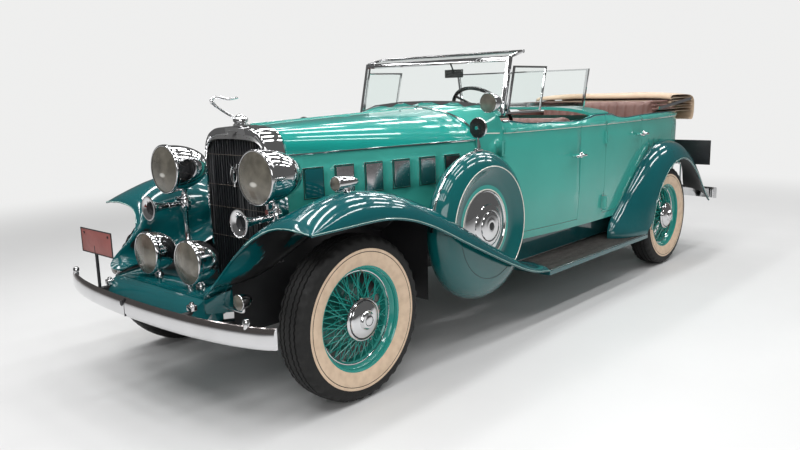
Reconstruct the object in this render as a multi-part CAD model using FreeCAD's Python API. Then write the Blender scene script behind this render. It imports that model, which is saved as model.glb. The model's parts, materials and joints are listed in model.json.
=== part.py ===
import FreeCAD, Part
import math
import os

# An open four-door touring car of the early 1930s, in millimetres.
# X runs to the car's left, where the driver sits, the front faces -Y and Z is up.
# The origin is on the ground in the middle of the car's length and width.

# Driving sizes of the whole car
LENGTH = 5380.0
FRONT_OVERHANG = 740.0
WHEELBASE = 3556.0
BODY_HALF_WIDTH = 757.0
FENDER_EDGE_X = 905.0
SHEET = 8.0
PANEL = 38.0
SHUT_GAP = 6.0
FIT = 0.3
OVERRUN = 60.0

FRONT_Y = -LENGTH / 2
REAR_Y = LENGTH / 2
FRONT_AXLE_Y = FRONT_Y + FRONT_OVERHANG
REAR_AXLE_Y = FRONT_AXLE_Y + WHEELBASE

# Wheels and tyres
TYRE_RADIUS = 406.0
TYRE_WIDTH = 180.0
RIM_RADIUS = 248.0
RIM_WIDTH = 128.0
RIM_DEPTH = 34.0
RIM_WALL = 6.0
FRONT_WHEEL_X = 752.0
REAR_WHEEL_X = 768.0
HUB_RADIUS = 52.0
HUB_FLANGE_RADIUS = 84.0
HUB_FLANGE_THICKNESS = 9.0
CAP_RADIUS = 106.0
CAP_DEPTH = 46.0
CAP_FACE_X = 122.0
SPOKES = 20
SPOKE_SIZE = 7.0
SPOKE_LEAN = 30.0
SPOKE_RIM_X = 20.0
DRUM_RADIUS = 184.0
DRUM_WIDTH = 52.0
DRUM_X = -72.0

# Front axle, knuckles and tie rod
KINGPIN_X = 614.0
KINGPIN_RADIUS = 15.0
KINGPIN_HALF = 74.0
AXLE_EYE_RADIUS = 33.0
AXLE_EYE_HALF = 42.0
YOKE_GAP = 1.5
YOKE_THICKNESS = 20.0
YOKE_RADIUS = 31.0
SPINDLE_RADIUS = 24.0
AXLE_DROP = 92.0
AXLE_BEAM_HEIGHT = 70.0
AXLE_BEAM_WIDTH = 62.0
AXLE_WEB = 20.0
AXLE_FLANGE = 16.0
AXLE_FLAT_X = 470.0
ARM_LENGTH = 168.0
ARM_SECTION = 26.0
BALL_RADIUS = 13.0
TIE_EYE_RADIUS = 25.0
TIE_EYE_HEIGHT = 34.0
TIE_ROD_RADIUS = 15.0
TIE_CLEARANCE = 2.0

# Rear axle and driveline
HOUSING_RADIUS = 44.0
HOUSING_END_X = 640.0
DIFF_RADIUS = 158.0
DIFF_HALF = 120.0
DIFF_OFFSET = 30.0
TORQUE_RADIUS = 38.0
GEARBOX_LENGTH = 520.0
GEARBOX_HALF = 130.0
GEARBOX_HEIGHT = 260.0

# Frame
RAIL_INNER_X = 352.0
RAIL_WIDTH = 62.0
RAIL_TOP_Z = 560.0
RAIL_DEPTH = 165.0
RAIL_KICK = 130.0
HORN_Z = 530.0
HORN_DEPTH = 66.0
HORN_LEAD = 585.0
RAIL_TAIL = 800.0
CROSS_WIDTH = 80.0

# Springs
SPRING_WIDTH = 56.0
SPRING_THICKNESS = 42.0
FRONT_SPRING_HALF = 520.0
REAR_SPRING_HALF = 700.0
FRONT_SPRING_RISE = 52.0
REAR_SPRING_RISE = 40.0
SPRING_EYE_RADIUS = 24.0

# Engine, exhaust and tank
ENGINE_HALF = 200.0
ENGINE_START = 190.0
ENGINE_LENGTH = 1010.0
ENGINE_BASE_Z = 430.0
ENGINE_TOP_Z = 1080.0
EXHAUST_RADIUS = 32.0
EXHAUST_X = 255.0
EXHAUST_Z = 350.0
EXHAUST_BEND = 60.0
TAIL_PIPE_Z = 382.0
TAIL_PIPE_END = 2540.0
TUNNEL_WALL = 6.0
SILENCER_RADIUS = 82.0
SILENCER_LENGTH = 620.0
TANK_LENGTH = 330.0
TANK_TOP_Z = 655.0
TANK_HEIGHT = 230.0
TANK_EDGE = 40.0

# Radiator shell and grille
SHELL_LEAD = 92.0
SHELL_DEPTH = 122.0
SHELL_BASE_Z = 432.0
SHELL_TOP_Z = 1318.0
SHELL_HALF_WIDTH = 276.0
SHELL_RIM = 15.0
SHELL_FLARE = 10.0
SHELL_EDGE = 7.0
GRILLE_RECESS = 12.0
GRILLE_SLAT_PITCH = 22.0
GRILLE_SLAT_WIDTH = 7.0
GRILLE_SLAT_DEPTH = 7.0
CAP_NECK_RADIUS = 27.0
CAP_NECK_HEIGHT = 44.0
ORNAMENT_LENGTH = 176.0
ORNAMENT_RISE = 84.0
ORNAMENT_WIDTH = 34.0

# Hood and cowl
HOOD_START = 32.0
HOOD_REAR = 1358.0
HOOD_SHUT = 6.0
RIDGE_REAR_Z = 1362.0
SHOULDER_Z = 1163.0
COWL_HALF_WIDTH = 520.0
HOOD_BASE_Z = 782.0
HOOD_SHEET = 9.0
HINGE_ROOM = 6.0
LEAF_WIDTH = 14.0
SIDE_SHUT = 42.0
LEAF_SHEET = 3.0
VENTS = 6
VENT_START = 116.0
VENT_PITCH = 192.0
VENT_WIDTH = 128.0
VENT_TOP_Z = 1092.0
VENT_BASE_Z = 922.0
VENT_FRAME = 9.0
VENT_PROUD = 5.0
VENT_DEPTH = 3.0
APRON_BASE_Z = 602.0
COWL_REAR = 1498.0
COWL_REAR_Z = 1376.0
COWL_SHEET = 14.0
DASH_DEPTH = 20.0
DASH_BASE_Z = 1190.0
FIREWALL_DEPTH = 14.0

# Body shell and doors
DOOR_FRONT = 1446.0
DOOR_FRONT_REAR = 2262.0
DOOR_REAR_FRONT = 2618.0
DOOR_REAR_REAR = 3262.0
BODY_END = 4332.0
BODY_BASE_Z = 500.0
SILL_HEIGHT = 48.0
BELT_Z = 1214.0
DOOR_TOP_Z = 1246.0
BODY_TOP_Z = 1310.0
BODY_TUCK = 26.0
BELT_LIP = 6.0
BELT_HEIGHT = 22.0
FLOOR_Z = RAIL_TOP_Z - SHEET + FIT
FLOOR_SHEET = 18.0
REAR_FLOOR_Z = 700.0
HINGE_OFFSET = 11.0
HINGE_RADIUS = 6.0
HINGE_HEIGHT = 70.0
HINGE_PIN_RADIUS = 3.0
HINGE_LUG = 12.0
HINGE_LEAF = 30.0
HOOD_ROD_RADIUS = 6.0
HOOD_PIN_RADIUS = 4.0
BRACKET_WIDTH = 32.0
BRACKET_DEPTH = 20.0
HANDLE_LENGTH = 118.0
HANDLE_RADIUS = 7.0
HANDLE_STANDOFF = 34.0
HANDLE_Z = 1012.0
REAR_HANDLE_Z = 1100.0
HANDLE_INSET = 62.0
PARTITION_DEPTH = 264.0
PARTITION_START = 2478.0
PARTITION_TOP_Z = 1336.0
PARTITION_SHEET = 22.0

# Fenders, running boards and spares
FRONT_FENDER_LEAD = 365.0
FRONT_FENDER_LENGTH = 1950.0
FRONT_CROWN_X = 745.0
FRONT_CROWN_Z = 1014.0
REAR_CROWN_Z = 1022.0
REAR_FENDER_START = 2740.0
REAR_FENDER_LENGTH = 1680.0
BOARD_START = 1592.0
BOARD_END = 3060.0
BOARD_TOP_Z = 330.0
BOARD_THICKNESS = 26.0
BOARD_INNER_X = 604.0
BOARD_RIB = 3.0
BOARD_RIBS = 14
BOARD_APRON_TOP_Z = 492.0
BOARD_APRON_X = 588.0
SPARE_Y = 1045.0
SPARE_Z = 697.0
SPARE_RADIUS = 427.0
SPARE_INNER_X = 656.0
SPARE_OUTER_X = 842.0
SPARE_DISH_RADIUS = 205.0
SPARE_DISH = 46.0
WELL_ROOM = 10.0

# Bumpers and plates
BUMPER_HALF_WIDTH = 909.0
BUMPER_HEIGHT = 96.0
BUMPER_Z = 482.0
BUMPER_THICKNESS = 18.0
BUMPER_BOW = 150.0
REAR_BUMPER_Z = 480.0
BUMPER_IRON_HEIGHT = 44.0
BUMPER_IRON_WIDTH = 16.0
PLATE_THICKNESS = 5.0
FRONT_PLATE_WIDTH = 325.0
FRONT_PLATE_HEIGHT = 110.0
FRONT_PLATE_X = -357.0
FRONT_PLATE_Z = 760.0
FRONT_PLATE_SETBACK = 40.0
REAR_PLATE_WIDTH = 350.0
REAR_PLATE_HEIGHT = 221.0
REAR_PLATE_X = 710.0
REAR_PLATE_Z = 860.0
REAR_PLATE_Y = 4405.0
PLATE_HOLE_RADIUS = 3.5
FRONT_PLATE_HOLES = 250.0
REAR_PLATE_HOLES = 290.0
PLATE_HOLE_DROP = 16.0
TAIL_LAMP_RADIUS = 50.0
TAIL_LAMP_LENGTH = 90.0
TAIL_LAMP_X = 640.0
TAIL_LAMP_Z = 790.0

# Lamps, horns and mirrors
HEADLAMP_X = 405.0
HEADLAMP_LEAD = 266.0
HEADLAMP_Z = 1085.0
HEADLAMP_RADIUS = 136.0
HEADLAMP_LENGTH = 268.0
HEADLAMP_RIM = 22.0
LAMP_BAR_Z = 884.0
LAMP_BAR_LEAD = 152.0
STANCHION_RADIUS = 17.0
FOG_X = 189.0
FOG_LEAD = 531.0
FOG_Z = 694.0
FOG_RADIUS = 110.0
FOG_LENGTH = 165.0
FOG_STEM_RADIUS = 10.0
AUX_X = 567.0
AUX_LEAD = 520.0
AUX_Z = 563.0
AUX_RADIUS = 38.0
AUX_LENGTH = 74.0
FENDER_LAMP_X = 740.0
FENDER_LAMP_OFFSET = 10.0
FENDER_LAMP_Z = 1056.0
FENDER_LAMP_RADIUS = 35.0
FENDER_LAMP_LENGTH = 150.0
HORN_X = 408.0
HORN_LAMP_LEAD = 379.0
HORN_PIPE_Z = 884.0
HORN_BELL_RADIUS = 68.0
HORN_PIPE_RADIUS = 15.0
SPOT_X = 640.0
SPOT_Y = 1300.0
SPOT_Z = 1390.0
SPOT_RADIUS = 62.0
SPOT_LENGTH = 120.0
MIRROR_Y = 1045.0
MIRROR_Z = 1256.0
MIRROR_RADIUS = 52.0
MIRROR_THICKNESS = 14.0
MIRROR_STEM_RADIUS = 7.0
INNER_MIRROR_X = 150.0
INNER_MIRROR_WIDTH = 150.0
INNER_MIRROR_HEIGHT = 54.0

# Windscreens
POST_BASE_Y = 1487.0
POST_BASE_Z = 1300.0
POST_TOP_Y = 1570.0
POST_TOP_Z = 1652.0
POST_X = 613.0
POST_WIDTH = 24.0
POST_DEPTH = 30.0
FRAME_BAR = 18.0
GLASS = 6.0
VISOR_REACH = 135.0
VISOR_TOP_Z = 1714.0
WING_X = 640.0
WING_REACH = 388.0
WING_TOP_Z = 1612.0
WING_BASE_Z = 1316.0
WING_START = 1580.0
WING_RAKE = 78.0
WING_BAR = 12.0
SCREEN_Y = 2632.0
SCREEN_BASE_Z = 1322.0
SCREEN_TOP_Z = 1602.0
SCREEN_BASE_X = 563.0
SCREEN_TOP_X = 602.0
SCREEN_BAR = 20.0

# Cockpit
WHEEL_CENTRE_X = 310.0
WHEEL_CENTRE_Y = 1700.0
WHEEL_CENTRE_Z = 1312.0
STEERING_RADIUS = 215.0
STEERING_RIM = 13.0
STEERING_TILT = 38.0
STEERING_HUB_RADIUS = 36.0
STEERING_HUB_DEPTH = 40.0
STEERING_SPOKE = 9.0
COLUMN_RADIUS = 21.0
SEAT_HALF_WIDTH = 610.0
REAR_SEAT_HALF_WIDTH = 585.0
CUSHION_HEIGHT = 180.0
CUSHION_DEPTH = 500.0
BACK_THICKNESS = 150.0
BACK_LEAN = 110.0
FRONT_SEAT_Y = 1712.0
FRONT_BACK_TOP_Z = 1290.0
REAR_SEAT_Y = 3300.0
REAR_BACK_TOP_Z = 1372.0
SEAT_ROUND = 34.0
SEAT_BOX_INSET = 40.0

# Folded top
TOP_START = 3640.0
TOP_END = 4600.0
TOP_HALF_WIDTH = 690.0
TOP_CREST_Z = 1420.0
TOP_BASE_Z = 1242.5
TOP_TAIL_BASE_Z = 1190.0
TOP_ROUND = 55.0
IRON_WIDTH = 26.0
IRON_THICKNESS = 12.0

# Walls, brackets and small posts
APRON_SHEET = 6.0
RIM_FLANGE = 12.0
DRUM_WALL = 10.0
BACKPLATE = 5.0
SPINDLE_END_X = 44.0
HUB_BACK_X = -46.0
YOKE_WEB = 22.0
YOKE_WEB_WIDTH = 56.0
HANGER_WIDTH = 36.0
HANGER_LENGTH = 60.0
REAR_SPRING_X = 450.0

# Outlines as shares of the sizes above
DIFF_SHOULDER_SHARE = 0.86
GEARBOX_TAIL_SHARE = 0.3
RAIL_BEND_SHARES = (0.12, 0.33, 0.84, 0.93, 1.1)
RAIL_TAIL_SHARE = 0.6
RAIL_ROOM_SHARE = 0.6
HORN_BEND_SHARE = 0.6
CROSS_END_SHARE = 2.6
SILENCER_START_SHARE = 0.52
OVER_START_SHARE = 1.3
OVER_END_SHARE = 3.2
TAIL_PIPE_SHARE = 0.7
CAP_TOP_SHARE = 0.6
CAP_NECK_SHARES = ((0.0, 0.0), (0.0, 1.3), (0.3, 1.0), (0.8, 1.0), (1.0, CAP_TOP_SHARE), (1.0, 0.0))
STEM_SHARE = 0.6
HANDLE_KNOB_SHARE = 1.3
HANDLE_ROOT_SHARE = 1.2
HANDLE_TIP_SHARE = 0.8
SWEEP_SHARE = 1.8
BUMPER_END_SHARE = 0.98
REAR_BOW_SHARE = 0.6
REAR_IRON_SHARE = 0.4
APRON_DIP_SHARE = 0.45
APRON_FLAT_SHARE = 0.75
TAIL_LAMP_SHARES = ((0.0, 0.0), (0.3, 0.6), (0.7, 1.0), (1.0, 1.0), (1.0, 0.0))
LENS_SHARES = ((-0.7, 0.0), (-0.5, 0.5), (0.0, 0.94), (0.0, 1.0), (1.0, 1.0), (1.2, 0.95))
BULLET_SHARES = ((0.35, 0.92), (0.62, 0.75), (0.85, 0.46), (0.97, 0.16), (1.0, 0.0))
STANCHION_FOOT_SHARE = 1.3
STANCHION_TOP_SHARE = 0.8
LAMP_STEM_SHARE = 0.4
FOG_FOOT_SHARE = 2.4
HORN_OUTER_SHARES = ((0.0, 0.86), (0.0, 1.0), (0.05, 1.0), (0.16, 0.66), (0.34, 0.4))
HORN_INNER_SHARES = ((0.3, 0.0), (0.14, 0.4))
HORN_THROAT_SHARE = 0.6
SPOT_ARM_SHARE = 0.8
MIRROR_ARM_SHARE = 2.5
SCREEN_ARCH_SHARES = ((1.0, 0.0, 2.0), (0.8, 0.55, 2.0), (0.4, 0.85, 2.0), (0.0, 1.0, 1.6))
VISOR_SIDE_SHARE = 0.7
VISOR_PANE_SHARE = 0.86
WING_SHARP_SHARE = 1.3
WING_BLUNT_SHARE = 0.8
WING_BOSS_SHARES = (0.16, 0.84)
WING_PIN_SHARE = 0.45
CROSS_MEMBER_SHARES = ((0.0, 0.9, 1.0), (0.13, 0.78, 0.98), (0.476, 0.71, 0.81), (0.66, 0.9, 0.97),
                       (0.825, 1.08, 1.22), (1.0, 1.0, 1.08))
BEARER_SHARES = (0.12, 0.88)
BOARD_BRACKET_SHARES = (0.06, 0.35, 0.64, 0.92)
BEARER_SIZE = 46.0
TYRE_SIDE_SHARES = ((0.86, 0.13), (0.96, 0.3), (1.0, 0.5), (0.98, 0.68), (0.9, 0.84), (0.73, 0.955),
                    (0.38, 0.992), (0.0, 1.0))
ORNAMENT_SHARES = ((-0.68, 0.9, 0.12), (-0.3, 0.62, 0.5), (0.1, 0.55, 1.0), (0.32, 0.8, 0.1))
RING_SHARES = ((1.0, 0.0), (0.7, 0.7), (0.0, 1.0), (-0.7, 0.7), (-1.0, 0.0), (-0.7, -0.7), (0.0, -1.0),
               (0.7, -0.7))
SPARE_CROWN_SHARES = ((0.0, 0.73), (0.05, 0.84), (0.12, 0.91), (0.22, 0.965), (0.35, 0.992), (0.5, 1.0),
                      (0.65, 0.99), (0.78, 0.96), (0.88, 0.91), (0.95, 0.865), (1.0, 0.808))
SPARE_FACE_SHARES = ((0.1, 1.62), (0.45, 1.5), (0.85, 1.35), (1.0, 1.0), (0.75, 0.95), (0.6, 0.62), (0.2, 0.5),
                     (0.0, 0.34), (-0.08, 0.0))
CAP_CURVE_SHARES = ((0.0, 1.0), (0.22, 1.0), (0.42, 0.86), (0.62, 0.66), (0.8, 0.42), (1.0, 0.0))
HOOD_FRONT_SHARES = ((0.0, 1.0), (0.43, 0.955), (0.78, 0.8), (0.95, 0.52), (1.0, 0.0))
HOOD_REAR_SHARES = ((0.0, 1.0), (0.3, 0.94), (0.6, 0.75), (0.86, 0.41), (1.0, 0.0))
HOOD_SIDE_FRONT_SHARES = ((1.0, 0.0), (1.008, 0.25), (1.014, 0.6), (1.014, 1.0))
HOOD_SIDE_REAR_SHARES = ((0.962, 0.0), (1.0, 0.25), (1.0, 0.6), (0.988, 1.0))
SHELL_SHARES = ((0.8, 0.0), (0.92, 0.22), (1.0, 0.48), (0.99, 0.74), (0.95, 0.9), (0.78, 0.966), (0.43, 0.992),
                (0.0, 1.0))
COWL_REAR_SHARES = ((0.0, 1.0), (0.305, 0.995), (0.61, 0.98), (0.855, 0.9535), (0.958, 0.909), (0.992, 0.815),
                    (1.0, 0.63), (0.996, 0.34), (0.985, 0.165), (0.962, 0.0))
COWL_FRONT_TAIL_SHARES = ((1.0, 0.3), (0.975, 0.0))
COWL_REAR_HALF_WIDTH = 652.0
BODY_PLAN_SHARES = ((0.0, 0.858), (0.071, 0.906), (0.157, 0.948), (0.261, 0.983), (0.365, 0.9985), (0.469, 1.0),
                    (0.573, 0.991), (0.677, 0.972), (0.781, 0.943), (0.885, 0.902), (0.944, 0.861),
                    (0.976, 0.806), (0.993, 0.7), (0.9986, 0.528), (1.0, 0.264), (1.0, 0.0))
BODY_LEVEL_SHARES = ((0.0, 1.0), (0.36, 0.3), (0.88, 0.0), (1.08, 0.4))
SIDE_TOP_SHARES = ((0.0, 1.0), (0.031, 0.43), (0.079, 0.06), (0.164, -0.02), (0.305, 0.02), (0.356, 0.48),
                   (0.408, 0.78), (0.447, 0.3), (0.493, -0.15), (0.583, -0.18), (0.666, -0.09), (0.761, -0.07),
                   (1.0, -0.07))
REAR_JOINT_SHARES = ((-0.02, 0.331), (0.0, 0.43), (0.083, 0.548), (0.161, 0.665), (0.268, 0.812), (0.363, 0.915),
                     (0.464, 0.978), (0.565, 0.998), (0.679, 0.973), (0.786, 0.9), (0.881, 0.792),
                     (0.952, 0.665), (1.0, 0.528))
REAR_EDGE_SHARES = ((0.19, 0.329), (0.205, 0.36), (0.244, 0.415), (0.268, 0.519), (0.315, 0.65), (0.393, 0.758),
                    (0.479, 0.834), (0.579, 0.856), (0.673, 0.822), (0.776, 0.714), (0.857, 0.589),
                    (0.924, 0.479), (0.974, 0.425))
REAR_INNER_X_SHARES = (0.815, 0.81, 0.808, 0.825, 0.824, 0.822, 0.818, 0.808, 0.796, 0.78, 0.76, 0.738, 0.722)
SECTION_IN_SHARES = ((0.0, 0.0), (0.3, 0.38), (0.65, 0.82))
NOSE_IN_SHARES = ((0.0, 0.0), (0.23, 0.42), (0.6, 0.92))
NOSE_LENGTH_SHARE = 0.3
SECTION_OUT_SHARES = ((0.5, 0.88), (0.85, 0.54), (1.0, 0.0))
REAR_SECTION_SHARES = ((0.0, 0.0), (0.3, 0.06), (0.6, 0.25), (0.86, 0.6), (1.0, 1.0))
FRONT_STATION_SHARES = (
    (0.0, 0.108, 0.878, 0.865, 0.413, 0.58), (0.051, 0.085, 0.94, 0.865, 0.41, 0.597),
    (0.12, 0.05, 0.984, 0.868, 0.395, 0.612), (0.203, 0.0, 1.0, 0.872, 0.345, 0.7),
    (0.3, 0.0, 0.975, 0.852, 0.372, 0.74), (0.418, 0.0, 0.9, 0.777, 0.382, 0.71),
    (0.546, 0.0, 0.785, 0.66, 0.432, 0.65), (0.674, 0.0, 0.65, 0.545, 0.48, 0.56),
    (0.803, 0.0, 0.512, 0.432, 0.53, 0.475), (0.905, 0.0, 0.412, 0.359, 0.63, 0.4),
    (1.0, 0.0, 0.373, 0.33, 0.72, 0.36))
BUMPER_PLAN_SHARES = ((0.0, 0.0), (0.33, 0.05), (0.66, 0.28), (0.88, 0.62), (0.97, 0.86), (1.0, 1.0))
PARTITION_SHARES = ((0.0, 1.0), (0.42, 0.997), (0.74, 0.985), (0.9, 0.966), (1.0, 0.945))
ARCH_RADIUS = 480.0
ARCH_INNER_X = 640.0
HEEL_Y = 2955.0
CARRIER_RADIUS = 34.0
PLATE_POST_RADIUS = 8.0
FRONT_CUSHION_TOP_Z = 930.0
REAR_CUSHION_TOP_Z = 1030.0
TOP_REAR_START = 4090.0
TOP_ARM_INNER_X = 612.0
TOP_ARM_TOP_Z = 1360.0


def vec(x, y, z):
    """A point or direction."""
    return FreeCAD.Vector(x, y, z)


def station(distance):
    """The y of a place that lies a distance behind the front axle."""
    return FRONT_AXLE_Y + distance


def block(x0, x1, y0, y1, z0, z1):
    """A box between two corners."""
    return Part.makeBox(x1 - x0, y1 - y0, z1 - z0, vec(x0, y0, z0))


def rod(start, end, radius):
    """A round bar between two points."""
    along = end - start
    return Part.makeCylinder(radius, along.Length, start, along)


def disc(centre, axis, radius, half_length):
    """A cylinder centred on a point."""
    unit = vec(axis.x, axis.y, axis.z).normalize()
    return Part.makeCylinder(radius, 2 * half_length, centre - unit * half_length, unit)


def plate_yz(points, x0, x1):
    """A plate of the outline (y, z) between two x planes."""
    corners = [vec(x0, y, z) for y, z in points]
    face = Part.Face(Part.makePolygon(corners + corners[:1]))
    return face.extrude(vec(x1 - x0, 0, 0))


def plate_xz(points, y0, y1):
    """A plate of the outline (x, z) between two y planes."""
    corners = [vec(x, y0, z) for x, z in points]
    face = Part.Face(Part.makePolygon(corners + corners[:1]))
    return face.extrude(vec(0, y1 - y0, 0))


def plate_xy(points, z0, z1):
    """A plate of the outline (x, y) between two z planes."""
    corners = [vec(x, y, z0) for x, y in points]
    face = Part.Face(Part.makePolygon(corners + corners[:1]))
    return face.extrude(vec(0, 0, z1 - z0))


def spline(points):
    """A smooth edge through points."""
    curve = Part.BSplineCurve()
    curve.interpolate(points)
    return curve.toShape()


def turned(profile, centre, axis):
    """A solid turned about an axis from a profile of (distance along, radius)."""
    unit = vec(axis.x, axis.y, axis.z).normalize()
    side = vec(0, 0, 1) if abs(unit.z) < abs(unit.x) + abs(unit.y) else vec(1, 0, 0)
    corners = [centre + unit * along + side * radius for along, radius in profile]
    face = Part.Face(Part.makePolygon(corners + corners[:1]))
    return face.revolve(centre, unit, 360)


def mirrored(shape):
    """The same piece for the car's other side."""
    return shape.mirror(vec(0, 0, 0), vec(1, 0, 0))


def fused(pieces):
    """One solid of pieces that are joined."""
    return pieces[0].multiFuse(pieces[1:]).removeSplitter()


def offset_line(points, distance):
    """A flat line of (a, b) points moved square to itself, to its left."""
    moved = []
    last = len(points) - 1
    for index, (a, b) in enumerate(points):
        before = points[max(index - 1, 0)]
        after = points[min(index + 1, last)]
        run = math.hypot(after[0] - before[0], after[1] - before[1])
        moved.append((a - (after[1] - before[1]) / run * distance,
                      b + (after[0] - before[0]) / run * distance))
    return moved


def skin(grid, thickness):
    """A curved sheet: a surface through rows of points, and its copy a thickness away."""
    outer = Part.BSplineSurface()
    outer.interpolate(grid)
    poles = outer.getPoles()
    rows = len(poles)
    columns = len(poles[0])
    inner = outer.copy()
    for i in range(rows):
        for j in range(columns):
            down = poles[min(i + 1, rows - 1)][j] - poles[max(i - 1, 0)][j]
            over = poles[i][min(j + 1, columns - 1)] - poles[i][max(j - 1, 0)]
            inner.setPole(i + 1, j + 1, poles[i][j] + down.cross(over).normalize() * thickness)
    faces = []
    rims = []
    for surface in (outer, inner):
        faces.append(surface.toShape())
        u0, u1, v0, v1 = surface.bounds()
        rims.append([surface.uIso(u0), surface.uIso(u1), surface.vIso(v0), surface.vIso(v1)])
    for first, second in zip(rims[0], rims[1]):
        strip = Part.BSplineSurface()
        strip.buildFromPolesMultsKnots([first.getPoles(), second.getPoles()], [2, 2], first.getMultiplicities(),
                                       [0, 1], first.getKnots(), False, False, 1, first.Degree)
        faces.append(strip.toShape())
    shell = Part.makeShell(faces)
    shell.sewShape()
    solid = Part.makeSolid(shell)
    if solid.Volume < 0:
        solid.reverse()
    return solid


def save(name, *solids):
    """Write one named piece."""
    shape = solids[0] if len(solids) == 1 else Part.makeCompound(list(solids))
    shape.exportStep(os.path.join("parts", name + ".step"))


def tyre():
    """A tyre about the x axis, its middle at the origin."""
    half = TYRE_WIDTH / 2
    seat = RIM_WIDTH / 2 - FIT
    bead = RIM_RADIUS + FIT
    lip = RIM_RADIUS + RIM_FLANGE + RIM_WALL
    side = [(half * out, lip + (TYRE_RADIUS - lip) * up) for out, up in TYRE_SIDE_SHARES]
    right = [(seat, bead), (seat, lip)] + side
    left = [(-x, z) for x, z in right[:-1]]
    return turned(left + right[::-1], vec(0, 0, 0), vec(1, 0, 0))


def wire_wheel():
    """A wire wheel with its hub, cap and brake drum about the x axis, outboard at +X."""
    half = RIM_WIDTH / 2
    inner = RIM_RADIUS - RIM_DEPTH
    rim = turned([(-half - RIM_WALL, RIM_RADIUS - RIM_FLANGE), (-half - RIM_WALL, RIM_RADIUS + RIM_FLANGE),
                  (-half, RIM_RADIUS + RIM_FLANGE), (-half, RIM_RADIUS), (half, RIM_RADIUS),
                  (half, RIM_RADIUS + RIM_FLANGE), (half + RIM_WALL, RIM_RADIUS + RIM_FLANGE),
                  (half + RIM_WALL, RIM_RADIUS - RIM_FLANGE), (half / 2, inner), (-half / 2, inner)],
                 vec(0, 0, 0), vec(1, 0, 0))
    cap = [(CAP_FACE_X - CAP_DEPTH * (1 - along), CAP_RADIUS * out) for along, out in CAP_CURVE_SHARES]
    flange_x = cap[0][0] - HUB_FLANGE_THICKNESS
    drum_out = DRUM_X + DRUM_WIDTH / 2
    hub = turned([(drum_out - DRUM_WALL, 0), (drum_out - DRUM_WALL, HUB_FLANGE_RADIUS),
                  (HUB_BACK_X + HUB_FLANGE_THICKNESS, HUB_FLANGE_RADIUS),
                  (HUB_BACK_X + 2 * HUB_FLANGE_THICKNESS, HUB_RADIUS),
                  (flange_x - HUB_FLANGE_THICKNESS, HUB_RADIUS), (flange_x, HUB_FLANGE_RADIUS)]
                 + cap, vec(0, 0, 0), vec(1, 0, 0))
    drum = turned([(drum_out, 0), (drum_out, DRUM_RADIUS), (drum_out - DRUM_WIDTH, DRUM_RADIUS),
                   (drum_out - DRUM_WIDTH, DRUM_RADIUS - DRUM_WALL),
                   (drum_out - DRUM_WALL, DRUM_RADIUS - DRUM_WALL), (drum_out - DRUM_WALL, 0)],
                  vec(0, 0, 0), vec(1, 0, 0))
    spokes = []
    for row, (hub_x, rim_x) in enumerate(((flange_x - HUB_FLANGE_THICKNESS / 2, SPOKE_RIM_X),
                                          (HUB_BACK_X + HUB_FLANGE_THICKNESS, -SPOKE_RIM_X))):
        for index in range(SPOKES):
            turn = 360 / SPOKES * (index + row / 2)
            lean = SPOKE_LEAN if index % 2 else -SPOKE_LEAN
            spokes.append(spoke(hub_x, rim_x, turn, turn + lean))
    wheel = fused([rim, hub, drum] + spokes)
    bore = Part.makeCylinder(SPINDLE_RADIUS + FIT, SPINDLE_END_X + FIT + OVERRUN * 2,
                             vec(-OVERRUN * 2, 0, 0), vec(1, 0, 0))
    return wheel.cut(bore)


def spoke(hub_x, rim_x, hub_turn, rim_turn):
    """One square spoke from the hub's flange into the rim."""
    hub_radius = HUB_FLANGE_RADIUS - SPOKE_SIZE
    rim_radius = RIM_RADIUS - RIM_DEPTH + SPOKE_SIZE
    start = vec(hub_x, hub_radius * math.cos(math.radians(hub_turn)),
                hub_radius * math.sin(math.radians(hub_turn)))
    end = vec(rim_x, rim_radius * math.cos(math.radians(rim_turn)),
              rim_radius * math.sin(math.radians(rim_turn)))
    along = (end - start).normalize()
    side = along.cross(vec(1, 0, 0)).normalize() * (SPOKE_SIZE / 2)
    other = along.cross(side).normalize() * (SPOKE_SIZE / 2)
    corners = [start + side + other, start + side - other, start - side - other, start - side + other]
    face = Part.Face(Part.makePolygon(corners + corners[:1]))
    return face.extrude(end - start)


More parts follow.
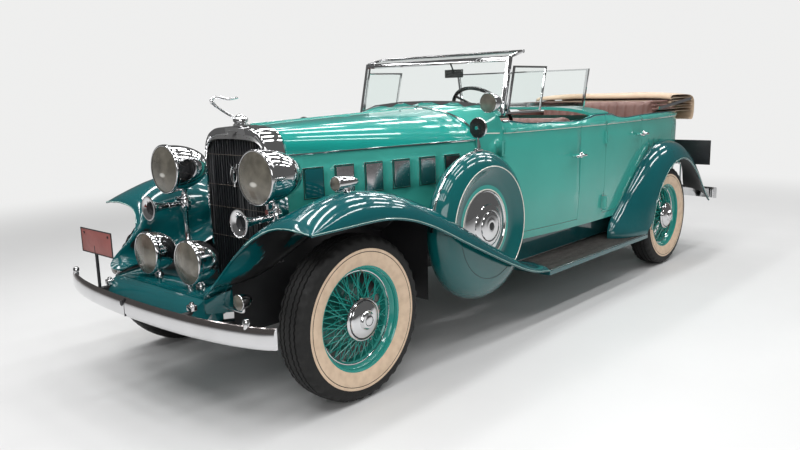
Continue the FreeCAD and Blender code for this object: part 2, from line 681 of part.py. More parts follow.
def knuckle():
    """The left knuckle: a yoke on the kingpin, with spindle, back plate and steering arm."""
    centre = vec(KINGPIN_X, FRONT_AXLE_Y, TYRE_RADIUS)
    lug = AXLE_EYE_HALF + YOKE_GAP
    pieces = [Part.makeCylinder(KINGPIN_RADIUS, 2 * KINGPIN_HALF,
                                centre - vec(0, 0, KINGPIN_HALF), vec(0, 0, 1))]
    web_x = KINGPIN_X + AXLE_EYE_RADIUS + YOKE_GAP
    for low in (lug, -lug - YOKE_THICKNESS):
        base = centre + vec(0, 0, low)
        pieces.append(Part.makeCylinder(YOKE_RADIUS, YOKE_THICKNESS, base, vec(0, 0, 1)))
        pieces.append(block(KINGPIN_X, web_x + YOKE_WEB, FRONT_AXLE_Y - YOKE_WEB_WIDTH / 2,
                            FRONT_AXLE_Y + YOKE_WEB_WIDTH / 2, base.z, base.z + YOKE_THICKNESS))
    pieces.append(block(web_x, web_x + YOKE_WEB, FRONT_AXLE_Y - YOKE_WEB_WIDTH / 2,
                        FRONT_AXLE_Y + YOKE_WEB_WIDTH / 2, TYRE_RADIUS - lug - YOKE_THICKNESS,
                        TYRE_RADIUS + lug + YOKE_THICKNESS))
    pieces.append(rod(vec(web_x, FRONT_AXLE_Y, TYRE_RADIUS),
                      vec(FRONT_WHEEL_X + SPINDLE_END_X, FRONT_AXLE_Y, TYRE_RADIUS), SPINDLE_RADIUS))
    plate_x = FRONT_WHEEL_X + DRUM_X - DRUM_WIDTH / 2 + BACKPLATE / 2
    pieces.append(disc(vec(plate_x, FRONT_AXLE_Y, TYRE_RADIUS), vec(1, 0, 0),
                       DRUM_RADIUS - DRUM_WALL - TIE_CLEARANCE, BACKPLATE / 2))
    arm_z = TYRE_RADIUS - lug - YOKE_THICKNESS
    arm_x = KINGPIN_X
    arm = plate_xy([(KINGPIN_X - ARM_SECTION / 2, FRONT_AXLE_Y), (KINGPIN_X + ARM_SECTION, FRONT_AXLE_Y),
                    (arm_x + ARM_SECTION / 2, FRONT_AXLE_Y + ARM_LENGTH),
                    (arm_x - ARM_SECTION / 2, FRONT_AXLE_Y + ARM_LENGTH)], arm_z, arm_z + YOKE_THICKNESS)
    pieces.append(arm)
    pieces.append(Part.makeCylinder(ARM_SECTION / 2 + BALL_RADIUS / 2, YOKE_THICKNESS,
                                    vec(arm_x, FRONT_AXLE_Y + ARM_LENGTH, arm_z), vec(0, 0, 1)))
    pin = Part.makeCylinder(BALL_RADIUS, TIE_EYE_HEIGHT + 2 * YOKE_GAP,
                            vec(arm_x, FRONT_AXLE_Y + ARM_LENGTH, arm_z - TIE_EYE_HEIGHT - 2 * YOKE_GAP),
                            vec(0, 0, 1))
    pieces.append(pin)
    return fused(pieces)


def tie_rod():
    """The rod between the steering arms, an eye on each arm's pin."""
    top = TYRE_RADIUS - AXLE_EYE_HALF - YOKE_GAP - YOKE_THICKNESS - YOKE_GAP
    arm_x = KINGPIN_X
    arm_y = FRONT_AXLE_Y + ARM_LENGTH
    pieces = [rod(vec(-arm_x, arm_y, top - TIE_EYE_HEIGHT / 2), vec(arm_x, arm_y, top - TIE_EYE_HEIGHT / 2),
                  TIE_ROD_RADIUS)]
    for side in (-arm_x, arm_x):
        pieces.append(Part.makeCylinder(TIE_EYE_RADIUS, TIE_EYE_HEIGHT, vec(side, arm_y, top - TIE_EYE_HEIGHT),
                                        vec(0, 0, 1)))
    bar = fused(pieces)
    for side, room in ((arm_x, FIT), (-arm_x, TIE_CLEARANCE)):
        hole = Part.makeCylinder(BALL_RADIUS + room, TIE_EYE_HEIGHT + 2 * OVERRUN,
                                 vec(side, arm_y, top - TIE_EYE_HEIGHT - OVERRUN), vec(0, 0, 1))
        bar = bar.cut(hole)
    return bar


def front_axle():
    """The dropped I-beam with an eye for each kingpin."""
    low = TYRE_RADIUS - AXLE_DROP
    half = AXLE_BEAM_HEIGHT / 2
    outline = [(KINGPIN_X, TYRE_RADIUS + half), (AXLE_FLAT_X, low + half), (-AXLE_FLAT_X, low + half),
               (-KINGPIN_X, TYRE_RADIUS + half), (-KINGPIN_X, TYRE_RADIUS - half),
               (-AXLE_FLAT_X, low - half), (AXLE_FLAT_X, low - half), (KINGPIN_X, TYRE_RADIUS - half)]
    beam = plate_xz(outline, FRONT_AXLE_Y - AXLE_BEAM_WIDTH / 2, FRONT_AXLE_Y + AXLE_BEAM_WIDTH / 2)
    web = (AXLE_BEAM_WIDTH - AXLE_WEB) / 2
    pocket = [(AXLE_FLAT_X, low + half - AXLE_FLANGE), (-AXLE_FLAT_X, low + half - AXLE_FLANGE),
              (-AXLE_FLAT_X, low - half + AXLE_FLANGE), (AXLE_FLAT_X, low - half + AXLE_FLANGE)]
    for face in (FRONT_AXLE_Y - AXLE_BEAM_WIDTH / 2 - web, FRONT_AXLE_Y + AXLE_BEAM_WIDTH / 2 - web):
        beam = beam.cut(plate_xz(pocket, face, face + 2 * web))
    pieces = [beam]
    for side in (-KINGPIN_X, KINGPIN_X):
        pieces.append(Part.makeCylinder(AXLE_EYE_RADIUS, 2 * AXLE_EYE_HALF,
                                        vec(side, FRONT_AXLE_Y, TYRE_RADIUS - AXLE_EYE_HALF), vec(0, 0, 1)))
    axle = fused(pieces)
    for side in (-KINGPIN_X, KINGPIN_X):
        trim = block(abs(side), KINGPIN_X + OVERRUN * 2, FRONT_AXLE_Y - OVERRUN, FRONT_AXLE_Y + OVERRUN,
                     0, 2 * TYRE_RADIUS)
        trim = trim.cut(Part.makeCylinder(AXLE_EYE_RADIUS, 4 * TYRE_RADIUS,
                                          vec(KINGPIN_X, FRONT_AXLE_Y, -TYRE_RADIUS), vec(0, 0, 1)))
        axle = axle.cut(trim if side > 0 else mirrored(trim))
        axle = axle.cut(Part.makeCylinder(KINGPIN_RADIUS + FIT, 4 * TYRE_RADIUS,
                                          vec(side, FRONT_AXLE_Y, -TYRE_RADIUS), vec(0, 0, 1)))
    for level in (TYRE_RADIUS + AXLE_EYE_HALF, TYRE_RADIUS - AXLE_EYE_HALF - 2 * OVERRUN):
        for side in (-KINGPIN_X, KINGPIN_X):
            axle = axle.cut(block(side - OVERRUN, side + OVERRUN, FRONT_AXLE_Y - OVERRUN,
                                  FRONT_AXLE_Y + OVERRUN, level, level + 2 * OVERRUN))
    return axle


def rear_axle():
    """The tube with its differential housing, and a stub that carries each hub."""
    axis = vec(1, 0, 0)
    centre = vec(0, REAR_AXLE_Y, TYRE_RADIUS)
    tube = rod(centre - axis * HOUSING_END_X, centre + axis * HOUSING_END_X, HOUSING_RADIUS)
    bulge = turned([(-DIFF_HALF, HOUSING_RADIUS), (-DIFF_HALF / 2, DIFF_RADIUS * DIFF_SHOULDER_SHARE),
                    (-DIFF_HALF / 6, DIFF_RADIUS), (DIFF_HALF / 6, DIFF_RADIUS),
                    (DIFF_HALF / 2, DIFF_RADIUS * DIFF_SHOULDER_SHARE), (DIFF_HALF, HOUSING_RADIUS), (DIFF_HALF, 0),
                    (-DIFF_HALF, 0)], centre, axis)
    nose = rod(centre, centre - vec(0, DIFF_RADIUS + DIFF_OFFSET, 0), 2 * TORQUE_RADIUS)
    pieces = [tube, bulge, nose]
    plate_x = REAR_WHEEL_X + DRUM_X - DRUM_WIDTH / 2
    for side in (-1, 1):
        pieces.append(rod(centre, centre + vec(side * (REAR_WHEEL_X + SPINDLE_END_X), 0, 0), SPINDLE_RADIUS))
        pieces.append(disc(centre + vec(side * (plate_x + BACKPLATE / 2), 0, 0), axis,
                           DRUM_RADIUS - DRUM_WALL - TIE_CLEARANCE, BACKPLATE / 2))
    return fused(pieces)


def driveline():
    """The gearbox behind the engine and the torque tube to the rear axle."""
    start = station(ENGINE_START + ENGINE_LENGTH) + FIT
    top = ENGINE_BASE_Z + GEARBOX_HEIGHT
    box = plate_yz([(start, ENGINE_BASE_Z), (start, top), (start + GEARBOX_LENGTH / 3, top),
                    (start + GEARBOX_LENGTH, top - GEARBOX_HEIGHT / 3),
                    (start + GEARBOX_LENGTH, ENGINE_BASE_Z + GEARBOX_HEIGHT / 5)], -GEARBOX_HALF, GEARBOX_HALF)
    tail = vec(0, start + GEARBOX_LENGTH - GEARBOX_HALF, ENGINE_BASE_Z + GEARBOX_HEIGHT * GEARBOX_TAIL_SHARE)
    nose = vec(0, REAR_AXLE_Y - DIFF_RADIUS - DIFF_OFFSET - TIE_CLEARANCE, TYRE_RADIUS)
    tube = rod(tail, nose, TORQUE_RADIUS)
    stop = block(-RAIL_INNER_X, RAIL_INNER_X, REAR_AXLE_Y - DIFF_RADIUS - DIFF_OFFSET - FIT,
                 REAR_AXLE_Y, 0, 2 * TYRE_RADIUS)
    return fused([box, tube]).cut(stop)


def rail_outline():
    """The side of a frame rail as (y, z), its horn, drop and rise over the rear axle."""
    tail = WHEELBASE + RAIL_TAIL
    kick = RAIL_TOP_Z + RAIL_KICK
    slim = RAIL_DEPTH - HORN_DEPTH
    horn, drop, back, rise, level = [WHEELBASE * share for share in RAIL_BEND_SHARES]
    droop = RAIL_KICK * RAIL_TAIL_SHARE
    top = [(-HORN_LEAD, HORN_Z + HORN_DEPTH / 2), (-HORN_LEAD * HORN_BEND_SHARE, RAIL_TOP_Z + RAIL_KICK / 4),
           (horn, RAIL_TOP_Z + RAIL_KICK / 6), (drop, RAIL_TOP_Z - SHEET), (back, RAIL_TOP_Z - SHEET),
           (rise, kick), (level, kick), (tail, kick - droop)]
    bottom = [(tail, kick - droop - HORN_DEPTH), (level, kick - slim), (rise, kick - slim),
              (back, RAIL_TOP_Z - RAIL_DEPTH), (drop, RAIL_TOP_Z - RAIL_DEPTH), (horn, RAIL_TOP_Z - slim),
              (-HORN_LEAD * HORN_BEND_SHARE, RAIL_TOP_Z - slim), (-HORN_LEAD, HORN_Z - HORN_DEPTH / 2)]
    return [(station(y), z) for y, z in top + bottom]


def frame():
    """Two channel rails with their cross-members and front spring hangers."""
    rail = plate_yz(rail_outline(), RAIL_INNER_X, RAIL_INNER_X + RAIL_WIDTH)
    pieces = [rail, mirrored(rail)]
    first = station(-HORN_LEAD + HANGER_LENGTH)
    last = station(WHEELBASE + RAIL_TAIL - CROSS_WIDTH * CROSS_END_SHARE)
    outline = rail_outline()
    half = len(outline) // 2
    for place, low, high in CROSS_MEMBER_SHARES:
        y = first + (last - first) * place
        pieces.append(block(-RAIL_INNER_X, RAIL_INNER_X, y, y + CROSS_WIDTH, RAIL_TOP_Z * low,
                            RAIL_TOP_Z * high))
    for share in BEARER_SHARES:
        y = station(ENGINE_START + ENGINE_LENGTH * share)
        for side in (-1, 1):
            ends = sorted((side * (ENGINE_HALF + FIT), side * RAIL_INNER_X))
            pieces.append(block(ends[0], ends[1], y, y + BEARER_SIZE, RAIL_TOP_Z - 2 * BEARER_SIZE,
                                RAIL_TOP_Z - BEARER_SIZE))
    for side in (-1, 1):
        for end in (-FRONT_SPRING_HALF, FRONT_SPRING_HALF):
            y = station(end)
            low = spring_base() + FRONT_SPRING_RISE + SPRING_THICKNESS
            high = level_at(outline[:half - 1:-1], y)
            x = side * (RAIL_INNER_X + RAIL_WIDTH / 2)
            if high > low:
                pieces.append(block(x - HANGER_WIDTH / 2, x + HANGER_WIDTH / 2, y - HANGER_LENGTH / 2,
                                    y + HANGER_LENGTH / 2, low, high + HANGER_WIDTH))
    for side in (-1, 1):
        for end in (-REAR_SPRING_HALF, REAR_SPRING_HALF):
            y = REAR_AXLE_Y + end
            z = TYRE_RADIUS + HOUSING_RADIUS + REAR_SPRING_RISE + SPRING_THICKNESS / 2
            start = vec(side * (RAIL_INNER_X + RAIL_WIDTH / 2), y, z)
            high = level_at(outline[:half - 1:-1], y)
            if high > z:
                pieces.append(block(start.x - HANGER_WIDTH / 2, start.x + HANGER_WIDTH / 2, y - HANGER_LENGTH / 2,
                                    y + HANGER_LENGTH / 2, z - SPRING_EYE_RADIUS, high + HANGER_WIDTH))
            pieces.append(rod(start, vec(side * (REAR_SPRING_X - SPRING_WIDTH / 2), y, z), SPRING_EYE_RADIUS))
    return fused(pieces)


def level_at(line, y):
    """The height of an outline's line at a y."""
    for (y0, z0), (y1, z1) in zip(line, line[1:]):
        if y0 <= y <= y1:
            return z0 + (z1 - z0) * (y - y0) / (y1 - y0)
    return line[0][1] if y < line[0][0] else line[-1][1]


def spring_base():
    """The height on which the front springs lie on the axle."""
    return TYRE_RADIUS - AXLE_DROP + AXLE_BEAM_HEIGHT / 2


def spring(x, y, z, half_length, rise):
    """A leaf spring pack, its middle lowest, with a stepped underside for the shorter leaves."""
    thin = SPRING_THICKNESS / 3
    bottom = Part.Arc(vec(x, y - half_length, z + rise + SPRING_THICKNESS - thin), vec(x, y, z),
                      vec(x, y + half_length, z + rise + SPRING_THICKNESS - thin)).toShape()
    top = Part.Arc(vec(x, y - half_length, z + rise + SPRING_THICKNESS),
                   vec(x, y, z + SPRING_THICKNESS),
                   vec(x, y + half_length, z + rise + SPRING_THICKNESS)).toShape()
    sides = []
    for end in (-half_length, half_length):
        sides.append(Part.LineSegment(vec(x, y + end, z + rise + SPRING_THICKNESS - thin),
                                      vec(x, y + end, z + rise + SPRING_THICKNESS)).toShape())
    face = Part.Face(Part.Wire([bottom, sides[1], top, sides[0]]))
    face.translate(vec(-SPRING_WIDTH / 2, 0, 0))
    return face.extrude(vec(SPRING_WIDTH, 0, 0))


def leaf_springs():
    """The four springs, the rear pair outboard of the rails."""
    front = spring(RAIL_INNER_X + RAIL_WIDTH / 2, FRONT_AXLE_Y, spring_base(), FRONT_SPRING_HALF,
                   FRONT_SPRING_RISE)
    rear = spring(REAR_SPRING_X, REAR_AXLE_Y, TYRE_RADIUS + HOUSING_RADIUS, REAR_SPRING_HALF,
                  REAR_SPRING_RISE)
    return [front, mirrored(front), rear, mirrored(rear)]


def bent_bar(points, radius, bend):
    """A round bar through points, each corner an arc."""
    edges = []
    here = points[0]
    for before, corner, after in zip(points, points[1:], points[2:]):
        back = (before - corner).normalize()
        ahead = (after - corner).normalize()
        half = back.getAngle(ahead) / 2
        reach = bend / math.tan(half)
        middle = (back + ahead).normalize()
        first = corner + back * reach
        second = corner + ahead * reach
        top = corner + middle * (bend / math.sin(half) - bend)
        edges.append(Part.LineSegment(here, first).toShape())
        edges.append(Part.Arc(first, top, second).toShape())
        here = second
    edges.append(Part.LineSegment(here, points[-1]).toShape())
    section = Part.Wire(Part.Circle(points[0], points[1] - points[0], radius).toShape())
    return Part.Wire(edges).makePipeShell([section], True, False)


def exhaust():
    """The exhaust from the engine's right side, with its silencer and tail pipe."""
    start = station(ENGINE_START + ENGINE_LENGTH / 2)
    silencer_start = station(WHEELBASE * SILENCER_START_SHARE)
    pipe = bent_bar([vec(-ENGINE_HALF, start, ENGINE_BASE_Z + GEARBOX_HEIGHT / 2),
                     vec(-EXHAUST_X, start + 2 * EXHAUST_BEND, EXHAUST_Z),
                     vec(-EXHAUST_X, silencer_start + SILENCER_RADIUS, EXHAUST_Z)], EXHAUST_RADIUS, EXHAUST_BEND)
    pipe = pipe.cut(block(-ENGINE_HALF - FIT, ENGINE_HALF, station(ENGINE_START),
                          station(ENGINE_START + ENGINE_LENGTH), ENGINE_BASE_Z - EXHAUST_BEND, ENGINE_TOP_Z))
    drum = Part.makeCylinder(SILENCER_RADIUS, SILENCER_LENGTH, vec(-EXHAUST_X, silencer_start, EXHAUST_Z),
                             vec(0, 1, 0))
    tail_start = silencer_start + SILENCER_LENGTH
    over = TYRE_RADIUS + HOUSING_RADIUS + 2 * EXHAUST_RADIUS
    tail = bent_bar([vec(-EXHAUST_X, tail_start - SILENCER_RADIUS, EXHAUST_Z),
                     vec(-EXHAUST_X, REAR_AXLE_Y - 3 * EXHAUST_BEND, EXHAUST_Z),
                     vec(-EXHAUST_X, REAR_AXLE_Y - EXHAUST_BEND * OVER_START_SHARE, over),
                     vec(-EXHAUST_X, REAR_AXLE_Y + EXHAUST_BEND, over),
                     vec(-EXHAUST_X, REAR_AXLE_Y + EXHAUST_BEND * OVER_END_SHARE, TAIL_PIPE_Z),
                     vec(-EXHAUST_X, TAIL_PIPE_END, TAIL_PIPE_Z)],
                    EXHAUST_RADIUS * TAIL_PIPE_SHARE, EXHAUST_BEND)
    return fused([largest(pipe), drum, tail])


def fuel_tank():
    """The rounded tank between the rails behind the rear axle."""
    y = REAR_AXLE_Y + DIFF_RADIUS + 2 * TANK_EDGE
    tank = block(-RAIL_INNER_X + FIT, RAIL_INNER_X - FIT, y, y + TANK_LENGTH, TANK_TOP_Z - TANK_HEIGHT, TANK_TOP_Z)
    edges = [edge for edge in tank.Edges
             if abs(edge.Vertexes[0].X - edge.Vertexes[1].X) > RAIL_INNER_X]
    return tank.makeFillet(TANK_EDGE, edges)


def engine_block():
    """The engine as one plain block."""
    return block(-ENGINE_HALF, ENGINE_HALF, station(ENGINE_START), station(ENGINE_START + ENGINE_LENGTH),
                 ENGINE_BASE_Z, ENGINE_TOP_Z)


def top_half(shares, half_width, base, height, start):
    """The points (x, z) of a half section from near the ridge outward."""
    points = [(half_width * across, base + height * up) for across, up in shares]
    points[0] = (start, points[0][1])
    return points


def sheet_between(front, rear, y0, y1, thickness):
    """A sheet drawn between two open sections (x, z), its thickness inward."""
    wires = []
    for points, y in ((front, y0), (rear, y1)):
        inner = offset_line(points, -thickness)
        outside = [vec(x, y, z) for x, z in points]
        inside = [vec(x, y, z) for x, z in inner]
        wires.append(Part.Wire([spline(outside), Part.LineSegment(outside[-1], inside[-1]).toShape(),
                                spline(inside[::-1]), Part.LineSegment(inside[0], outside[0]).toShape()]))
    return Part.makeLoft(wires, True, True)


def shell_outline(half_width, top, base):
    """The points (x, z) of the radiator's outline, left base over the top to right base."""
    left = [(half_width * across, base + (top - base) * up) for across, up in SHELL_SHARES]
    return left + [(-x, z) for x, z in left[-2::-1]]


def outline_wire(points, y):
    """A closed wire of a smooth outline and its straight base."""
    corners = [vec(x, y, z) for x, z in points]
    return Part.Wire([spline(corners), Part.LineSegment(corners[-1], corners[0]).toShape()])


def radiator_shell():
    """The bright surround: wider at the hood than at its face, open over grille and hood."""
    front = station(-SHELL_LEAD)
    back = front + SHELL_DEPTH
    outer = Part.makeLoft([outline_wire(shell_outline(SHELL_HALF_WIDTH - SHELL_FLARE, SHELL_TOP_Z - SHELL_FLARE,
                                                      SHELL_BASE_Z), front),
                           outline_wire(shell_outline(SHELL_HALF_WIDTH - SHELL_EDGE / 2,
                                                      SHELL_TOP_Z - SHELL_EDGE / 2,
                                                      SHELL_BASE_Z), front + SHELL_EDGE * 2),
                           outline_wire(shell_outline(SHELL_HALF_WIDTH, SHELL_TOP_Z, SHELL_BASE_Z), back)],
                          True, True)
    opening = shell_outline(SHELL_HALF_WIDTH - SHELL_FLARE - SHELL_RIM, SHELL_TOP_Z - SHELL_FLARE - 2 * SHELL_RIM,
                            SHELL_BASE_Z + SHELL_RIM)
    face = Part.Face(outline_wire(opening, front - OVERRUN))
    return outer.cut(face.extrude(vec(0, SHELL_DEPTH + 2 * OVERRUN, 0)))


def radiator_grille():
    """The core behind its upright slats, filling the shell's opening."""
    front = station(-SHELL_LEAD) + GRILLE_RECESS
    opening = shell_outline(SHELL_HALF_WIDTH - SHELL_FLARE - SHELL_RIM - FIT,
                            SHELL_TOP_Z - SHELL_FLARE - 2 * SHELL_RIM - FIT, SHELL_BASE_Z + SHELL_RIM + FIT)
    back = station(-SHELL_LEAD) + SHELL_DEPTH
    face = Part.Face(outline_wire(opening, front + GRILLE_SLAT_DEPTH))
    core = face.extrude(vec(0, back - front - GRILLE_SLAT_DEPTH, 0))
    blank = Part.Face(outline_wire(opening, front)).extrude(vec(0, GRILLE_SLAT_DEPTH, 0))
    slats = []
    count = int((SHELL_HALF_WIDTH - SHELL_RIM) / GRILLE_SLAT_PITCH)
    for index in range(-count, count + 1):
        x = index * GRILLE_SLAT_PITCH
        slats.append(block(x - GRILLE_SLAT_WIDTH / 2, x + GRILLE_SLAT_WIDTH / 2, front - OVERRUN, back,
                           0, 2 * SHELL_TOP_Z))
    bars = [blank.common(slat) for slat in slats]
    return fused([core] + [bar for bar in bars if bar.Volume > GRILLE_SLAT_WIDTH ** 3])


def radiator_cap(shell):
    """The filler cap with a plain swept dart on it."""
    y = station(-SHELL_LEAD + SHELL_DEPTH / 2)
    base = SHELL_TOP_Z - SHELL_FLARE
    outline = [(CAP_NECK_HEIGHT * up, CAP_NECK_RADIUS * out) for up, out in CAP_NECK_SHARES]
    neck = turned(outline, vec(0, y, base), vec(0, 0, 1))
    top = base + CAP_NECK_HEIGHT
    half = ORNAMENT_WIDTH / 2
    wires = []
    for along, rise, size in ORNAMENT_SHARES:
        centre = vec(0, y + ORNAMENT_LENGTH * along, top + ORNAMENT_RISE * rise)
        ring = Part.Circle(centre, vec(0, 1, 0), half * size).toShape()
        wires.append(Part.Wire(ring))
    dart = Part.makeLoft(wires, True, True)
    stem = Part.makeCone(CAP_NECK_RADIUS * CAP_TOP_SHARE, half / 2, ORNAMENT_RISE * STEM_SHARE,
                         vec(0, y, top - FIT), vec(0, 0, 1))
    return largest(fused([neck, stem, dart]).cut(shell))


def hood_sections():
    """The hood's half sections as (front top, rear top, front side, rear side)."""
    front_top = top_half(HOOD_FRONT_SHARES, SHELL_HALF_WIDTH, SHOULDER_Z, SHELL_TOP_Z - SHOULDER_Z, HINGE_ROOM / 2)
    rear_half = COWL_HALF_WIDTH * HOOD_SIDE_REAR_SHARES[0][0]
    rear_top = top_half(HOOD_REAR_SHARES, rear_half, SHOULDER_Z, RIDGE_REAR_Z - SHOULDER_Z, HINGE_ROOM / 2)
    drop = SHOULDER_Z - HOOD_BASE_Z
    front_side = [(SHELL_HALF_WIDTH * out, SHOULDER_Z - drop * down) for out, down in HOOD_SIDE_FRONT_SHARES]
    rear_side = [(COWL_HALF_WIDTH * out, SHOULDER_Z - drop * down) for out, down in HOOD_SIDE_REAR_SHARES]
    return front_top, rear_top, front_side, rear_side


def ridge_rod(radius, start, end):
    """A round bar on the hood's ridge between two places along the car, which carries both halves."""
    slope = (RIDGE_REAR_Z - SHELL_TOP_Z) / (HOOD_REAR - HOOD_START)
    return rod(vec(0, start, SHELL_TOP_Z + slope * (start - station(HOOD_START))),
               vec(0, end, SHELL_TOP_Z + slope * (end - station(HOOD_START))), radius)


def shoulder_rod(radius, reach):
    """A round bar on the hood's left shoulder line, on which the side folds, drawn past its ends by a reach."""
    start = vec(SHELL_HALF_WIDTH, station(HOOD_START), SHOULDER_Z)
    end = vec(COWL_HALF_WIDTH * HOOD_SIDE_REAR_SHARES[0][0], station(HOOD_REAR), SHOULDER_Z)
    past = (end - start).normalize() * reach
    return rod(start - past, end + past, radius)


def with_leaf(panel, front, rear):
    """A hood panel, thinned beside the shoulder's pin to a hinge leaf so that it can fold inward."""
    inside = sheet_between(offset_line(front, -LEAF_SHEET), offset_line(rear, -LEAF_SHEET), station(HOOD_START),
                           station(HOOD_REAR), HOOD_SHEET)
    return largest(panel.cut(inside.common(shoulder_rod(LEAF_WIDTH, HOOD_SHEET))))


def hood_top():
    """The left top half of the hood, hung on the ridge's bar, with the side's hinge pin on its edge."""
    front, rear, _, _ = hood_sections()
    low = HINGE_ROOM / 2
    front[-1] = (front[-1][0], front[-1][1] + low)
    rear[-1] = (rear[-1][0], rear[-1][1] + low)
    half = sheet_between(front, rear, station(HOOD_START), station(HOOD_REAR), HOOD_SHEET)
    half = half.cut(ridge_rod(HOOD_ROD_RADIUS + FIT, station(HOOD_START) - OVERRUN, station(HOOD_REAR) + OVERRUN))
    return fused([with_leaf(half, front, rear), shoulder_rod(HOOD_PIN_RADIUS, 0)])


def hood_side():
    """The left side of the hood with its row of raised ventilator doors."""
    _, _, front, rear = hood_sections()
    low = HINGE_ROOM / 2
    front[0] = (front[0][0], front[0][1] - low)
    rear[0] = (rear[0][0], rear[0][1] - low)
    panel = sheet_between(front, rear, station(HOOD_START), station(HOOD_REAR), HOOD_SHEET)
    proud = sheet_between([(x + VENT_PROUD, z) for x, z in front], [(x + VENT_PROUD, z) for x, z in rear],
                          station(HOOD_START), station(HOOD_REAR), VENT_PROUD + VENT_DEPTH)
    frames = []
    windows = []
    for index in range(VENTS):
        y0 = station(VENT_START + VENT_PITCH * index)
        y1 = y0 + VENT_WIDTH
        frames.append(block(0, BODY_HALF_WIDTH, y0, y1, VENT_BASE_Z, VENT_TOP_Z))
        windows.append(block(0, BODY_HALF_WIDTH, y0 + VENT_FRAME, y1 - VENT_FRAME, VENT_BASE_Z + VENT_FRAME,
                             VENT_TOP_Z - VENT_FRAME))
    rims = [proud.common(border) for border in frames]
    panel = panel.multiFuse(rims)
    pocket = sheet_between([(x + VENT_PROUD * 2, z) for x, z in front],
                           [(x + VENT_PROUD * 2, z) for x, z in rear],
                           station(HOOD_START), station(HOOD_REAR), VENT_PROUD * 2 + VENT_DEPTH)
    for window in windows:
        panel = panel.cut(pocket.common(window))
    end = station(HOOD_REAR)
    tail = plate_yz([(end - HOOD_SHUT, SHOULDER_Z), (end + OVERRUN, SHOULDER_Z), (end + OVERRUN, HOOD_BASE_Z - OVERRUN),
                     (end - SIDE_SHUT, HOOD_BASE_Z - OVERRUN)], 0, BODY_HALF_WIDTH)
    panel = with_leaf(panel, front, rear).cut(tail)
    return panel.cut(shoulder_rod(HOOD_PIN_RADIUS + FIT, HOOD_SHEET))


def splash_line():
    """The splash panel's outer face in plan, as (x, y) at its front and at its rear."""
    _, _, front, rear = hood_sections()
    return (front[-1][0], station(HOOD_START)), (rear[-1][0], station(HOOD_REAR) + HOOD_SHUT - FIT)


def splash_panel():
    """The panel under the hood's side that closes the engine bay down to the frame."""
    (x0, y0), (x1, y1) = splash_line()
    return plate_xy([(x0, y0), (x1, y1), (x1 - SHEET, y1), (x0 - SHEET, y0)], APRON_BASE_Z,
                    HOOD_BASE_Z - HOOD_SHUT)


def cowl():
    """The scuttle from the hood to the doors, with its ledge, dash and firewall."""
    front, rear, side_front, side_rear = hood_sections()
    start = station(HOOD_REAR) + HOOD_SHUT
    middle = station(DOOR_FRONT) - SHUT_GAP / 2
    end = station(COWL_REAR)
    tall = SHOULDER_Z - BODY_BASE_Z
    half = rear[:-1] + side_rear[:-1]
    half[0] = (0, half[0][1])
    half += [(side_rear[-1][0], side_rear[-1][1])]
    half += [(COWL_HALF_WIDTH * out, BODY_BASE_Z + tall * up) for out, up in COWL_FRONT_TAIL_SHARES]
    height = COWL_REAR_Z - BODY_BASE_Z
    rear_half = [(COWL_REAR_HALF_WIDTH * out, BODY_BASE_Z + height * up) for out, up in COWL_REAR_SHARES]
    while len(half) > len(rear_half):
        half.pop(-3)
    shells = []
    for inset in (0, COWL_SHEET):
        wires = []
        for points, y in ((half, start), (rear_half, middle), (rear_half, end)):
            moved = offset_line(points, -inset) if inset else points
            moved[0] = (0, moved[0][1])
            if inset:
                moved[-1] = (moved[-1][0], moved[-1][1] - OVERRUN)
            line = [vec(-x, y, z) for x, z in moved[:0:-1]] + [vec(x, y, z) for x, z in moved]
            wires.append(Part.Wire([spline(line), Part.LineSegment(line[-1], line[0]).toShape()]))
        first = Part.makeLoft(wires[:2], True, True)
        second = Part.makeLoft(wires[1:], True, True)
        shells.append((first, second))
    low = block(-BODY_HALF_WIDTH, BODY_HALF_WIDTH, middle, end + OVERRUN, 0, BODY_TOP_Z - SHUT_GAP / 2)
    shell = shells[0][0].fuse(shells[0][1].cut(low))
    inside = shells[1][0].fuse(shells[1][1])
    wall = shell.cut(inside)
    firewall = shells[1][0].common(block(-BODY_HALF_WIDTH, BODY_HALF_WIDTH, start, start + FIREWALL_DEPTH,
                                         FLOOR_Z, 2 * COWL_REAR_Z))
    dash = shells[1][1].common(block(-BODY_HALF_WIDTH, BODY_HALF_WIDTH, end - DASH_DEPTH, end,
                                     DASH_BASE_Z, 2 * COWL_REAR_Z))
    dash = dash.cut(block(POST_X - POST_WIDTH, BODY_HALF_WIDTH, middle, end + OVERRUN, 0, BODY_TOP_Z))
    dash = dash.cut(block(-BODY_HALF_WIDTH, -POST_X + POST_WIDTH, middle, end + OVERRUN, 0, BODY_TOP_Z))
    tunnel = block(-GEARBOX_HALF - 2 * SHUT_GAP, GEARBOX_HALF + 2 * SHUT_GAP, start - OVERRUN, middle,
                   0, ENGINE_BASE_Z + GEARBOX_HEIGHT + 2 * SHUT_GAP)
    hood_rod = ridge_rod(HOOD_ROD_RADIUS, station(SHELL_DEPTH - SHELL_LEAD) + FIT, start + FIREWALL_DEPTH)
    posts = hinge_posts(DOOR_FRONT)
    return fused([wall, firewall.cut(tunnel), dash, hood_rod, posts, mirrored(posts)])


def body_points(tuck, inset, reach):
    """The body's plan (x, y) from the front corner to the middle of the rear."""
    points = []
    for along, out in BODY_PLAN_SHARES:
        y = station(DOOR_FRONT + (BODY_END - DOOR_FRONT) * along)
        points.append((BODY_HALF_WIDTH * out - tuck * (1 if out > 0 else 0), y - tuck * (along > 0.99)))
    if inset:
        points = offset_line(points, inset)
        points[-1] = (0, points[-1][1])
    points[0] = (points[0][0], points[0][1] - reach)
    return points


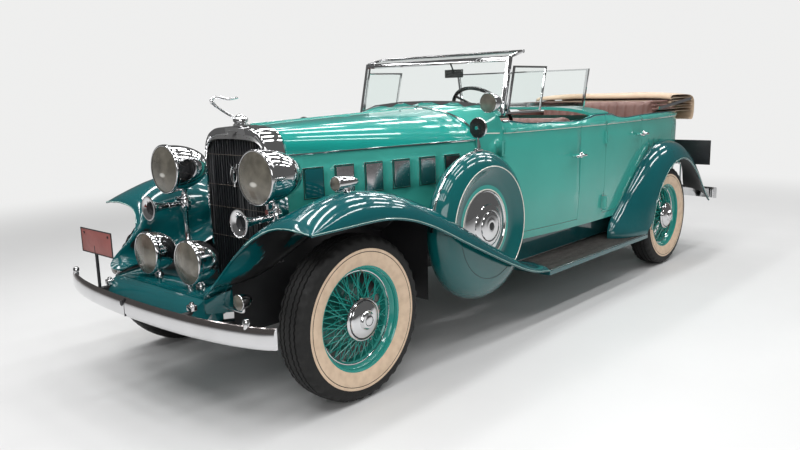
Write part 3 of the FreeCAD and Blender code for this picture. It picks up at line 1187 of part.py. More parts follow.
def body_solid(inset, reach, lift):
    """The space inside the body's outer face, drawn in by an inset."""
    wires = []
    for up, share in BODY_LEVEL_SHARES:
        z = BODY_BASE_Z + (BELT_Z - BODY_BASE_Z) * up + (lift if up > 1 else -lift if up == 0 else 0)
        points = body_points(BODY_TUCK * share, inset, reach)
        line = [vec(x, y, z) for x, y in points]
        line += [vec(-x, y, z) for x, y in points[-2::-1]]
        wires.append(Part.Wire([spline(line), Part.LineSegment(line[-1], line[0]).toShape()]))
    return Part.makeLoft(wires, True, True)


def belt_ring():
    """The moulding round the body at its belt."""
    solids = []
    for inset in (-BELT_LIP, PANEL / 2):
        points = body_points(0, inset, 0 if inset < 0 else OVERRUN)
        line = [vec(x, y, BELT_Z - BELT_HEIGHT / 2) for x, y in points]
        line += [vec(-x, y, BELT_Z - BELT_HEIGHT / 2) for x, y in points[-2::-1]]
        wire = Part.Wire([spline(line), Part.LineSegment(line[-1], line[0]).toShape()])
        solids.append(Part.Face(wire).extrude(vec(0, 0, BELT_HEIGHT)))
    return solids[0].cut(solids[1])


def above_sides():
    """The space above the doors' and body's top edge."""
    drop = BODY_TOP_Z - SHUT_GAP - DOOR_TOP_Z
    line = [vec(-2 * BODY_HALF_WIDTH, station(DOOR_FRONT + (BODY_END - DOOR_FRONT) * along),
                DOOR_TOP_Z + drop * up) for along, up in SIDE_TOP_SHARES]
    line[0] = line[0] - vec(0, SHUT_GAP, 0)
    line[-1] = line[-1] + vec(0, 2 * PANEL, 0)
    over = 2 * BODY_TOP_Z
    corners = [line[-1], vec(line[-1].x, line[-1].y, over), vec(line[0].x, line[0].y, over), line[0]]
    edges = [spline(line)] + [Part.LineSegment(a, b).toShape() for a, b in zip(corners, corners[1:])]
    return Part.Face(Part.Wire(edges)).extrude(vec(4 * BODY_HALF_WIDTH, 0, 0))


def joint_line(margin):
    """The line (y, z) where the rear fender meets the body, moved outward by a margin."""
    line = [(station(REAR_FENDER_START + REAR_FENDER_LENGTH * along), REAR_CROWN_Z * up)
            for along, up in REAR_JOINT_SHARES]
    return offset_line(line, margin) if margin else line


def door_space(first, last, room):
    """The side view of a door opening from first to last, narrowed by room."""
    sill = BODY_BASE_Z + SILL_HEIGHT
    y0 = station(first) + room
    y1 = station(last) - room
    outline = [(y0, 2 * BODY_TOP_Z), (y0, sill + room)]
    cut_line = joint_line(SHEET + SHUT_GAP + room)
    low = [(y, z) for y, z in cut_line if z > sill + room and y < y1]
    if low and low[0][0] < y1:
        start = crossing(cut_line, sill + room)
        outline.append((start, sill + room))
        outline += low
        outline.append((y1, level_at(cut_line, y1)))
    else:
        outline.append((y1, sill + room))
    outline.append((y1, 2 * BODY_TOP_Z))
    return plate_yz(outline, 0, 2 * BODY_HALF_WIDTH)


def crossing(line, level):
    """The y where a rising line first reaches a level."""
    for (y0, z0), (y1, z1) in zip(line, line[1:]):
        if z0 <= level <= z1:
            return y0 + (y1 - y0) * (level - z0) / (z1 - z0)
    return line[0][0]


def body_parts():
    """The tub and the two left doors."""
    wall = body_solid(0, 0, 0).cut(body_solid(PANEL, OVERRUN, OVERRUN)).fuse(belt_ring())
    wall = wall.cut(above_sides())
    arch = disc(vec(0, REAR_AXLE_Y, TYRE_RADIUS), vec(1, 0, 0), ARCH_RADIUS + SHEET + SHUT_GAP,
                2 * BODY_HALF_WIDTH)
    doors = []
    tub = wall
    for first, last, handle_z in ((DOOR_FRONT, DOOR_FRONT_REAR, HANDLE_Z),
                                  (DOOR_REAR_FRONT, DOOR_REAR_REAR, REAR_HANDLE_Z)):
        opening = door_space(first, last, 0)
        tub = tub.cut(opening).cut(mirrored(opening))
        panel = largest(wall.common(door_space(first, last, SHUT_GAP / 2)).cut(arch))
        doors.append(door_with_fittings(panel, first, last, handle_z))
    inner = body_solid(PANEL - SHEET, 0, OVERRUN)
    floor_front = inner.common(block(-BODY_HALF_WIDTH, BODY_HALF_WIDTH, station(COWL_REAR), station(HEEL_Y),
                                     FLOOR_Z, FLOOR_Z + FLOOR_SHEET))
    heel = inner.common(block(-BODY_HALF_WIDTH, BODY_HALF_WIDTH, station(HEEL_Y), station(HEEL_Y) + FLOOR_SHEET,
                              FLOOR_Z, REAR_FLOOR_Z + FLOOR_SHEET))
    floor_rear = inner.common(block(-BODY_HALF_WIDTH, BODY_HALF_WIDTH, station(HEEL_Y), REAR_Y,
                                    REAR_FLOOR_Z, REAR_FLOOR_Z + FLOOR_SHEET))
    clear = body_solid(PANEL + 2 * SHUT_GAP, 0, OVERRUN)
    pillar = inner.common(block(-BODY_HALF_WIDTH, BODY_HALF_WIDTH, station(DOOR_FRONT_REAR) + SHUT_GAP,
                                station(DOOR_REAR_FRONT) - SHUT_GAP, FLOOR_Z, FLOOR_Z + FLOOR_SHEET))
    floor_front = floor_front.common(clear).fuse(pillar)
    heel = heel.common(clear)
    beside_doors = block(-BODY_HALF_WIDTH, BODY_HALF_WIDTH, station(HEEL_Y) - OVERRUN,
                         station(DOOR_REAR_REAR) + SHUT_GAP, 0, BELT_Z).cut(clear)
    floor_rear = floor_rear.cut(beside_doors)
    toe_y = station(HOOD_REAR) + HOOD_SHUT + FIREWALL_DEPTH + FIT
    toe_x = COWL_HALF_WIDTH - 2 * PANEL
    heel_x = COWL_REAR_HALF_WIDTH - 2 * PANEL
    toe_board = plate_xy([(-toe_x, toe_y), (toe_x, toe_y), (heel_x, station(COWL_REAR) + SHUT_GAP),
                          (-heel_x, station(COWL_REAR) + SHUT_GAP)], FLOOR_Z, FLOOR_Z + FLOOR_SHEET)
    wide = GEARBOX_HALF + 2 * SHUT_GAP
    tunnel_end = station(ENGINE_START + ENGINE_LENGTH + GEARBOX_LENGTH) + 2 * SHUT_GAP
    tunnel_top = ENGINE_BASE_Z + GEARBOX_HEIGHT + 2 * SHUT_GAP
    cover = block(-wide - TUNNEL_WALL, wide + TUNNEL_WALL, toe_y, tunnel_end + TUNNEL_WALL, FLOOR_Z,
                  tunnel_top + TUNNEL_WALL)
    tub = fused([tub, toe_board, floor_front, heel, floor_rear, cover])
    tub = tub.cut(block(-wide, wide, toe_y - OVERRUN, tunnel_end, 0, tunnel_top))
    rail_room = block(RAIL_INNER_X - SHUT_GAP, RAIL_INNER_X + RAIL_WIDTH + 2 * SHUT_GAP,
                      station(BODY_END) - 4 * PANEL, REAR_Y, 0, RAIL_TOP_Z + RAIL_KICK * RAIL_ROOM_SHARE)
    tub = tub.cut(rail_room).cut(mirrored(rail_room))
    for side in (1, -1):
        ends = sorted((side * ARCH_INNER_X, side * 2 * BODY_HALF_WIDTH))
        tub = tub.cut(disc(vec((ends[0] + ends[1]) / 2, REAR_AXLE_Y, TYRE_RADIUS), vec(1, 0, 0), ARCH_RADIUS,
                           (ends[1] - ends[0]) / 2))
    drum = Part.makeCylinder(ARCH_RADIUS + SHEET, BODY_HALF_WIDTH - PANEL / 2 - ARCH_INNER_X + SHEET,
                             vec(ARCH_INNER_X - SHEET, REAR_AXLE_Y, TYRE_RADIUS), vec(1, 0, 0))
    hollow = Part.makeCylinder(ARCH_RADIUS, BODY_HALF_WIDTH, vec(ARCH_INNER_X, REAR_AXLE_Y, TYRE_RADIUS),
                               vec(1, 0, 0))
    liner = drum.cut(hollow).common(body_solid(PANEL / 2, 0, 0))
    posts = hinge_posts(DOOR_REAR_FRONT)
    return largest(fused([tub, liner, mirrored(liner), posts, mirrored(posts)])), doors[0], doors[1]


def largest(shape):
    """The largest solid of a shape."""
    return max(shape.Solids, key=lambda solid: solid.Volume)


def door_with_fittings(panel, first, last, handle_z):
    """A door with its outside hinges and handle."""
    x = hinge_x(first)
    y = station(first) + HINGE_OFFSET
    reach = HINGE_LUG + YOKE_GAP
    for level in hinge_levels():
        panel = panel.cut(Part.makeCylinder(HINGE_RADIUS + YOKE_GAP, HINGE_HEIGHT + 2 * reach,
                                            vec(x, y, level - reach), vec(0, 0, 1)))
    pieces = [panel]
    for level in hinge_levels():
        pieces.append(Part.makeCylinder(HINGE_RADIUS, HINGE_HEIGHT, vec(x, y, level), vec(0, 0, 1)))
        pieces.append(block(x - PANEL, x, station(first) + SHUT_GAP / 2, y + HINGE_RADIUS, level,
                            level + HINGE_HEIGHT))
    handle_y = station(last) - HANDLE_INSET
    handle_x = half_width_at(last - HANDLE_INSET)
    knob = vec(handle_x + HANDLE_STANDOFF, handle_y, handle_z)
    stem = rod(vec(handle_x - PANEL / 2, handle_y, handle_z), knob, HANDLE_RADIUS)
    grip = Part.makeSphere(HANDLE_RADIUS * HANDLE_KNOB_SHARE, knob)
    lever = Part.makeCone(HANDLE_RADIUS * HANDLE_ROOT_SHARE, HANDLE_RADIUS * HANDLE_TIP_SHARE, HANDLE_LENGTH,
                          knob, vec(0, -1, 0))
    door = fused(pieces + [stem, grip, lever])
    return door.cut(Part.makeCylinder(HINGE_PIN_RADIUS + FIT, BODY_TOP_Z, vec(x, y, 0), vec(0, 0, 1)))


def hinge_levels():
    """The heights of a door's hinges, at their lower ends."""
    return BODY_BASE_Z + 2 * SILL_HEIGHT, BELT_Z - 2 * HINGE_HEIGHT


def hinge_posts(first):
    """The fixed halves of a left door's hinges: a leaf with two lugs that hold the pin."""
    x = hinge_x(first)
    y = station(first) + HINGE_OFFSET
    pieces = []
    for level in hinge_levels():
        pieces.append(Part.makeCylinder(HINGE_PIN_RADIUS, HINGE_HEIGHT + 2 * HINGE_LUG,
                                        vec(x, y, level - HINGE_LUG), vec(0, 0, 1)))
        pieces.append(block(x - PANEL, x + HINGE_RADIUS, station(first) - HINGE_LEAF, station(first) - SHUT_GAP,
                            level - HINGE_LUG, level + HINGE_HEIGHT + HINGE_LUG))
        for base in (level - HINGE_LUG, level + HINGE_HEIGHT + YOKE_GAP):
            pieces.append(block(x - HINGE_RADIUS / 4, x + HINGE_RADIUS, station(first) - HINGE_LEAF / 2, y,
                                base, base + HINGE_LUG - YOKE_GAP))
            pieces.append(Part.makeCylinder(HINGE_RADIUS, HINGE_LUG - YOKE_GAP, vec(x, y, base), vec(0, 0, 1)))
    return fused(pieces)


def half_width_at(distance):
    """The body's half width at a distance behind the front axle."""
    share = (distance - DOOR_FRONT) / (BODY_END - DOOR_FRONT)
    return BODY_HALF_WIDTH * level_at([(a, b) for a, b in BODY_PLAN_SHARES], share)


def hinge_x(first):
    """The x of a door's hinge line, just outside its front edge."""
    return half_width_at(first) + HINGE_RADIUS


def partition():
    """The body-coloured cowl behind the front seat, on its bulkhead."""
    start = station(PARTITION_START)
    end = start + PARTITION_DEPTH
    rise = PARTITION_TOP_Z
    points = [(BODY_HALF_WIDTH * out, rise * up) for out, up in PARTITION_SHARES]
    line = [vec(-x, start, z) for x, z in points[:0:-1]] + [vec(x, start, z) for x, z in points]
    under = [vec(p.x, p.y, p.z - PARTITION_SHEET) for p in line]
    wire = Part.Wire([spline(line), Part.LineSegment(line[-1], under[-1]).toShape(), spline(under[::-1]),
                      Part.LineSegment(under[0], line[0]).toShape()])
    top = Part.Face(wire).extrude(vec(0, PARTITION_DEPTH, 0))
    board = block(-BODY_HALF_WIDTH, BODY_HALF_WIDTH, end - 2 * PARTITION_SHEET, end - PARTITION_SHEET,
                  FLOOR_Z + FLOOR_SHEET + FIT, rise * PARTITION_SHARES[-1][1])
    inside = body_solid(PANEL + SHUT_GAP, OVERRUN, OVERRUN)
    return fused([top, board]).common(inside)


def front_fender():
    """The left front fender: a swept crown, its apron down to the frame and the spare's well."""
    grid = []
    (x0, y0), (x1, y1) = splash_line()
    for along, reach, crown, edge, inner_x, inner_z in FRONT_STATION_SHARES:
        y = station(-FRONT_FENDER_LEAD + FRONT_FENDER_LENGTH * along)
        crown_z = FRONT_CROWN_Z * crown
        edge_z = FRONT_CROWN_Z * edge
        start = vec(FENDER_EDGE_X * inner_x, y - FRONT_FENDER_LENGTH * reach, FRONT_CROWN_Z * inner_z)
        start.x = max(start.x, x0 + (x1 - x0) * (start.y - y0) / (y1 - y0) + SHEET)
        row = []
        nose = max(0, 1 - along / NOSE_LENGTH_SHARE)
        for (across, up), (nose_across, nose_up) in zip(SECTION_IN_SHARES, NOSE_IN_SHARES):
            across += (nose_across - across) * nose
            up += (nose_up - up) * nose
            row.append(vec(start.x + (FRONT_CROWN_X - start.x) * across,
                           start.y + (y - start.y) * min(1, across * SWEEP_SHARE),
                           start.z + (crown_z - start.z) * up))
        row.append(vec(FRONT_CROWN_X, y, crown_z))
        for across, up in SECTION_OUT_SHARES:
            row.append(vec(FRONT_CROWN_X + (FENDER_EDGE_X - FRONT_CROWN_X) * across, y,
                           edge_z + (crown_z - edge_z) * up))
        grid.append(row)
    sheet = skin(grid, SHEET)
    well = Part.makeCylinder(SPARE_RADIUS + WELL_ROOM, SPARE_OUTER_X - SPARE_INNER_X + 2 * WELL_ROOM,
                             vec(SPARE_INNER_X - WELL_ROOM, station(SPARE_Y), SPARE_Z), vec(1, 0, 0))
    return sheet.cut(well)


def rear_fender():
    """The left rear fender from the running board over the wheel to its tail."""
    grid = []
    for (along, up), (out_along, out_up), inner in zip(REAR_JOINT_SHARES, REAR_EDGE_SHARES,
                                                       REAR_INNER_X_SHARES):
        start = vec(FENDER_EDGE_X * inner, station(REAR_FENDER_START + REAR_FENDER_LENGTH * along),
                    REAR_CROWN_Z * up)
        end = vec(FENDER_EDGE_X, station(REAR_FENDER_START + REAR_FENDER_LENGTH * out_along),
                  REAR_CROWN_Z * out_up)
        grid.append([start + vec((end.x - start.x) * across, (end.y - start.y) * down,
                                 (end.z - start.z) * down) for across, down in REAR_SECTION_SHARES])
    return skin(grid, SHEET)


def running_board():
    """The left running board with its ribs and the apron up to the body."""
    y0 = station(BOARD_START)
    y1 = station(BOARD_END)
    board = block(BOARD_INNER_X, FENDER_EDGE_X, y0, y1, BOARD_TOP_Z - BOARD_THICKNESS, BOARD_TOP_Z)
    apron = block(BOARD_APRON_X, BOARD_INNER_X, y0, y1, BOARD_TOP_Z - BOARD_THICKNESS, BOARD_APRON_TOP_Z)
    pieces = [board, apron]
    pitch = (FENDER_EDGE_X - BOARD_INNER_X) / (BOARD_RIBS + 1)
    for index in range(1, BOARD_RIBS + 1):
        x = BOARD_INNER_X + pitch * index
        pieces.append(block(x - pitch / 4, x + pitch / 4, y0 + pitch, y1 - pitch, BOARD_TOP_Z,
                            BOARD_TOP_Z + BOARD_RIB))
    rail_x = RAIL_INNER_X + RAIL_WIDTH + FIT
    base = BOARD_TOP_Z - BOARD_THICKNESS
    rail_z = RAIL_TOP_Z - RAIL_DEPTH / 2
    arm = [(rail_x, rail_z), (rail_x, rail_z - 2 * BRACKET_DEPTH), (BOARD_APRON_X, base - BRACKET_DEPTH),
           (FENDER_EDGE_X - 2 * BRACKET_WIDTH, base - BRACKET_DEPTH / 2), (FENDER_EDGE_X - 2 * BRACKET_WIDTH, base),
           (BOARD_INNER_X, base), (BOARD_APRON_X, base + BOARD_THICKNESS)]
    for share in BOARD_BRACKET_SHARES:
        y = y0 + (y1 - y0) * share
        pieces.append(plate_xz(arm, y - BRACKET_WIDTH / 2, y + BRACKET_WIDTH / 2))
    return fused(pieces)


def spare():
    """A spare in its metal cover, about the x axis, on its carrier."""
    depth = SPARE_OUTER_X - SPARE_INNER_X
    outline = [(depth * along, SPARE_RADIUS * out) for along, out in SPARE_CROWN_SHARES]
    outline += [(depth - SPARE_DISH * deep, SPARE_DISH_RADIUS * out) for deep, out in SPARE_FACE_SHARES]
    return turned(outline + [(0, 0)], vec(SPARE_INNER_X, station(SPARE_Y), SPARE_Z), vec(1, 0, 0))


def spare_carrier():
    """The left carrier arm between the splash panel and the spare."""
    start = vec(RAIL_INNER_X + RAIL_WIDTH, station(SPARE_Y), SPARE_Z)
    arm = rod(start, vec(SPARE_INNER_X, start.y, SPARE_Z), CARRIER_RADIUS)
    return largest(arm.cut(slab_inside_splash()))


def slab_inside_splash():
    """The space inboard of the splash panel's outer face."""
    (x0, y0), (x1, y1) = splash_line()
    return plate_xy([(0, y0), (x0 + FIT, y0), (x1 + FIT, y1), (0, y1)], 0, HOOD_BASE_Z)


def bumper(face_y, bow, z, rearward):
    """A bowed bumper bar with a crowned face and turned-back ends."""
    lines = []
    for inset in (0, BUMPER_THICKNESS):
        points = [vec(BUMPER_HALF_WIDTH * out - inset * (out > BUMPER_END_SHARE),
                      face_y - rearward * (bow * back + inset),
                      z - BUMPER_HEIGHT / 2) for out, back in BUMPER_PLAN_SHARES]
        lines.append([vec(-p.x, p.y, p.z) for p in points[:0:-1]] + points)
    outer, inner = lines
    wire = Part.Wire([spline(outer), Part.LineSegment(outer[-1], inner[-1]).toShape(), spline(inner[::-1]),
                      Part.LineSegment(inner[0], outer[0]).toShape()])
    return Part.Face(wire).extrude(vec(0, 0, BUMPER_HEIGHT))


def front_bumper():
    """The front bumper on its two irons."""
    bar = bumper(FRONT_Y, BUMPER_BOW, BUMPER_Z, -1)
    x = RAIL_INNER_X + RAIL_WIDTH / 2
    horn = station(-HORN_LEAD) - FIT
    low = HORN_Z - HORN_DEPTH / 2
    pieces = [bar]
    for side in (-x, x):
        pieces.append(block(side - BUMPER_IRON_WIDTH / 2, side + BUMPER_IRON_WIDTH / 2,
                            FRONT_Y + BUMPER_THICKNESS / 2, horn, low, low + BUMPER_IRON_HEIGHT / 2))
    return fused(pieces)


def rear_bumper():
    """The rear bumper on its two irons."""
    bar = bumper(REAR_Y, BUMPER_BOW * REAR_BOW_SHARE, REAR_BUMPER_Z, 1)
    x = RAIL_INNER_X + RAIL_WIDTH / 2
    tail = station(WHEELBASE + RAIL_TAIL) + FIT
    top = RAIL_TOP_Z + RAIL_KICK * REAR_IRON_SHARE
    end = REAR_Y - BUMPER_THICKNESS / 2
    pieces = [bar]
    for side in (-x, x):
        pieces.append(plate_yz([(tail, top), (tail, top - BUMPER_IRON_HEIGHT),
                                (end, REAR_BUMPER_Z - BUMPER_IRON_HEIGHT / 2),
                                (end, REAR_BUMPER_Z + BUMPER_IRON_HEIGHT / 2)],
                               side - BUMPER_IRON_WIDTH / 2, side + BUMPER_IRON_WIDTH / 2))
    return fused(pieces)


def front_apron():
    """The sheet between the frame horns in front of the radiator."""
    line = [(-SHELL_LEAD - FIT, SHELL_BASE_Z), (-HORN_LEAD * APRON_DIP_SHARE, RAIL_TOP_Z - HORN_DEPTH / 2),
            (-HORN_LEAD * APRON_FLAT_SHARE, RAIL_TOP_Z + FIT), (-HORN_LEAD, RAIL_TOP_Z + FIT)]
    points = [(station(y), z) for y, z in line]
    upper = [(y, z + APRON_SHEET) for y, z in points]
    return plate_yz(points + upper[::-1], -RAIL_INNER_X + FIT, RAIL_INNER_X - FIT)


def plate(x, y, z, width, height, spacing):
    """A blank plate standing across the car, two bolt holes near its top edge."""
    sheet = block(x - width / 2, x + width / 2, y, y + PLATE_THICKNESS, z - height / 2, z + height / 2)
    for side in (-1, 1):
        hole = vec(x + side * spacing / 2, y - OVERRUN, z + height / 2 - PLATE_HOLE_DROP)
        sheet = sheet.cut(Part.makeCylinder(PLATE_HOLE_RADIUS, 2 * OVERRUN, hole, vec(0, 1, 0)))
    return sheet


def number_plates():
    """The blank front plate on a post from the bumper's right iron, and the blank rear plate."""
    y = FRONT_Y + FRONT_PLATE_SETBACK
    iron_x = -(RAIL_INNER_X + RAIL_WIDTH / 2)
    iron_top = HORN_Z - HORN_DEPTH / 2 + BUMPER_IRON_HEIGHT / 2 + FIT
    front = plate(FRONT_PLATE_X, y, FRONT_PLATE_Z, FRONT_PLATE_WIDTH, FRONT_PLATE_HEIGHT, FRONT_PLATE_HOLES)
    post = rod(vec(iron_x, y + PLATE_THICKNESS, iron_top), vec(iron_x, y + PLATE_THICKNESS, FRONT_PLATE_Z),
               PLATE_POST_RADIUS)
    rear = plate(REAR_PLATE_X, station(REAR_PLATE_Y), REAR_PLATE_Z, REAR_PLATE_WIDTH, REAR_PLATE_HEIGHT,
                 REAR_PLATE_HOLES)
    return [fused([front, post]), rear]


def tail_lamps():
    """The two tail lamps on stems from the frame's tail, the left one carrying the plate."""
    lamps = []
    for side in (-1, 1):
        x = side * TAIL_LAMP_X
        y = station(REAR_PLATE_Y) - FIT
        centre = vec(x, y - TAIL_LAMP_LENGTH, TAIL_LAMP_Z)
        outline = [(TAIL_LAMP_LENGTH * along, TAIL_LAMP_RADIUS * out) for along, out in TAIL_LAMP_SHARES]
        shell = turned(outline, centre, vec(0, 1, 0))
        foot = vec(side * (RAIL_INNER_X + RAIL_WIDTH + FIT), y - TAIL_LAMP_LENGTH / 2, RAIL_TOP_Z + HORN_DEPTH / 4)
        top = vec(x, y - TAIL_LAMP_LENGTH / 2, TAIL_LAMP_Z)
        stem = bent_bar([foot, vec(x, foot.y, foot.z), top], PLATE_POST_RADIUS, 3 * PLATE_POST_RADIUS)
        lamps.append(fused([shell, stem]))
    return lamps


def lamp_shell(centre, radius, length, rim, axis):
    """A bullet lamp with its domed lens at the centre point, its tail along the axis."""
    outline = [(rim * along, radius * out) for along, out in LENS_SHARES]
    outline += [(length * along, radius * out) for along, out in BULLET_SHARES]
    return turned(outline, centre, axis)


def headlamp(fender):
    """The left headlamp on its stanchion, which stands on the fender's apron."""
    lens = station(-HEADLAMP_LEAD)
    shell = lamp_shell(vec(HEADLAMP_X, lens, HEADLAMP_Z), HEADLAMP_RADIUS, HEADLAMP_LENGTH, HEADLAMP_RIM,
                       vec(0, 1, 0))
    post_y = station(-LAMP_BAR_LEAD)
    foot = Part.makeCone(STANCHION_RADIUS * STANCHION_FOOT_SHARE, STANCHION_RADIUS * STANCHION_TOP_SHARE,
                         HEADLAMP_Z - RAIL_TOP_Z, vec(HEADLAMP_X, post_y, RAIL_TOP_Z), vec(0, 0, 1))
    knob = Part.makeSphere(STANCHION_RADIUS * 2, vec(HEADLAMP_X, post_y, LAMP_BAR_Z))
    return largest(fused([shell, foot, knob]).cut(fender))


def driving_lamps():
    """The two driving lamps on stems from the front apron."""
    lamps = []
    for side in (-1, 1):
        lens = station(-FOG_LEAD)
        shell = lamp_shell(vec(side * FOG_X, lens, FOG_Z), FOG_RADIUS, FOG_LENGTH, HEADLAMP_RIM, vec(0, 1, 0))
        stem_y = lens + FOG_LENGTH * LAMP_STEM_SHARE
        foot = vec(side * FOG_X, stem_y, RAIL_TOP_Z + APRON_SHEET + 2 * FIT)
        stem = rod(foot, vec(foot.x, stem_y, FOG_Z), FOG_STEM_RADIUS)
        base = Part.makeCone(FOG_STEM_RADIUS * FOG_FOOT_SHARE, FOG_STEM_RADIUS, FOG_STEM_RADIUS * 2, foot,
                             vec(0, 0, 1))
        lamps.append(fused([shell, stem, base]))
    return lamps


def signal_lamps():
    """The two small lamps on arms from the frame horns."""
    lamps = []
    for side in (-1, 1):
        lens = station(-AUX_LEAD)
        shell = lamp_shell(vec(side * AUX_X, lens, AUX_Z), AUX_RADIUS, AUX_LENGTH, HEADLAMP_RIM / 3, vec(0, 1, 0))
        arm_z = HORN_Z
        y = lens + AUX_LENGTH * LAMP_STEM_SHARE
        arm = bent_bar([vec(side * (RAIL_INNER_X + RAIL_WIDTH + FIT), y, arm_z - AUX_RADIUS / 2),
                        vec(side * AUX_X, y, arm_z - AUX_RADIUS / 2), vec(side * AUX_X, y, AUX_Z)],
                       PLATE_POST_RADIUS, 2 * PLATE_POST_RADIUS)
        lamps.append(fused([shell, arm]))
    return lamps


def fender_lamp(fender):
    """The left bullet lamp on the fender's crown."""
    lens = station(FENDER_LAMP_OFFSET) - FENDER_LAMP_LENGTH / 2
    shell = lamp_shell(vec(FENDER_LAMP_X, lens, FENDER_LAMP_Z), FENDER_LAMP_RADIUS, FENDER_LAMP_LENGTH,
                       HEADLAMP_RIM / 3, vec(0, 1, 0))
    foot = rod(vec(FENDER_LAMP_X, station(FENDER_LAMP_OFFSET), FRONT_CROWN_Z - SHEET),
               vec(FENDER_LAMP_X, station(FENDER_LAMP_OFFSET), FENDER_LAMP_Z), FENDER_LAMP_RADIUS / 2)
    return largest(fused([shell, foot]).cut(fender))


def horn():
    """The left trumpet horn, its tube ending at the headlamp's stanchion."""
    start = station(-HORN_LAMP_LEAD)
    length = HORN_LAMP_LEAD - LAMP_BAR_LEAD - 2 * STANCHION_RADIUS - FIT
    bell = HORN_BELL_RADIUS
    outline = [(length * along, bell * out) for along, out in HORN_OUTER_SHARES]
    outline += [(length * HORN_THROAT_SHARE, HORN_PIPE_RADIUS), (length, HORN_PIPE_RADIUS), (length, 0)]
    outline += [(length * along, bell * out) for along, out in HORN_INNER_SHARES]
    return turned(outline, vec(HORN_X, start, HORN_PIPE_Z), vec(0, 1, 0))


def spotlight():
    """The spotlight on its bracket from the left windscreen post."""
    y = station(SPOT_Y)
    shell = lamp_shell(vec(SPOT_X, y, SPOT_Z), SPOT_RADIUS, SPOT_LENGTH, HEADLAMP_RIM / 2, vec(0, 1, 0))
    post_y = station(POST_BASE_Y) + (SPOT_Z - POST_BASE_Z) * (POST_TOP_Y - POST_BASE_Y) / (POST_TOP_Z - POST_BASE_Z)
    stem = rod(vec(SPOT_X, y + SPOT_LENGTH * SPOT_ARM_SHARE, SPOT_Z), vec(POST_X, post_y, SPOT_Z), FOG_STEM_RADIUS)
    return fused([shell, stem])


def side_mirror():
    """The round mirror strapped on the left spare."""
    y = station(MIRROR_Y)
    x = (SPARE_INNER_X + SPARE_OUTER_X) / 2
    head = disc(vec(x, y, MIRROR_Z), vec(0, 1, 0), MIRROR_RADIUS, MIRROR_THICKNESS / 2)
    foot_z = SPARE_Z + SPARE_RADIUS
    stem = rod(vec(x, y, foot_z + SHEET / 2), vec(x, y, MIRROR_Z), MIRROR_STEM_RADIUS)
    centre = vec(x - MIRROR_RADIUS / 2, station(SPARE_Y), SPARE_Z)
    outer = Part.makeCylinder(SPARE_RADIUS + SHEET, MIRROR_RADIUS, centre, vec(1, 0, 0))
    inner = Part.makeCylinder(SPARE_RADIUS + FIT, MIRROR_RADIUS, centre, vec(1, 0, 0))
    wedge = block(0, BODY_HALF_WIDTH * 2, y - MIRROR_RADIUS * 2, y + MIRROR_RADIUS * 2, SPARE_Z,
                  SPARE_Z + 2 * SPARE_RADIUS)
    strap = outer.cut(inner).common(wedge)
    return fused([head, stem, strap])


def inner_mirror():
    """The mirror hung from the windscreen's header."""
    header_y = station(POST_TOP_Y)
    x = INNER_MIRROR_X
    low = POST_TOP_Z - FRAME_BAR - INNER_MIRROR_HEIGHT
    plate = block(x - INNER_MIRROR_WIDTH / 2, x + INNER_MIRROR_WIDTH / 2, header_y + MIRROR_THICKNESS * 2,
                  header_y + MIRROR_THICKNESS * 3, low - INNER_MIRROR_HEIGHT / 2, low + INNER_MIRROR_HEIGHT / 2)
    arm = rod(vec(x, header_y + MIRROR_THICKNESS * MIRROR_ARM_SHARE, low),
              vec(x, header_y, POST_TOP_Z - FRAME_BAR / 2),
              MIRROR_STEM_RADIUS)
    return fused([plate, arm])


def raked(shape):
    """A piece built upright at the posts' foot, laid back to the posts' rake."""
    run = POST_TOP_Y - POST_BASE_Y
    rise = POST_TOP_Z - POST_BASE_Z
    return shape.rotated(vec(0, station(POST_BASE_Y), POST_BASE_Z), vec(1, 0, 0),
                         -math.degrees(math.atan2(run, rise)))


def post_length():
    """The length of a windscreen post along its rake."""
    return math.hypot(POST_TOP_Y - POST_BASE_Y, POST_TOP_Z - POST_BASE_Z)


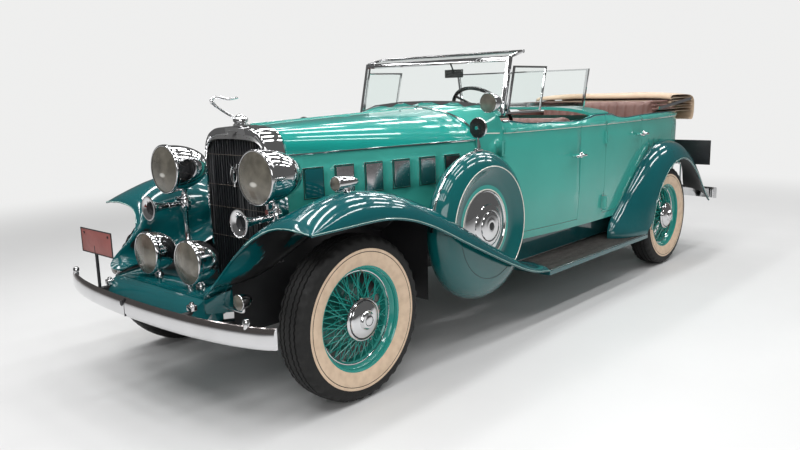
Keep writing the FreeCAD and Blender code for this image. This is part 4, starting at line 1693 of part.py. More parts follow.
def windscreen(scuttle):
    """The raked frame over the cowl with the visor's side bars, and its panes."""
    y = station(POST_BASE_Y)
    half = POST_DEPTH / 2
    top = POST_BASE_Z + post_length()
    rise = COWL_REAR_Z - POST_BASE_Z
    edge = POST_X + POST_WIDTH / 2
    inner = POST_X - POST_WIDTH / 2
    slab = block(-edge, edge, y - half, y + half, POST_BASE_Z + SHUT_GAP, top + FRAME_BAR)
    arch = [(inner * out, POST_BASE_Z + rise * up + FRAME_BAR * bars) for out, up, bars in SCREEN_ARCH_SHARES]
    head = top - FRAME_BAR / 2
    outline = arch + [(-x, z) for x, z in arch[-2::-1]] + [(-inner, head), (inner, head)]
    opening = plate_xz(outline, y - 2 * half, y + 2 * half)
    frame_piece = slab.cut(opening)
    pane = plate_xz(outline, y - GLASS / 2, y + GLASS / 2)
    frame_piece = raked(frame_piece)
    pane = raked(pane)
    head_y = station(POST_TOP_Y) + half + FRAME_BAR / 4
    head_z = POST_TOP_Z + FRAME_BAR / 2
    visor = []
    side = FRAME_BAR * VISOR_SIDE_SHARE
    run = VISOR_REACH
    lift = VISOR_TOP_Z - head_z - FRAME_BAR
    for x0, x1 in ((-edge, -edge + side), (edge - side, edge)):
        visor.append(plate_yz([(head_y - half, head_z), (head_y + run, head_z + lift),
                               (head_y + run, head_z + lift + FRAME_BAR), (head_y - half, head_z + FRAME_BAR)],
                              x0, x1))
    visor.append(plate_yz([(head_y + run - FRAME_BAR, head_z + lift * (run - FRAME_BAR) / run),
                           (head_y + run, head_z + lift), (head_y + run, head_z + lift + FRAME_BAR),
                           (head_y + run - FRAME_BAR, head_z + lift * (run - FRAME_BAR) / run + FRAME_BAR)],
                          -edge, edge))
    visor_pane = plate_yz([(head_y, head_z + FRAME_BAR / 2 - GLASS / 2),
                           (head_y + run - FRAME_BAR, head_z + lift * VISOR_PANE_SHARE + FRAME_BAR / 2 - GLASS / 2),
                           (head_y + run - FRAME_BAR, head_z + lift * VISOR_PANE_SHARE + FRAME_BAR / 2 + GLASS / 2),
                           (head_y, head_z + FRAME_BAR / 2 + GLASS / 2)],
                          -edge + side, edge - side)
    frame_piece = fused([frame_piece] + visor)
    frame_piece = largest(frame_piece.cut(scuttle))
    return frame_piece, [pane, visor_pane.cut(frame_piece)]


def wind_wing():
    """The left wind wing: its bar frame, with bosses to the post, and its pane."""
    y0 = station(WING_START) - WING_RAKE
    y1 = station(WING_START)
    outer = [(y0, WING_BASE_Z), (y0 + WING_REACH, WING_BASE_Z), (y1 + WING_REACH, WING_TOP_Z), (y1, WING_TOP_Z)]
    bar = WING_BAR
    sharp = bar * WING_SHARP_SHARE
    blunt = bar * WING_BLUNT_SHARE
    inner = [(y0 + sharp, WING_BASE_Z + bar), (y0 + WING_REACH - blunt, WING_BASE_Z + bar),
             (y1 + WING_REACH - sharp, WING_TOP_Z - bar), (y1 + blunt, WING_TOP_Z - bar)]
    border = plate_yz(outer, WING_X - bar / 2, WING_X + bar / 2).cut(
        plate_yz(inner, WING_X - bar, WING_X + bar))
    bosses = []
    for share in WING_BOSS_SHARES:
        y = y0 + (y1 - y0) * share + bar / 2
        z = WING_BASE_Z + (WING_TOP_Z - WING_BASE_Z) * share
        bosses.append(rod(vec(POST_X + POST_WIDTH / 2 + FIT, y, z), vec(WING_X, y, z), bar * WING_PIN_SHARE))
    pane = plate_yz(inner, WING_X - GLASS / 2, WING_X + GLASS / 2)
    return fused([border] + bosses), pane


def rear_screen(hump):
    """The second windscreen's frame on the partition, and its pane."""
    y = station(SCREEN_Y)
    half = SCREEN_BAR / 2
    outer = [(SCREEN_BASE_X, SCREEN_BASE_Z), (SCREEN_TOP_X, SCREEN_TOP_Z), (-SCREEN_TOP_X, SCREEN_TOP_Z),
             (-SCREEN_BASE_X, SCREEN_BASE_Z)]
    low = SCREEN_BASE_Z + 2 * SCREEN_BAR
    inner = [(SCREEN_BASE_X - half, low), (SCREEN_TOP_X - 2 * half, SCREEN_TOP_Z - half),
             (-SCREEN_TOP_X + 2 * half, SCREEN_TOP_Z - half), (-SCREEN_BASE_X + half, low)]
    border = plate_xz(outer, y - half, y + half).cut(plate_xz(inner, y - 2 * half, y + 2 * half))
    pane = plate_xz(inner, y - GLASS / 2, y + GLASS / 2)
    return largest(border.cut(hump)), pane


def steering_axis():
    """The direction from the steering wheel down its column."""
    angle = math.radians(90 - STEERING_TILT)
    return vec(0, -math.sin(angle), -math.cos(angle))


def steering_wheel():
    """The four-spoked steering wheel."""
    centre = vec(WHEEL_CENTRE_X, station(WHEEL_CENTRE_Y), WHEEL_CENTRE_Z)
    axis = steering_axis()
    outline = [(STEERING_RIM * along, STEERING_RADIUS + STEERING_RIM * out) for along, out in RING_SHARES]
    rim = turned(outline, centre, axis)
    hub = disc(centre + axis * (STEERING_HUB_DEPTH / 2), axis, STEERING_HUB_RADIUS, STEERING_HUB_DEPTH / 2)
    pieces = [rim, hub]
    across = vec(1, 0, 0)
    other = axis.cross(across)
    start = centre + axis * (STEERING_HUB_DEPTH / 2)
    for way in (across + other, across - other):
        unit = way.normalize()
        pieces.append(rod(start, centre + unit * STEERING_RADIUS, STEERING_SPOKE))
        pieces.append(rod(start, centre - unit * STEERING_RADIUS, STEERING_SPOKE))
    return fused(pieces)


def steering_column():
    """The fixed column between the steering wheel and the firewall."""
    centre = vec(WHEEL_CENTRE_X, station(WHEEL_CENTRE_Y), WHEEL_CENTRE_Z)
    axis = steering_axis()
    start = centre + axis * (STEERING_HUB_DEPTH + FIT)
    wall_y = station(HOOD_REAR) + HOOD_SHUT + FIREWALL_DEPTH
    length = (wall_y - start.y) / axis.y
    tube = rod(start, start + axis * (length + COLUMN_RADIUS * 2), COLUMN_RADIUS)
    return tube.cut(block(0, BODY_HALF_WIDTH, wall_y - 4 * COLUMN_RADIUS, wall_y + FIT, 0, 2 * BODY_TOP_Z))


def seat(front_y, half_width, cushion_top, back_top, base_z):
    """A bench seat's cushion and leaning back on its box."""
    y0 = station(front_y)
    y1 = y0 + CUSHION_DEPTH
    cushion = block(-half_width, half_width, y0, y1, cushion_top - CUSHION_HEIGHT, cushion_top)
    back = plate_yz([(y1 + FIT, cushion_top - CUSHION_HEIGHT), (y1 + FIT + BACK_LEAN, back_top),
                     (y1 + BACK_LEAN + BACK_THICKNESS, back_top),
                     (y1 + BACK_THICKNESS, cushion_top - CUSHION_HEIGHT)],
                    -half_width, half_width)
    cushion = cushion.makeFillet(SEAT_ROUND, cushion.Edges)
    back = back.makeFillet(SEAT_ROUND, back.Edges)
    box = block(-half_width + SEAT_BOX_INSET, half_width - SEAT_BOX_INSET, y0 + SEAT_BOX_INSET,
                y1 + BACK_THICKNESS - SEAT_BOX_INSET, base_z, cushion_top - CUSHION_HEIGHT - FIT)
    return [cushion, back, box]


def front_seat():
    """The front bench."""
    return seat(FRONT_SEAT_Y, SEAT_HALF_WIDTH, FRONT_CUSHION_TOP_Z, FRONT_BACK_TOP_Z,
                FLOOR_Z + FLOOR_SHEET + FIT)


def rear_seat():
    """The rear bench."""
    return seat(REAR_SEAT_Y, REAR_SEAT_HALF_WIDTH, REAR_CUSHION_TOP_Z, REAR_BACK_TOP_Z,
                REAR_FLOOR_Z + FLOOR_SHEET + FIT)


def folded_top():
    """The top folded down round the back of the rear seat."""
    body = plate_yz([(station(TOP_REAR_START), TOP_BASE_Z), (station(BODY_END), TOP_BASE_Z),
                     (station(TOP_END) - TOP_ROUND, TOP_TAIL_BASE_Z),
                     (station(TOP_END), TOP_TAIL_BASE_Z + TOP_ROUND),
                     (station(TOP_END), TOP_ARM_TOP_Z), (station(TOP_END) - TOP_ROUND, TOP_CREST_Z - SHEET),
                     (station(BODY_END), TOP_CREST_Z), (station(TOP_REAR_START), TOP_CREST_Z)],
                    -TOP_HALF_WIDTH, TOP_HALF_WIDTH)
    arms = []
    for side in (-1, 1):
        ends = sorted((side * TOP_ARM_INNER_X, side * TOP_HALF_WIDTH))
        arms.append(block(ends[0], ends[1], station(TOP_START), station(TOP_REAR_START) + TOP_ROUND,
                          TOP_BASE_Z, TOP_ARM_TOP_Z))
    return fused([body] + arms)


def top_irons():
    """The irons of the folded top on the body's sides."""
    irons = []
    for side in (-1, 1):
        x = side * (TOP_HALF_WIDTH + FIT)
        ends = sorted((x, x + side * IRON_THICKNESS))
        y0 = station(TOP_START)
        y1 = station(TOP_END) - 4 * TOP_ROUND
        low = TOP_BASE_Z + IRON_WIDTH
        irons.append(plate_yz([(y0 + TOP_ROUND, low), (y1, TOP_ARM_TOP_Z - IRON_WIDTH),
                               (y1, TOP_ARM_TOP_Z), (y0 + TOP_ROUND, low + IRON_WIDTH)], ends[0], ends[1]))
    return irons


def main():
    """Build every piece and write it."""
    os.makedirs("parts", exist_ok=True)
    save("frame", frame())
    save("front_axle", front_axle())
    save("rear_axle", rear_axle())
    save("leaf_springs", *leaf_springs())
    save("engine_block", engine_block())
    save("driveline", driveline())
    save("exhaust", exhaust())
    save("fuel_tank", fuel_tank())
    surround = radiator_shell()
    save("radiator_shell", surround)
    save("radiator_grille", radiator_grille())
    save("radiator_cap", radiator_cap(surround))
    for name, half in (("hood_left_top", hood_top()), ("hood_left_side", hood_side())):
        save(name, half)
        save(name.replace("left", "right"), mirrored(half))
    splash = splash_panel()
    save("splash_panels", splash, mirrored(splash))
    scuttle = cowl()
    save("cowl", scuttle)
    tub, front_door, rear_door = body_parts()
    save("body_tub", tub)
    for name, door in (("front_left_door", front_door), ("rear_left_door", rear_door)):
        save(name, door)
        save(name.replace("left", "right"), mirrored(door))
    hump = partition()
    save("partition", hump)
    whole_body = body_solid(0, OVERRUN, 0)
    wing = largest(front_fender().cut(whole_body))
    save("front_fenders", wing, mirrored(wing))
    rear_wing = largest(rear_fender().cut(body_solid(0, 0, 0)))
    save("rear_fenders", rear_wing, mirrored(rear_wing))
    board = running_board()
    save("running_boards", board, mirrored(board))
    save("front_apron", front_apron())
    cover = fused([spare(), spare_carrier()])
    save("spare_wheels", cover, mirrored(cover))
    save("front_bumper", front_bumper())
    save("rear_bumper", rear_bumper())
    save("number_plates", *number_plates())
    save("tail_lamps", *tail_lamps())
    lamp = headlamp(wing)
    save("headlamps", lamp, mirrored(lamp))
    save("driving_lamps", *(driving_lamps() + signal_lamps()))
    small = fender_lamp(wing)
    save("fender_lamps", small, mirrored(small))
    trumpet = horn()
    save("horns", trumpet, mirrored(trumpet))
    screen, panes = windscreen(scuttle)
    save("spotlight", largest(spotlight().cut(screen)))
    mirror = side_mirror()
    save("mirrors", mirror, mirrored(mirror), largest(inner_mirror().cut(screen).cut(panes[0])))
    save("windscreen_frame", screen)
    wing_frame, wing_pane = wind_wing()
    save("wind_wings", wing_frame, mirrored(wing_frame))
    second, second_pane = rear_screen(hump)
    save("rear_screen_frame", second)
    save("screen_glass", panes[0].cut(scuttle), panes[1], wing_pane, mirrored(wing_pane), second_pane)
    save("steering_column", steering_column())
    save("steering_wheel", steering_wheel())
    save("front_seat", *front_seat())
    save("rear_seat", *rear_seat())
    save("folded_top", folded_top())
    save("top_irons", *top_irons())
    left_knuckle = knuckle()
    save("knuckle_left", left_knuckle)
    save("knuckle_right", mirrored(left_knuckle))
    save("tie_rod", tie_rod())
    rubber = tyre()
    wires = wire_wheel()
    for name, x, y in (("front", FRONT_WHEEL_X, FRONT_AXLE_Y), ("rear", REAR_WHEEL_X, REAR_AXLE_Y)):
        for kind, piece in (("tyre", rubber), ("wheel", wires)):
            placed = piece.translated(vec(x, y, TYRE_RADIUS))
            save(kind + "_" + name + "_left", placed)
            save(kind + "_" + name + "_right", mirrored(placed))


main()
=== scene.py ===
"""An open four-door touring car of the early 1930s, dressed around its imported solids.

Lengths are in metres. The car stands on z = 0, faces -Y and has its left side at +X.
"""
import json
import logging
import math
import random
from dataclasses import dataclass
from enum import Enum
from typing import Callable, Sequence

import bmesh
import bpy
from mathutils import Matrix, Vector
from mathutils.bvhtree import BVHTree

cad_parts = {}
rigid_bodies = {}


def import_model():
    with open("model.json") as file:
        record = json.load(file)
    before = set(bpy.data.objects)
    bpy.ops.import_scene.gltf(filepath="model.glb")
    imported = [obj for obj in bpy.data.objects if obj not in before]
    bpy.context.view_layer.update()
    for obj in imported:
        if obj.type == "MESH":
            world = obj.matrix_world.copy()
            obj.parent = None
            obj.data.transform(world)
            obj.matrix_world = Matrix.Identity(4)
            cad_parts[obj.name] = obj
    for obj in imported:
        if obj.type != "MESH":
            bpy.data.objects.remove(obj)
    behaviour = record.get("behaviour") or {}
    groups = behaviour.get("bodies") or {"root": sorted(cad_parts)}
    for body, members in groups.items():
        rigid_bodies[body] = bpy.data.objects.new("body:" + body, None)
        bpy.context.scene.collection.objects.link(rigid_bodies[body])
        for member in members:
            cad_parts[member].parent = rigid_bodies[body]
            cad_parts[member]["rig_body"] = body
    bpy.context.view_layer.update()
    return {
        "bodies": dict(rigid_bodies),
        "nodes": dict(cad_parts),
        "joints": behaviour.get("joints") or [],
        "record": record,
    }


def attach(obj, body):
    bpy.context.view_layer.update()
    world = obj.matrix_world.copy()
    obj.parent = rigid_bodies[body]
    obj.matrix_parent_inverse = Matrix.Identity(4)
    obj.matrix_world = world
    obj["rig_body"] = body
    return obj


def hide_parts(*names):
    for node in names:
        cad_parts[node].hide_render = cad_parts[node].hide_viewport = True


LOG = logging.getLogger("touring_car")
FRONT_AXLE_Y = -1.950
REAR_AXLE_Y = 1.606
AXLE_Z = 0.406
FRONT_WHEEL_X = 0.752
REAR_WHEEL_X = 0.768
FRAME_SIDE_X = 0.4145
SMOOTH_ANGLE = math.radians(38)
CRISP_ANGLE = math.radians(25)
PANEL_ANGLE = math.radians(30)
ROUND_ANGLE = math.radians(50)

Color = tuple[float, float, float]
Point = tuple[float, float, float]
Socket = bpy.types.NodeSocket
Profile = Sequence[tuple[float, float]]


def station(distance: float) -> float:
    """Returns the y of a place that lies a distance behind the front axle."""
    return FRONT_AXLE_Y + distance


def off_axis(place: Vector) -> float:
    """Returns how far a place lies from the X axis."""
    return math.hypot(place.y, place.z)


def ring(middle: tuple[float, float], radius: float, steps: int) -> list[tuple[float, float]]:
    """Returns a closed circle as a profile, given its middle, its radius and its steps."""
    turns = (math.tau * n / steps for n in range(steps + 1))
    return [(middle[0] + radius * math.cos(a), middle[1] + radius * math.sin(a)) for a in turns]


class Side(Enum):
    """A side of the car and its sign along X."""

    LEFT = 1
    RIGHT = -1

    @property
    def word(self) -> str:
        """The side's name in lower case."""
        return self.name.lower()

    def outward(self, x: float, y: float, z: float) -> Matrix:
        """Returns the place of a turned part, whose own outward axis is +X."""
        turn = 0.0 if self is Side.LEFT else math.pi
        return Matrix.Translation((self.value * x, y, z)) @ Matrix.Rotation(turn, 4, "Z")


class Surface:
    """A material under construction, with helpers for its nodes."""

    def __init__(self, name: str) -> None:
        """Starts a material with its Principled shader.

        Args:
            name: The material's name.
        """
        self.material = bpy.data.materials.new(name)
        self.material.use_nodes = True
        self.tree = self.material.node_tree
        self.shader = self.tree.nodes["Principled BSDF"]
        self.coords = self.add("ShaderNodeTexCoord")

    def add(self, kind: str, **values: object) -> bpy.types.Node:
        """Adds a node and sets its inputs by name or its properties.

        Args:
            kind: The node's type name.
            **values: Input sockets, or properties when no socket has the name.

        Returns:
            The new node.
        """
        node = self.tree.nodes.new(kind)
        for key, value in values.items():
            label = key.replace("_", " ")
            found = next((s for s in node.inputs if s.name.lower() == label.lower()), None)
            if found is None or hasattr(node, key):
                setattr(node, key, value)
            else:
                found.default_value = value
        return node

    def link(self, source: Socket, target: Socket) -> None:
        """Joins two sockets."""
        self.tree.links.new(source, target)

    def set(self, **values: object) -> None:
        """Sets the shader's own sockets, named with underscores for spaces."""
        for key, value in values.items():
            socket = next(s for s in self.shader.inputs if s.name.lower() == key.replace("_", " ").lower())
            socket.default_value = (*value, 1.0) if isinstance(value, tuple) and len(value) == 3 else value

    def noise(self, scale: float, detail: float = 3.0, stretch: Point = (1, 1, 1)) -> Socket:
        """Adds a noise pattern on Object coordinates.

        Args:
            scale: Its scale in cells a metre.
            detail: Its detail.
            stretch: The pattern's scale along each axis.

        Returns:
            The noise's factor socket.
        """
        place = self.add("ShaderNodeMapping")
        place.inputs["Scale"].default_value = stretch
        self.link(self.coords.outputs["Object"], place.inputs["Vector"])
        node = self.add("ShaderNodeTexNoise", scale=scale, detail=detail)
        self.link(place.outputs["Vector"], node.inputs["Vector"])
        return node.outputs["Factor"] if "Factor" in node.outputs else node.outputs[0]

    def ramp(self, source: Socket, stops: Sequence[tuple[float, Color]]) -> Socket:
        """Adds a colour ramp over a factor.

        Args:
            source: The factor.
            stops: Positions and linear colours.

        Returns:
            The colour socket.
        """
        node = self.add("ShaderNodeValToRGB")
        ramp = node.color_ramp
        while len(ramp.elements) < len(stops):
            ramp.elements.new(0.5)
        for element, (place, color) in zip(ramp.elements, stops):
            element.position = place
            element.color = (*color, 1.0)
        self.link(source, node.inputs["Fac"])
        return node.outputs["Color"]

    def span(self, source: Socket, low: float, high: float) -> Socket:
        """Maps a factor from 0..1 to low..high."""
        node = self.add("ShaderNodeMapRange")
        node.inputs["To Min"].default_value = low
        node.inputs["To Max"].default_value = high
        self.link(source, node.inputs["Value"])
        return node.outputs["Result"]

    def math(self, kind: str, first: Socket, second: "Socket | float") -> Socket:
        """Adds a math node on one or two sockets and returns its result."""
        node = self.add("ShaderNodeMath")
        node.operation = kind
        self.link(first, node.inputs[0])
        if isinstance(second, (int, float)):
            node.inputs[1].default_value = second
        else:
            self.link(second, node.inputs[1])
        return node.outputs[0]

    def bump(self, height: Socket, strength: float, distance: float) -> None:
        """Feeds a height into the shader's normal, over any bump it already has."""
        node = self.add("ShaderNodeBump")
        node.inputs["Strength"].default_value = strength
        node.inputs["Distance"].default_value = distance
        self.link(height, node.inputs["Height"])
        socket = self.shader.inputs["Normal"]
        if socket.is_linked:
            self.link(socket.links[0].from_socket, node.inputs["Normal"])
        self.link(node.outputs["Normal"], socket)

    def base(self, color: Socket) -> None:
        """Feeds a colour into the shader's base colour."""
        self.link(color, self.shader.inputs["Base Color"])

    def mottle(self, scale: float, detail: float, *stops: tuple[float, Color]) -> None:
        """Makes the base colour a noise between the colours of some stops."""
        self.base(self.ramp(self.noise(scale, detail), stops))

    def rough(self, pattern: Socket, low: float, high: float) -> None:
        """Lets the roughness follow a pattern between two values."""
        self.link(self.span(pattern, low, high), self.shader.inputs["Roughness"])

    def over(self, factor: Socket, under: Socket, color: Color) -> None:
        """Makes the base colour a plain colour laid over another by a factor."""
        mix = self.add("ShaderNodeMix", data_type="RGBA")
        self.link(factor, mix.inputs["Factor"])
        self.link(under, mix.inputs[6])
        mix.inputs[7].default_value = (*color, 1.0)
        self.base(mix.outputs[2])

    def axes(self) -> bpy.types.NodeOutputs:
        """Returns the X, Y and Z of the Object coordinates."""
        split = self.add("ShaderNodeSeparateXYZ")
        self.link(self.coords.outputs["Object"], split.inputs[0])
        return split.outputs


def shade(color: Color, factor: float) -> Color:
    """Returns a colour made darker or lighter by a factor."""
    return tuple(min(1.0, channel * factor) for channel in color)


@dataclass(frozen=True)
class Finish:
    """A finish that can be laid on pieces."""

    name: str
    slot: str

    def build(self) -> bpy.types.Material:
        """Builds the material."""
        raise NotImplementedError


@dataclass(frozen=True)
class Enamel(Finish):
    """Polished coach enamel with a faint orange peel and dust towards the ground."""

    color: Color
    variation: float = 0.05
    roughness: float = 0.22
    coat: float = 1.0
    peel_scale: float = 420.0
    dust_height: float = 0.55

    def build(self) -> bpy.types.Material:
        """Builds the enamel."""
        surface = Surface(self.name)
        cloud = surface.noise(3.0, 4.0)
        tone = surface.ramp(cloud, ((0.3, shade(self.color, 1 - self.variation)),
                                    (0.7, shade(self.color, 1 + self.variation))))
        low = surface.add("ShaderNodeMapRange")
        low.inputs["From Min"].default_value = self.dust_height
        low.inputs["From Max"].default_value = 0.1
        low.inputs["To Max"].default_value = 0.16
        surface.link(surface.axes()["Z"], low.inputs["Value"])
        dust = surface.math("MULTIPLY", low.outputs["Result"], surface.noise(28.0, 6.0))
        surface.over(dust, tone, (0.32, 0.31, 0.28))
        surface.rough(surface.noise(14.0, 5.0), self.roughness * 0.8, self.roughness * 1.3)
        surface.bump(surface.noise(self.peel_scale, 2.0), 0.02, 0.0006)
        surface.set(coat_weight=self.coat, coat_roughness=0.03, ior=1.5, specular_ior_level=0.12)
        return surface.material


@dataclass(frozen=True)
class Chrome(Finish):
    """Bright plate with fine polishing marks."""

    color: Color = (0.7, 0.7, 0.71)
    roughness: float = 0.06

    def build(self) -> bpy.types.Material:
        """Builds the plate."""
        surface = Surface(self.name)
        surface.mottle(9.0, 4.0, (0.35, shade(self.color, 0.94)), (0.65, self.color))
        surface.rough(surface.noise(60.0, 6.0, (1, 1, 4)), self.roughness * 0.6, self.roughness * 1.7)
        surface.bump(surface.noise(25.0, 3.0), 0.015, 0.002)
        surface.set(metallic=1.0)
        return surface.material


@dataclass(frozen=True)
class Satin(Finish):
    """Satin metal paint or raw metal with mottling and grime."""

    color: Color
    roughness: float = 0.5
    metallic: float = 0.0
    grime: Color = (0.05, 0.045, 0.04)

    def build(self) -> bpy.types.Material:
        """Builds the satin finish."""
        surface = Surface(self.name)
        surface.mottle(11.0, 7.0, (0.3, self.color), (0.62, shade(self.color, 1.25)), (0.8, self.grime))
        surface.rough(surface.noise(40.0, 5.0), self.roughness * 0.75, min(1.0, self.roughness * 1.3))
        surface.bump(surface.noise(180.0, 3.0), 0.08, 0.001)
        surface.set(metallic=self.metallic)
        return surface.material


@dataclass(frozen=True)
class Rubber(Finish):
    """Moulded rubber, with a dusty bloom."""

    color: Color = (0.018, 0.018, 0.019)
    bloom: Color = (0.05, 0.048, 0.045)
    roughness: float = 0.62

    def build(self) -> bpy.types.Material:
        """Builds the rubber."""
        surface = Surface(self.name)
        surface.mottle(24.0, 8.0, (0.4, self.color), (0.75, self.bloom))
        surface.rough(surface.noise(70.0, 4.0), self.roughness * 0.85, self.roughness * 1.2)
        surface.bump(surface.noise(900.0, 2.0), 0.12, 0.0008)
        surface.bump(surface.noise(60.0, 4.0), 0.06, 0.002)
        surface.set(specular_ior_level=0.4)
        return surface.material


@dataclass(frozen=True)
class Leather(Finish):
    """Grained leather with a mottled tone between its colour and a worn colour."""

    color: Color = (0.135, 0.062, 0.052)
    worn: Color = (0.23, 0.125, 0.105)
    roughness: float = 0.46

    def build(self) -> bpy.types.Material:
        """Builds the leather."""
        surface = Surface(self.name)
        surface.mottle(7.0, 6.0, (0.3, self.color), (0.72, self.worn))
        grain = surface.add("ShaderNodeTexVoronoi", scale=380.0)
        surface.link(surface.coords.outputs["Object"], grain.inputs["Vector"])
        surface.bump(grain.outputs["Distance"], 0.25, 0.0012)
        surface.bump(surface.noise(30.0, 5.0), 0.25, 0.006)
        surface.rough(surface.noise(18.0, 4.0), self.roughness * 0.7, self.roughness * 1.35)
        surface.set(specular_ior_level=0.45)
        return surface.material


@dataclass(frozen=True)
class Cloth(Finish):
    """Woven cloth with visible threads and soft fading."""

    color: Color = (0.5, 0.365, 0.25)
    faded: Color = (0.62, 0.48, 0.35)
    threads: float = 620.0

    def build(self) -> bpy.types.Material:
        """Builds the cloth."""
        surface = Surface(self.name)
        surface.mottle(5.0, 7.0, (0.3, self.color), (0.7, self.faded))
        waves = []
        for axis in ("X", "Z"):
            wave = surface.add("ShaderNodeTexWave", bands_direction=axis)
            wave.inputs["Scale"].default_value = self.threads / 6
            wave.inputs["Distortion"].default_value = 0.6
            surface.link(surface.coords.outputs["Object"], wave.inputs["Vector"])
            waves.append(wave.outputs["Fac"])
        surface.bump(surface.math("ADD", waves[0], waves[1]), 0.35, 0.0007)
        surface.bump(surface.noise(36.0, 6.0), 0.5, 0.006)
        surface.set(roughness=0.92, sheen_weight=0.35, sheen_roughness=0.5, specular_ior_level=0.2)
        return surface.material


@dataclass(frozen=True)
class Pane(Finish):
    """Clear plate glass with a faint film."""

    tint: Color = (0.93, 0.97, 0.96)

    def build(self) -> bpy.types.Material:
        """Builds the glass."""
        surface = Surface(self.name)
        surface.rough(surface.noise(6.0, 5.0), 0.0, 0.04)
        surface.set(base_color=self.tint, transmission_weight=1.0, ior=1.18, alpha=1.0)
        return surface.material


@dataclass(frozen=True)
class Lens(Finish):
    """Finely fluted lamp glass over a reflector, with a painted glint low in its middle."""

    color: Color = (0.235, 0.215, 0.175)
    flutes: float = 60.0
    # Where the painted glint sits, as its distance out from the middle and its height, and how far it spreads.
    glint: tuple[float, float] = (0.405, 1.055)
    spread: float = 0.034

    def build(self) -> bpy.types.Material:
        """Builds the lens."""
        surface = Surface(self.name)
        flute = surface.add("ShaderNodeTexWave", bands_direction="X", wave_profile="SIN", scale=self.flutes)
        surface.link(surface.coords.outputs["Object"], flute.inputs["Vector"])
        cloud = surface.ramp(surface.noise(16.0, 4.0), ((0.35, shade(self.color, 0.55)), (0.7, self.color)))
        axes = surface.axes()
        # Painted glint: a pale spot mixed into the base colour where |x| and z come near the glint's place, standing in
        # for a highlight.
        across = surface.math("SUBTRACT", surface.math("ABSOLUTE", axes["X"], 0.0), self.glint[0])
        rise = surface.math("MULTIPLY", surface.math("SUBTRACT", axes["Z"], self.glint[1]), 2.2)
        far = surface.math("ADD", surface.math("MULTIPLY", across, across), surface.math("MULTIPLY", rise, rise))
        painted_glint = surface.add("ShaderNodeMapRange", interpolation_type="SMOOTHSTEP")
        painted_glint.inputs["From Min"].default_value = self.spread ** 2
        painted_glint.inputs["From Max"].default_value = 0.0
        surface.link(far, painted_glint.inputs["Value"])
        surface.over(painted_glint.outputs["Result"], cloud, (0.82, 0.8, 0.74))
        surface.bump(flute.outputs["Fac"], 0.22, 0.0012)
        surface.bump(surface.noise(30.0, 3.0), 0.3, 0.004)
        surface.rough(surface.noise(50.0, 3.0), 0.12, 0.26)
        surface.set(metallic=0.35, coat_weight=0.8, coat_roughness=0.04, specular_ior_level=0.3)
        return surface.material


BODY_GREEN = Enamel("body_green_enamel", "body_green", (0.05, 0.37, 0.31))
HOOD_GREEN = Enamel("hood_green_enamel", "hood_green", (0.006, 0.29, 0.25))
DARK_TEAL = Enamel("dark_teal_enamel", "dark_teal", (0.002, 0.088, 0.098), roughness=0.16)
WHEEL_GREEN = Enamel("wheel_green_enamel", "wheel_green", (0.015, 0.29, 0.245))
STRIPE_CREAM = Enamel("cream_stripe", "body_green", (0.84, 0.82, 0.74), roughness=0.3)
LIP_LINE = Enamel("lip_line", "dark_teal", (0.42, 0.6, 0.54), roughness=0.25)
BRIGHT = Chrome("bright_chrome", "bright_plate")
SATIN_PLATE = Chrome("satin_plate", "bright_plate", (0.62, 0.62, 0.62), 0.28)
CHASSIS = Satin("chassis_black", "chassis_black", (0.012, 0.012, 0.013), 0.38)
ENGINE = Satin("engine_enamel", "engine_paint", (0.022, 0.055, 0.042), 0.45)
EXHAUST = Satin("exhaust_steel", "exhaust_steel", (0.16, 0.135, 0.115), 0.55, 0.8, (0.09, 0.05, 0.03))
GRILLE = Satin("grille_black", "grille_black", (0.006, 0.007, 0.009), 0.5)
PLATE_RED = Satin("plate_red", "plate_paint", (0.27, 0.085, 0.075), 0.45, 0.0, (0.2, 0.07, 0.06))
PLATE_BLACK = Satin("plate_black", "plate_paint", (0.014, 0.014, 0.016), 0.4)
TYRE_BLACK = Rubber("tyre_black", "tyre_rubber", (0.0075, 0.0075, 0.0075), (0.013, 0.0125, 0.012))
MAT_BLACK = Rubber("step_mat_black", "dark_teal", (0.008, 0.008, 0.009), (0.02, 0.02, 0.02), 0.6)
MAT_RIB = Rubber("step_mat_rib", "dark_teal", (0.055, 0.052, 0.048), (0.1, 0.094, 0.088), 0.5)
WHITEWALL = Rubber("whitewall_cream", "tyre_rubber", (0.72, 0.55, 0.4), (0.6, 0.44, 0.31), 0.58)
LEATHER = Leather("brown_leather", "brown_leather")
CARPET = Cloth("dark_carpet", "body_green", (0.03, 0.028, 0.026), (0.05, 0.046, 0.042))
TOP_CLOTH = Cloth("tan_top_cloth", "tan_cloth")
GLASS = Pane("clear_glass", "clear_glass")
LAMP_GLASS = Lens("lamp_glass", "bright_plate")
RED_GLASS = Lens("red_lamp_glass", "bright_plate", (0.5, 0.02, 0.02), glint=(0.0, 0.0))
DRUM_GREEN = Enamel("drum_green_enamel", "wheel_green", (0.01, 0.13, 0.112), roughness=0.3)
SPARE_TEAL = Enamel("spare_teal_enamel", "dark_teal", (0.003, 0.1, 0.102), roughness=0.18)
MIRROR_FACE = Satin("mirror_face", "bright_plate", (0.055, 0.06, 0.062), 0.12, 0.9)
# A darker, brownish copy of the bright plate for the front bar's crown: a painted reflection of dark surroundings in
# the bar's upper face.
CROWN_PAINTED_REFLECTION = Chrome("crown_plate", "bright_plate", (0.44, 0.4, 0.39), 0.12)
VENT_PLATE = Chrome("vent_plate", "bright_plate", (0.8, 0.76, 0.78), 0.2)
WHEEL_BLACK = Satin("steering_wheel_black", "wheel_black", (0.012, 0.012, 0.012), 0.2)


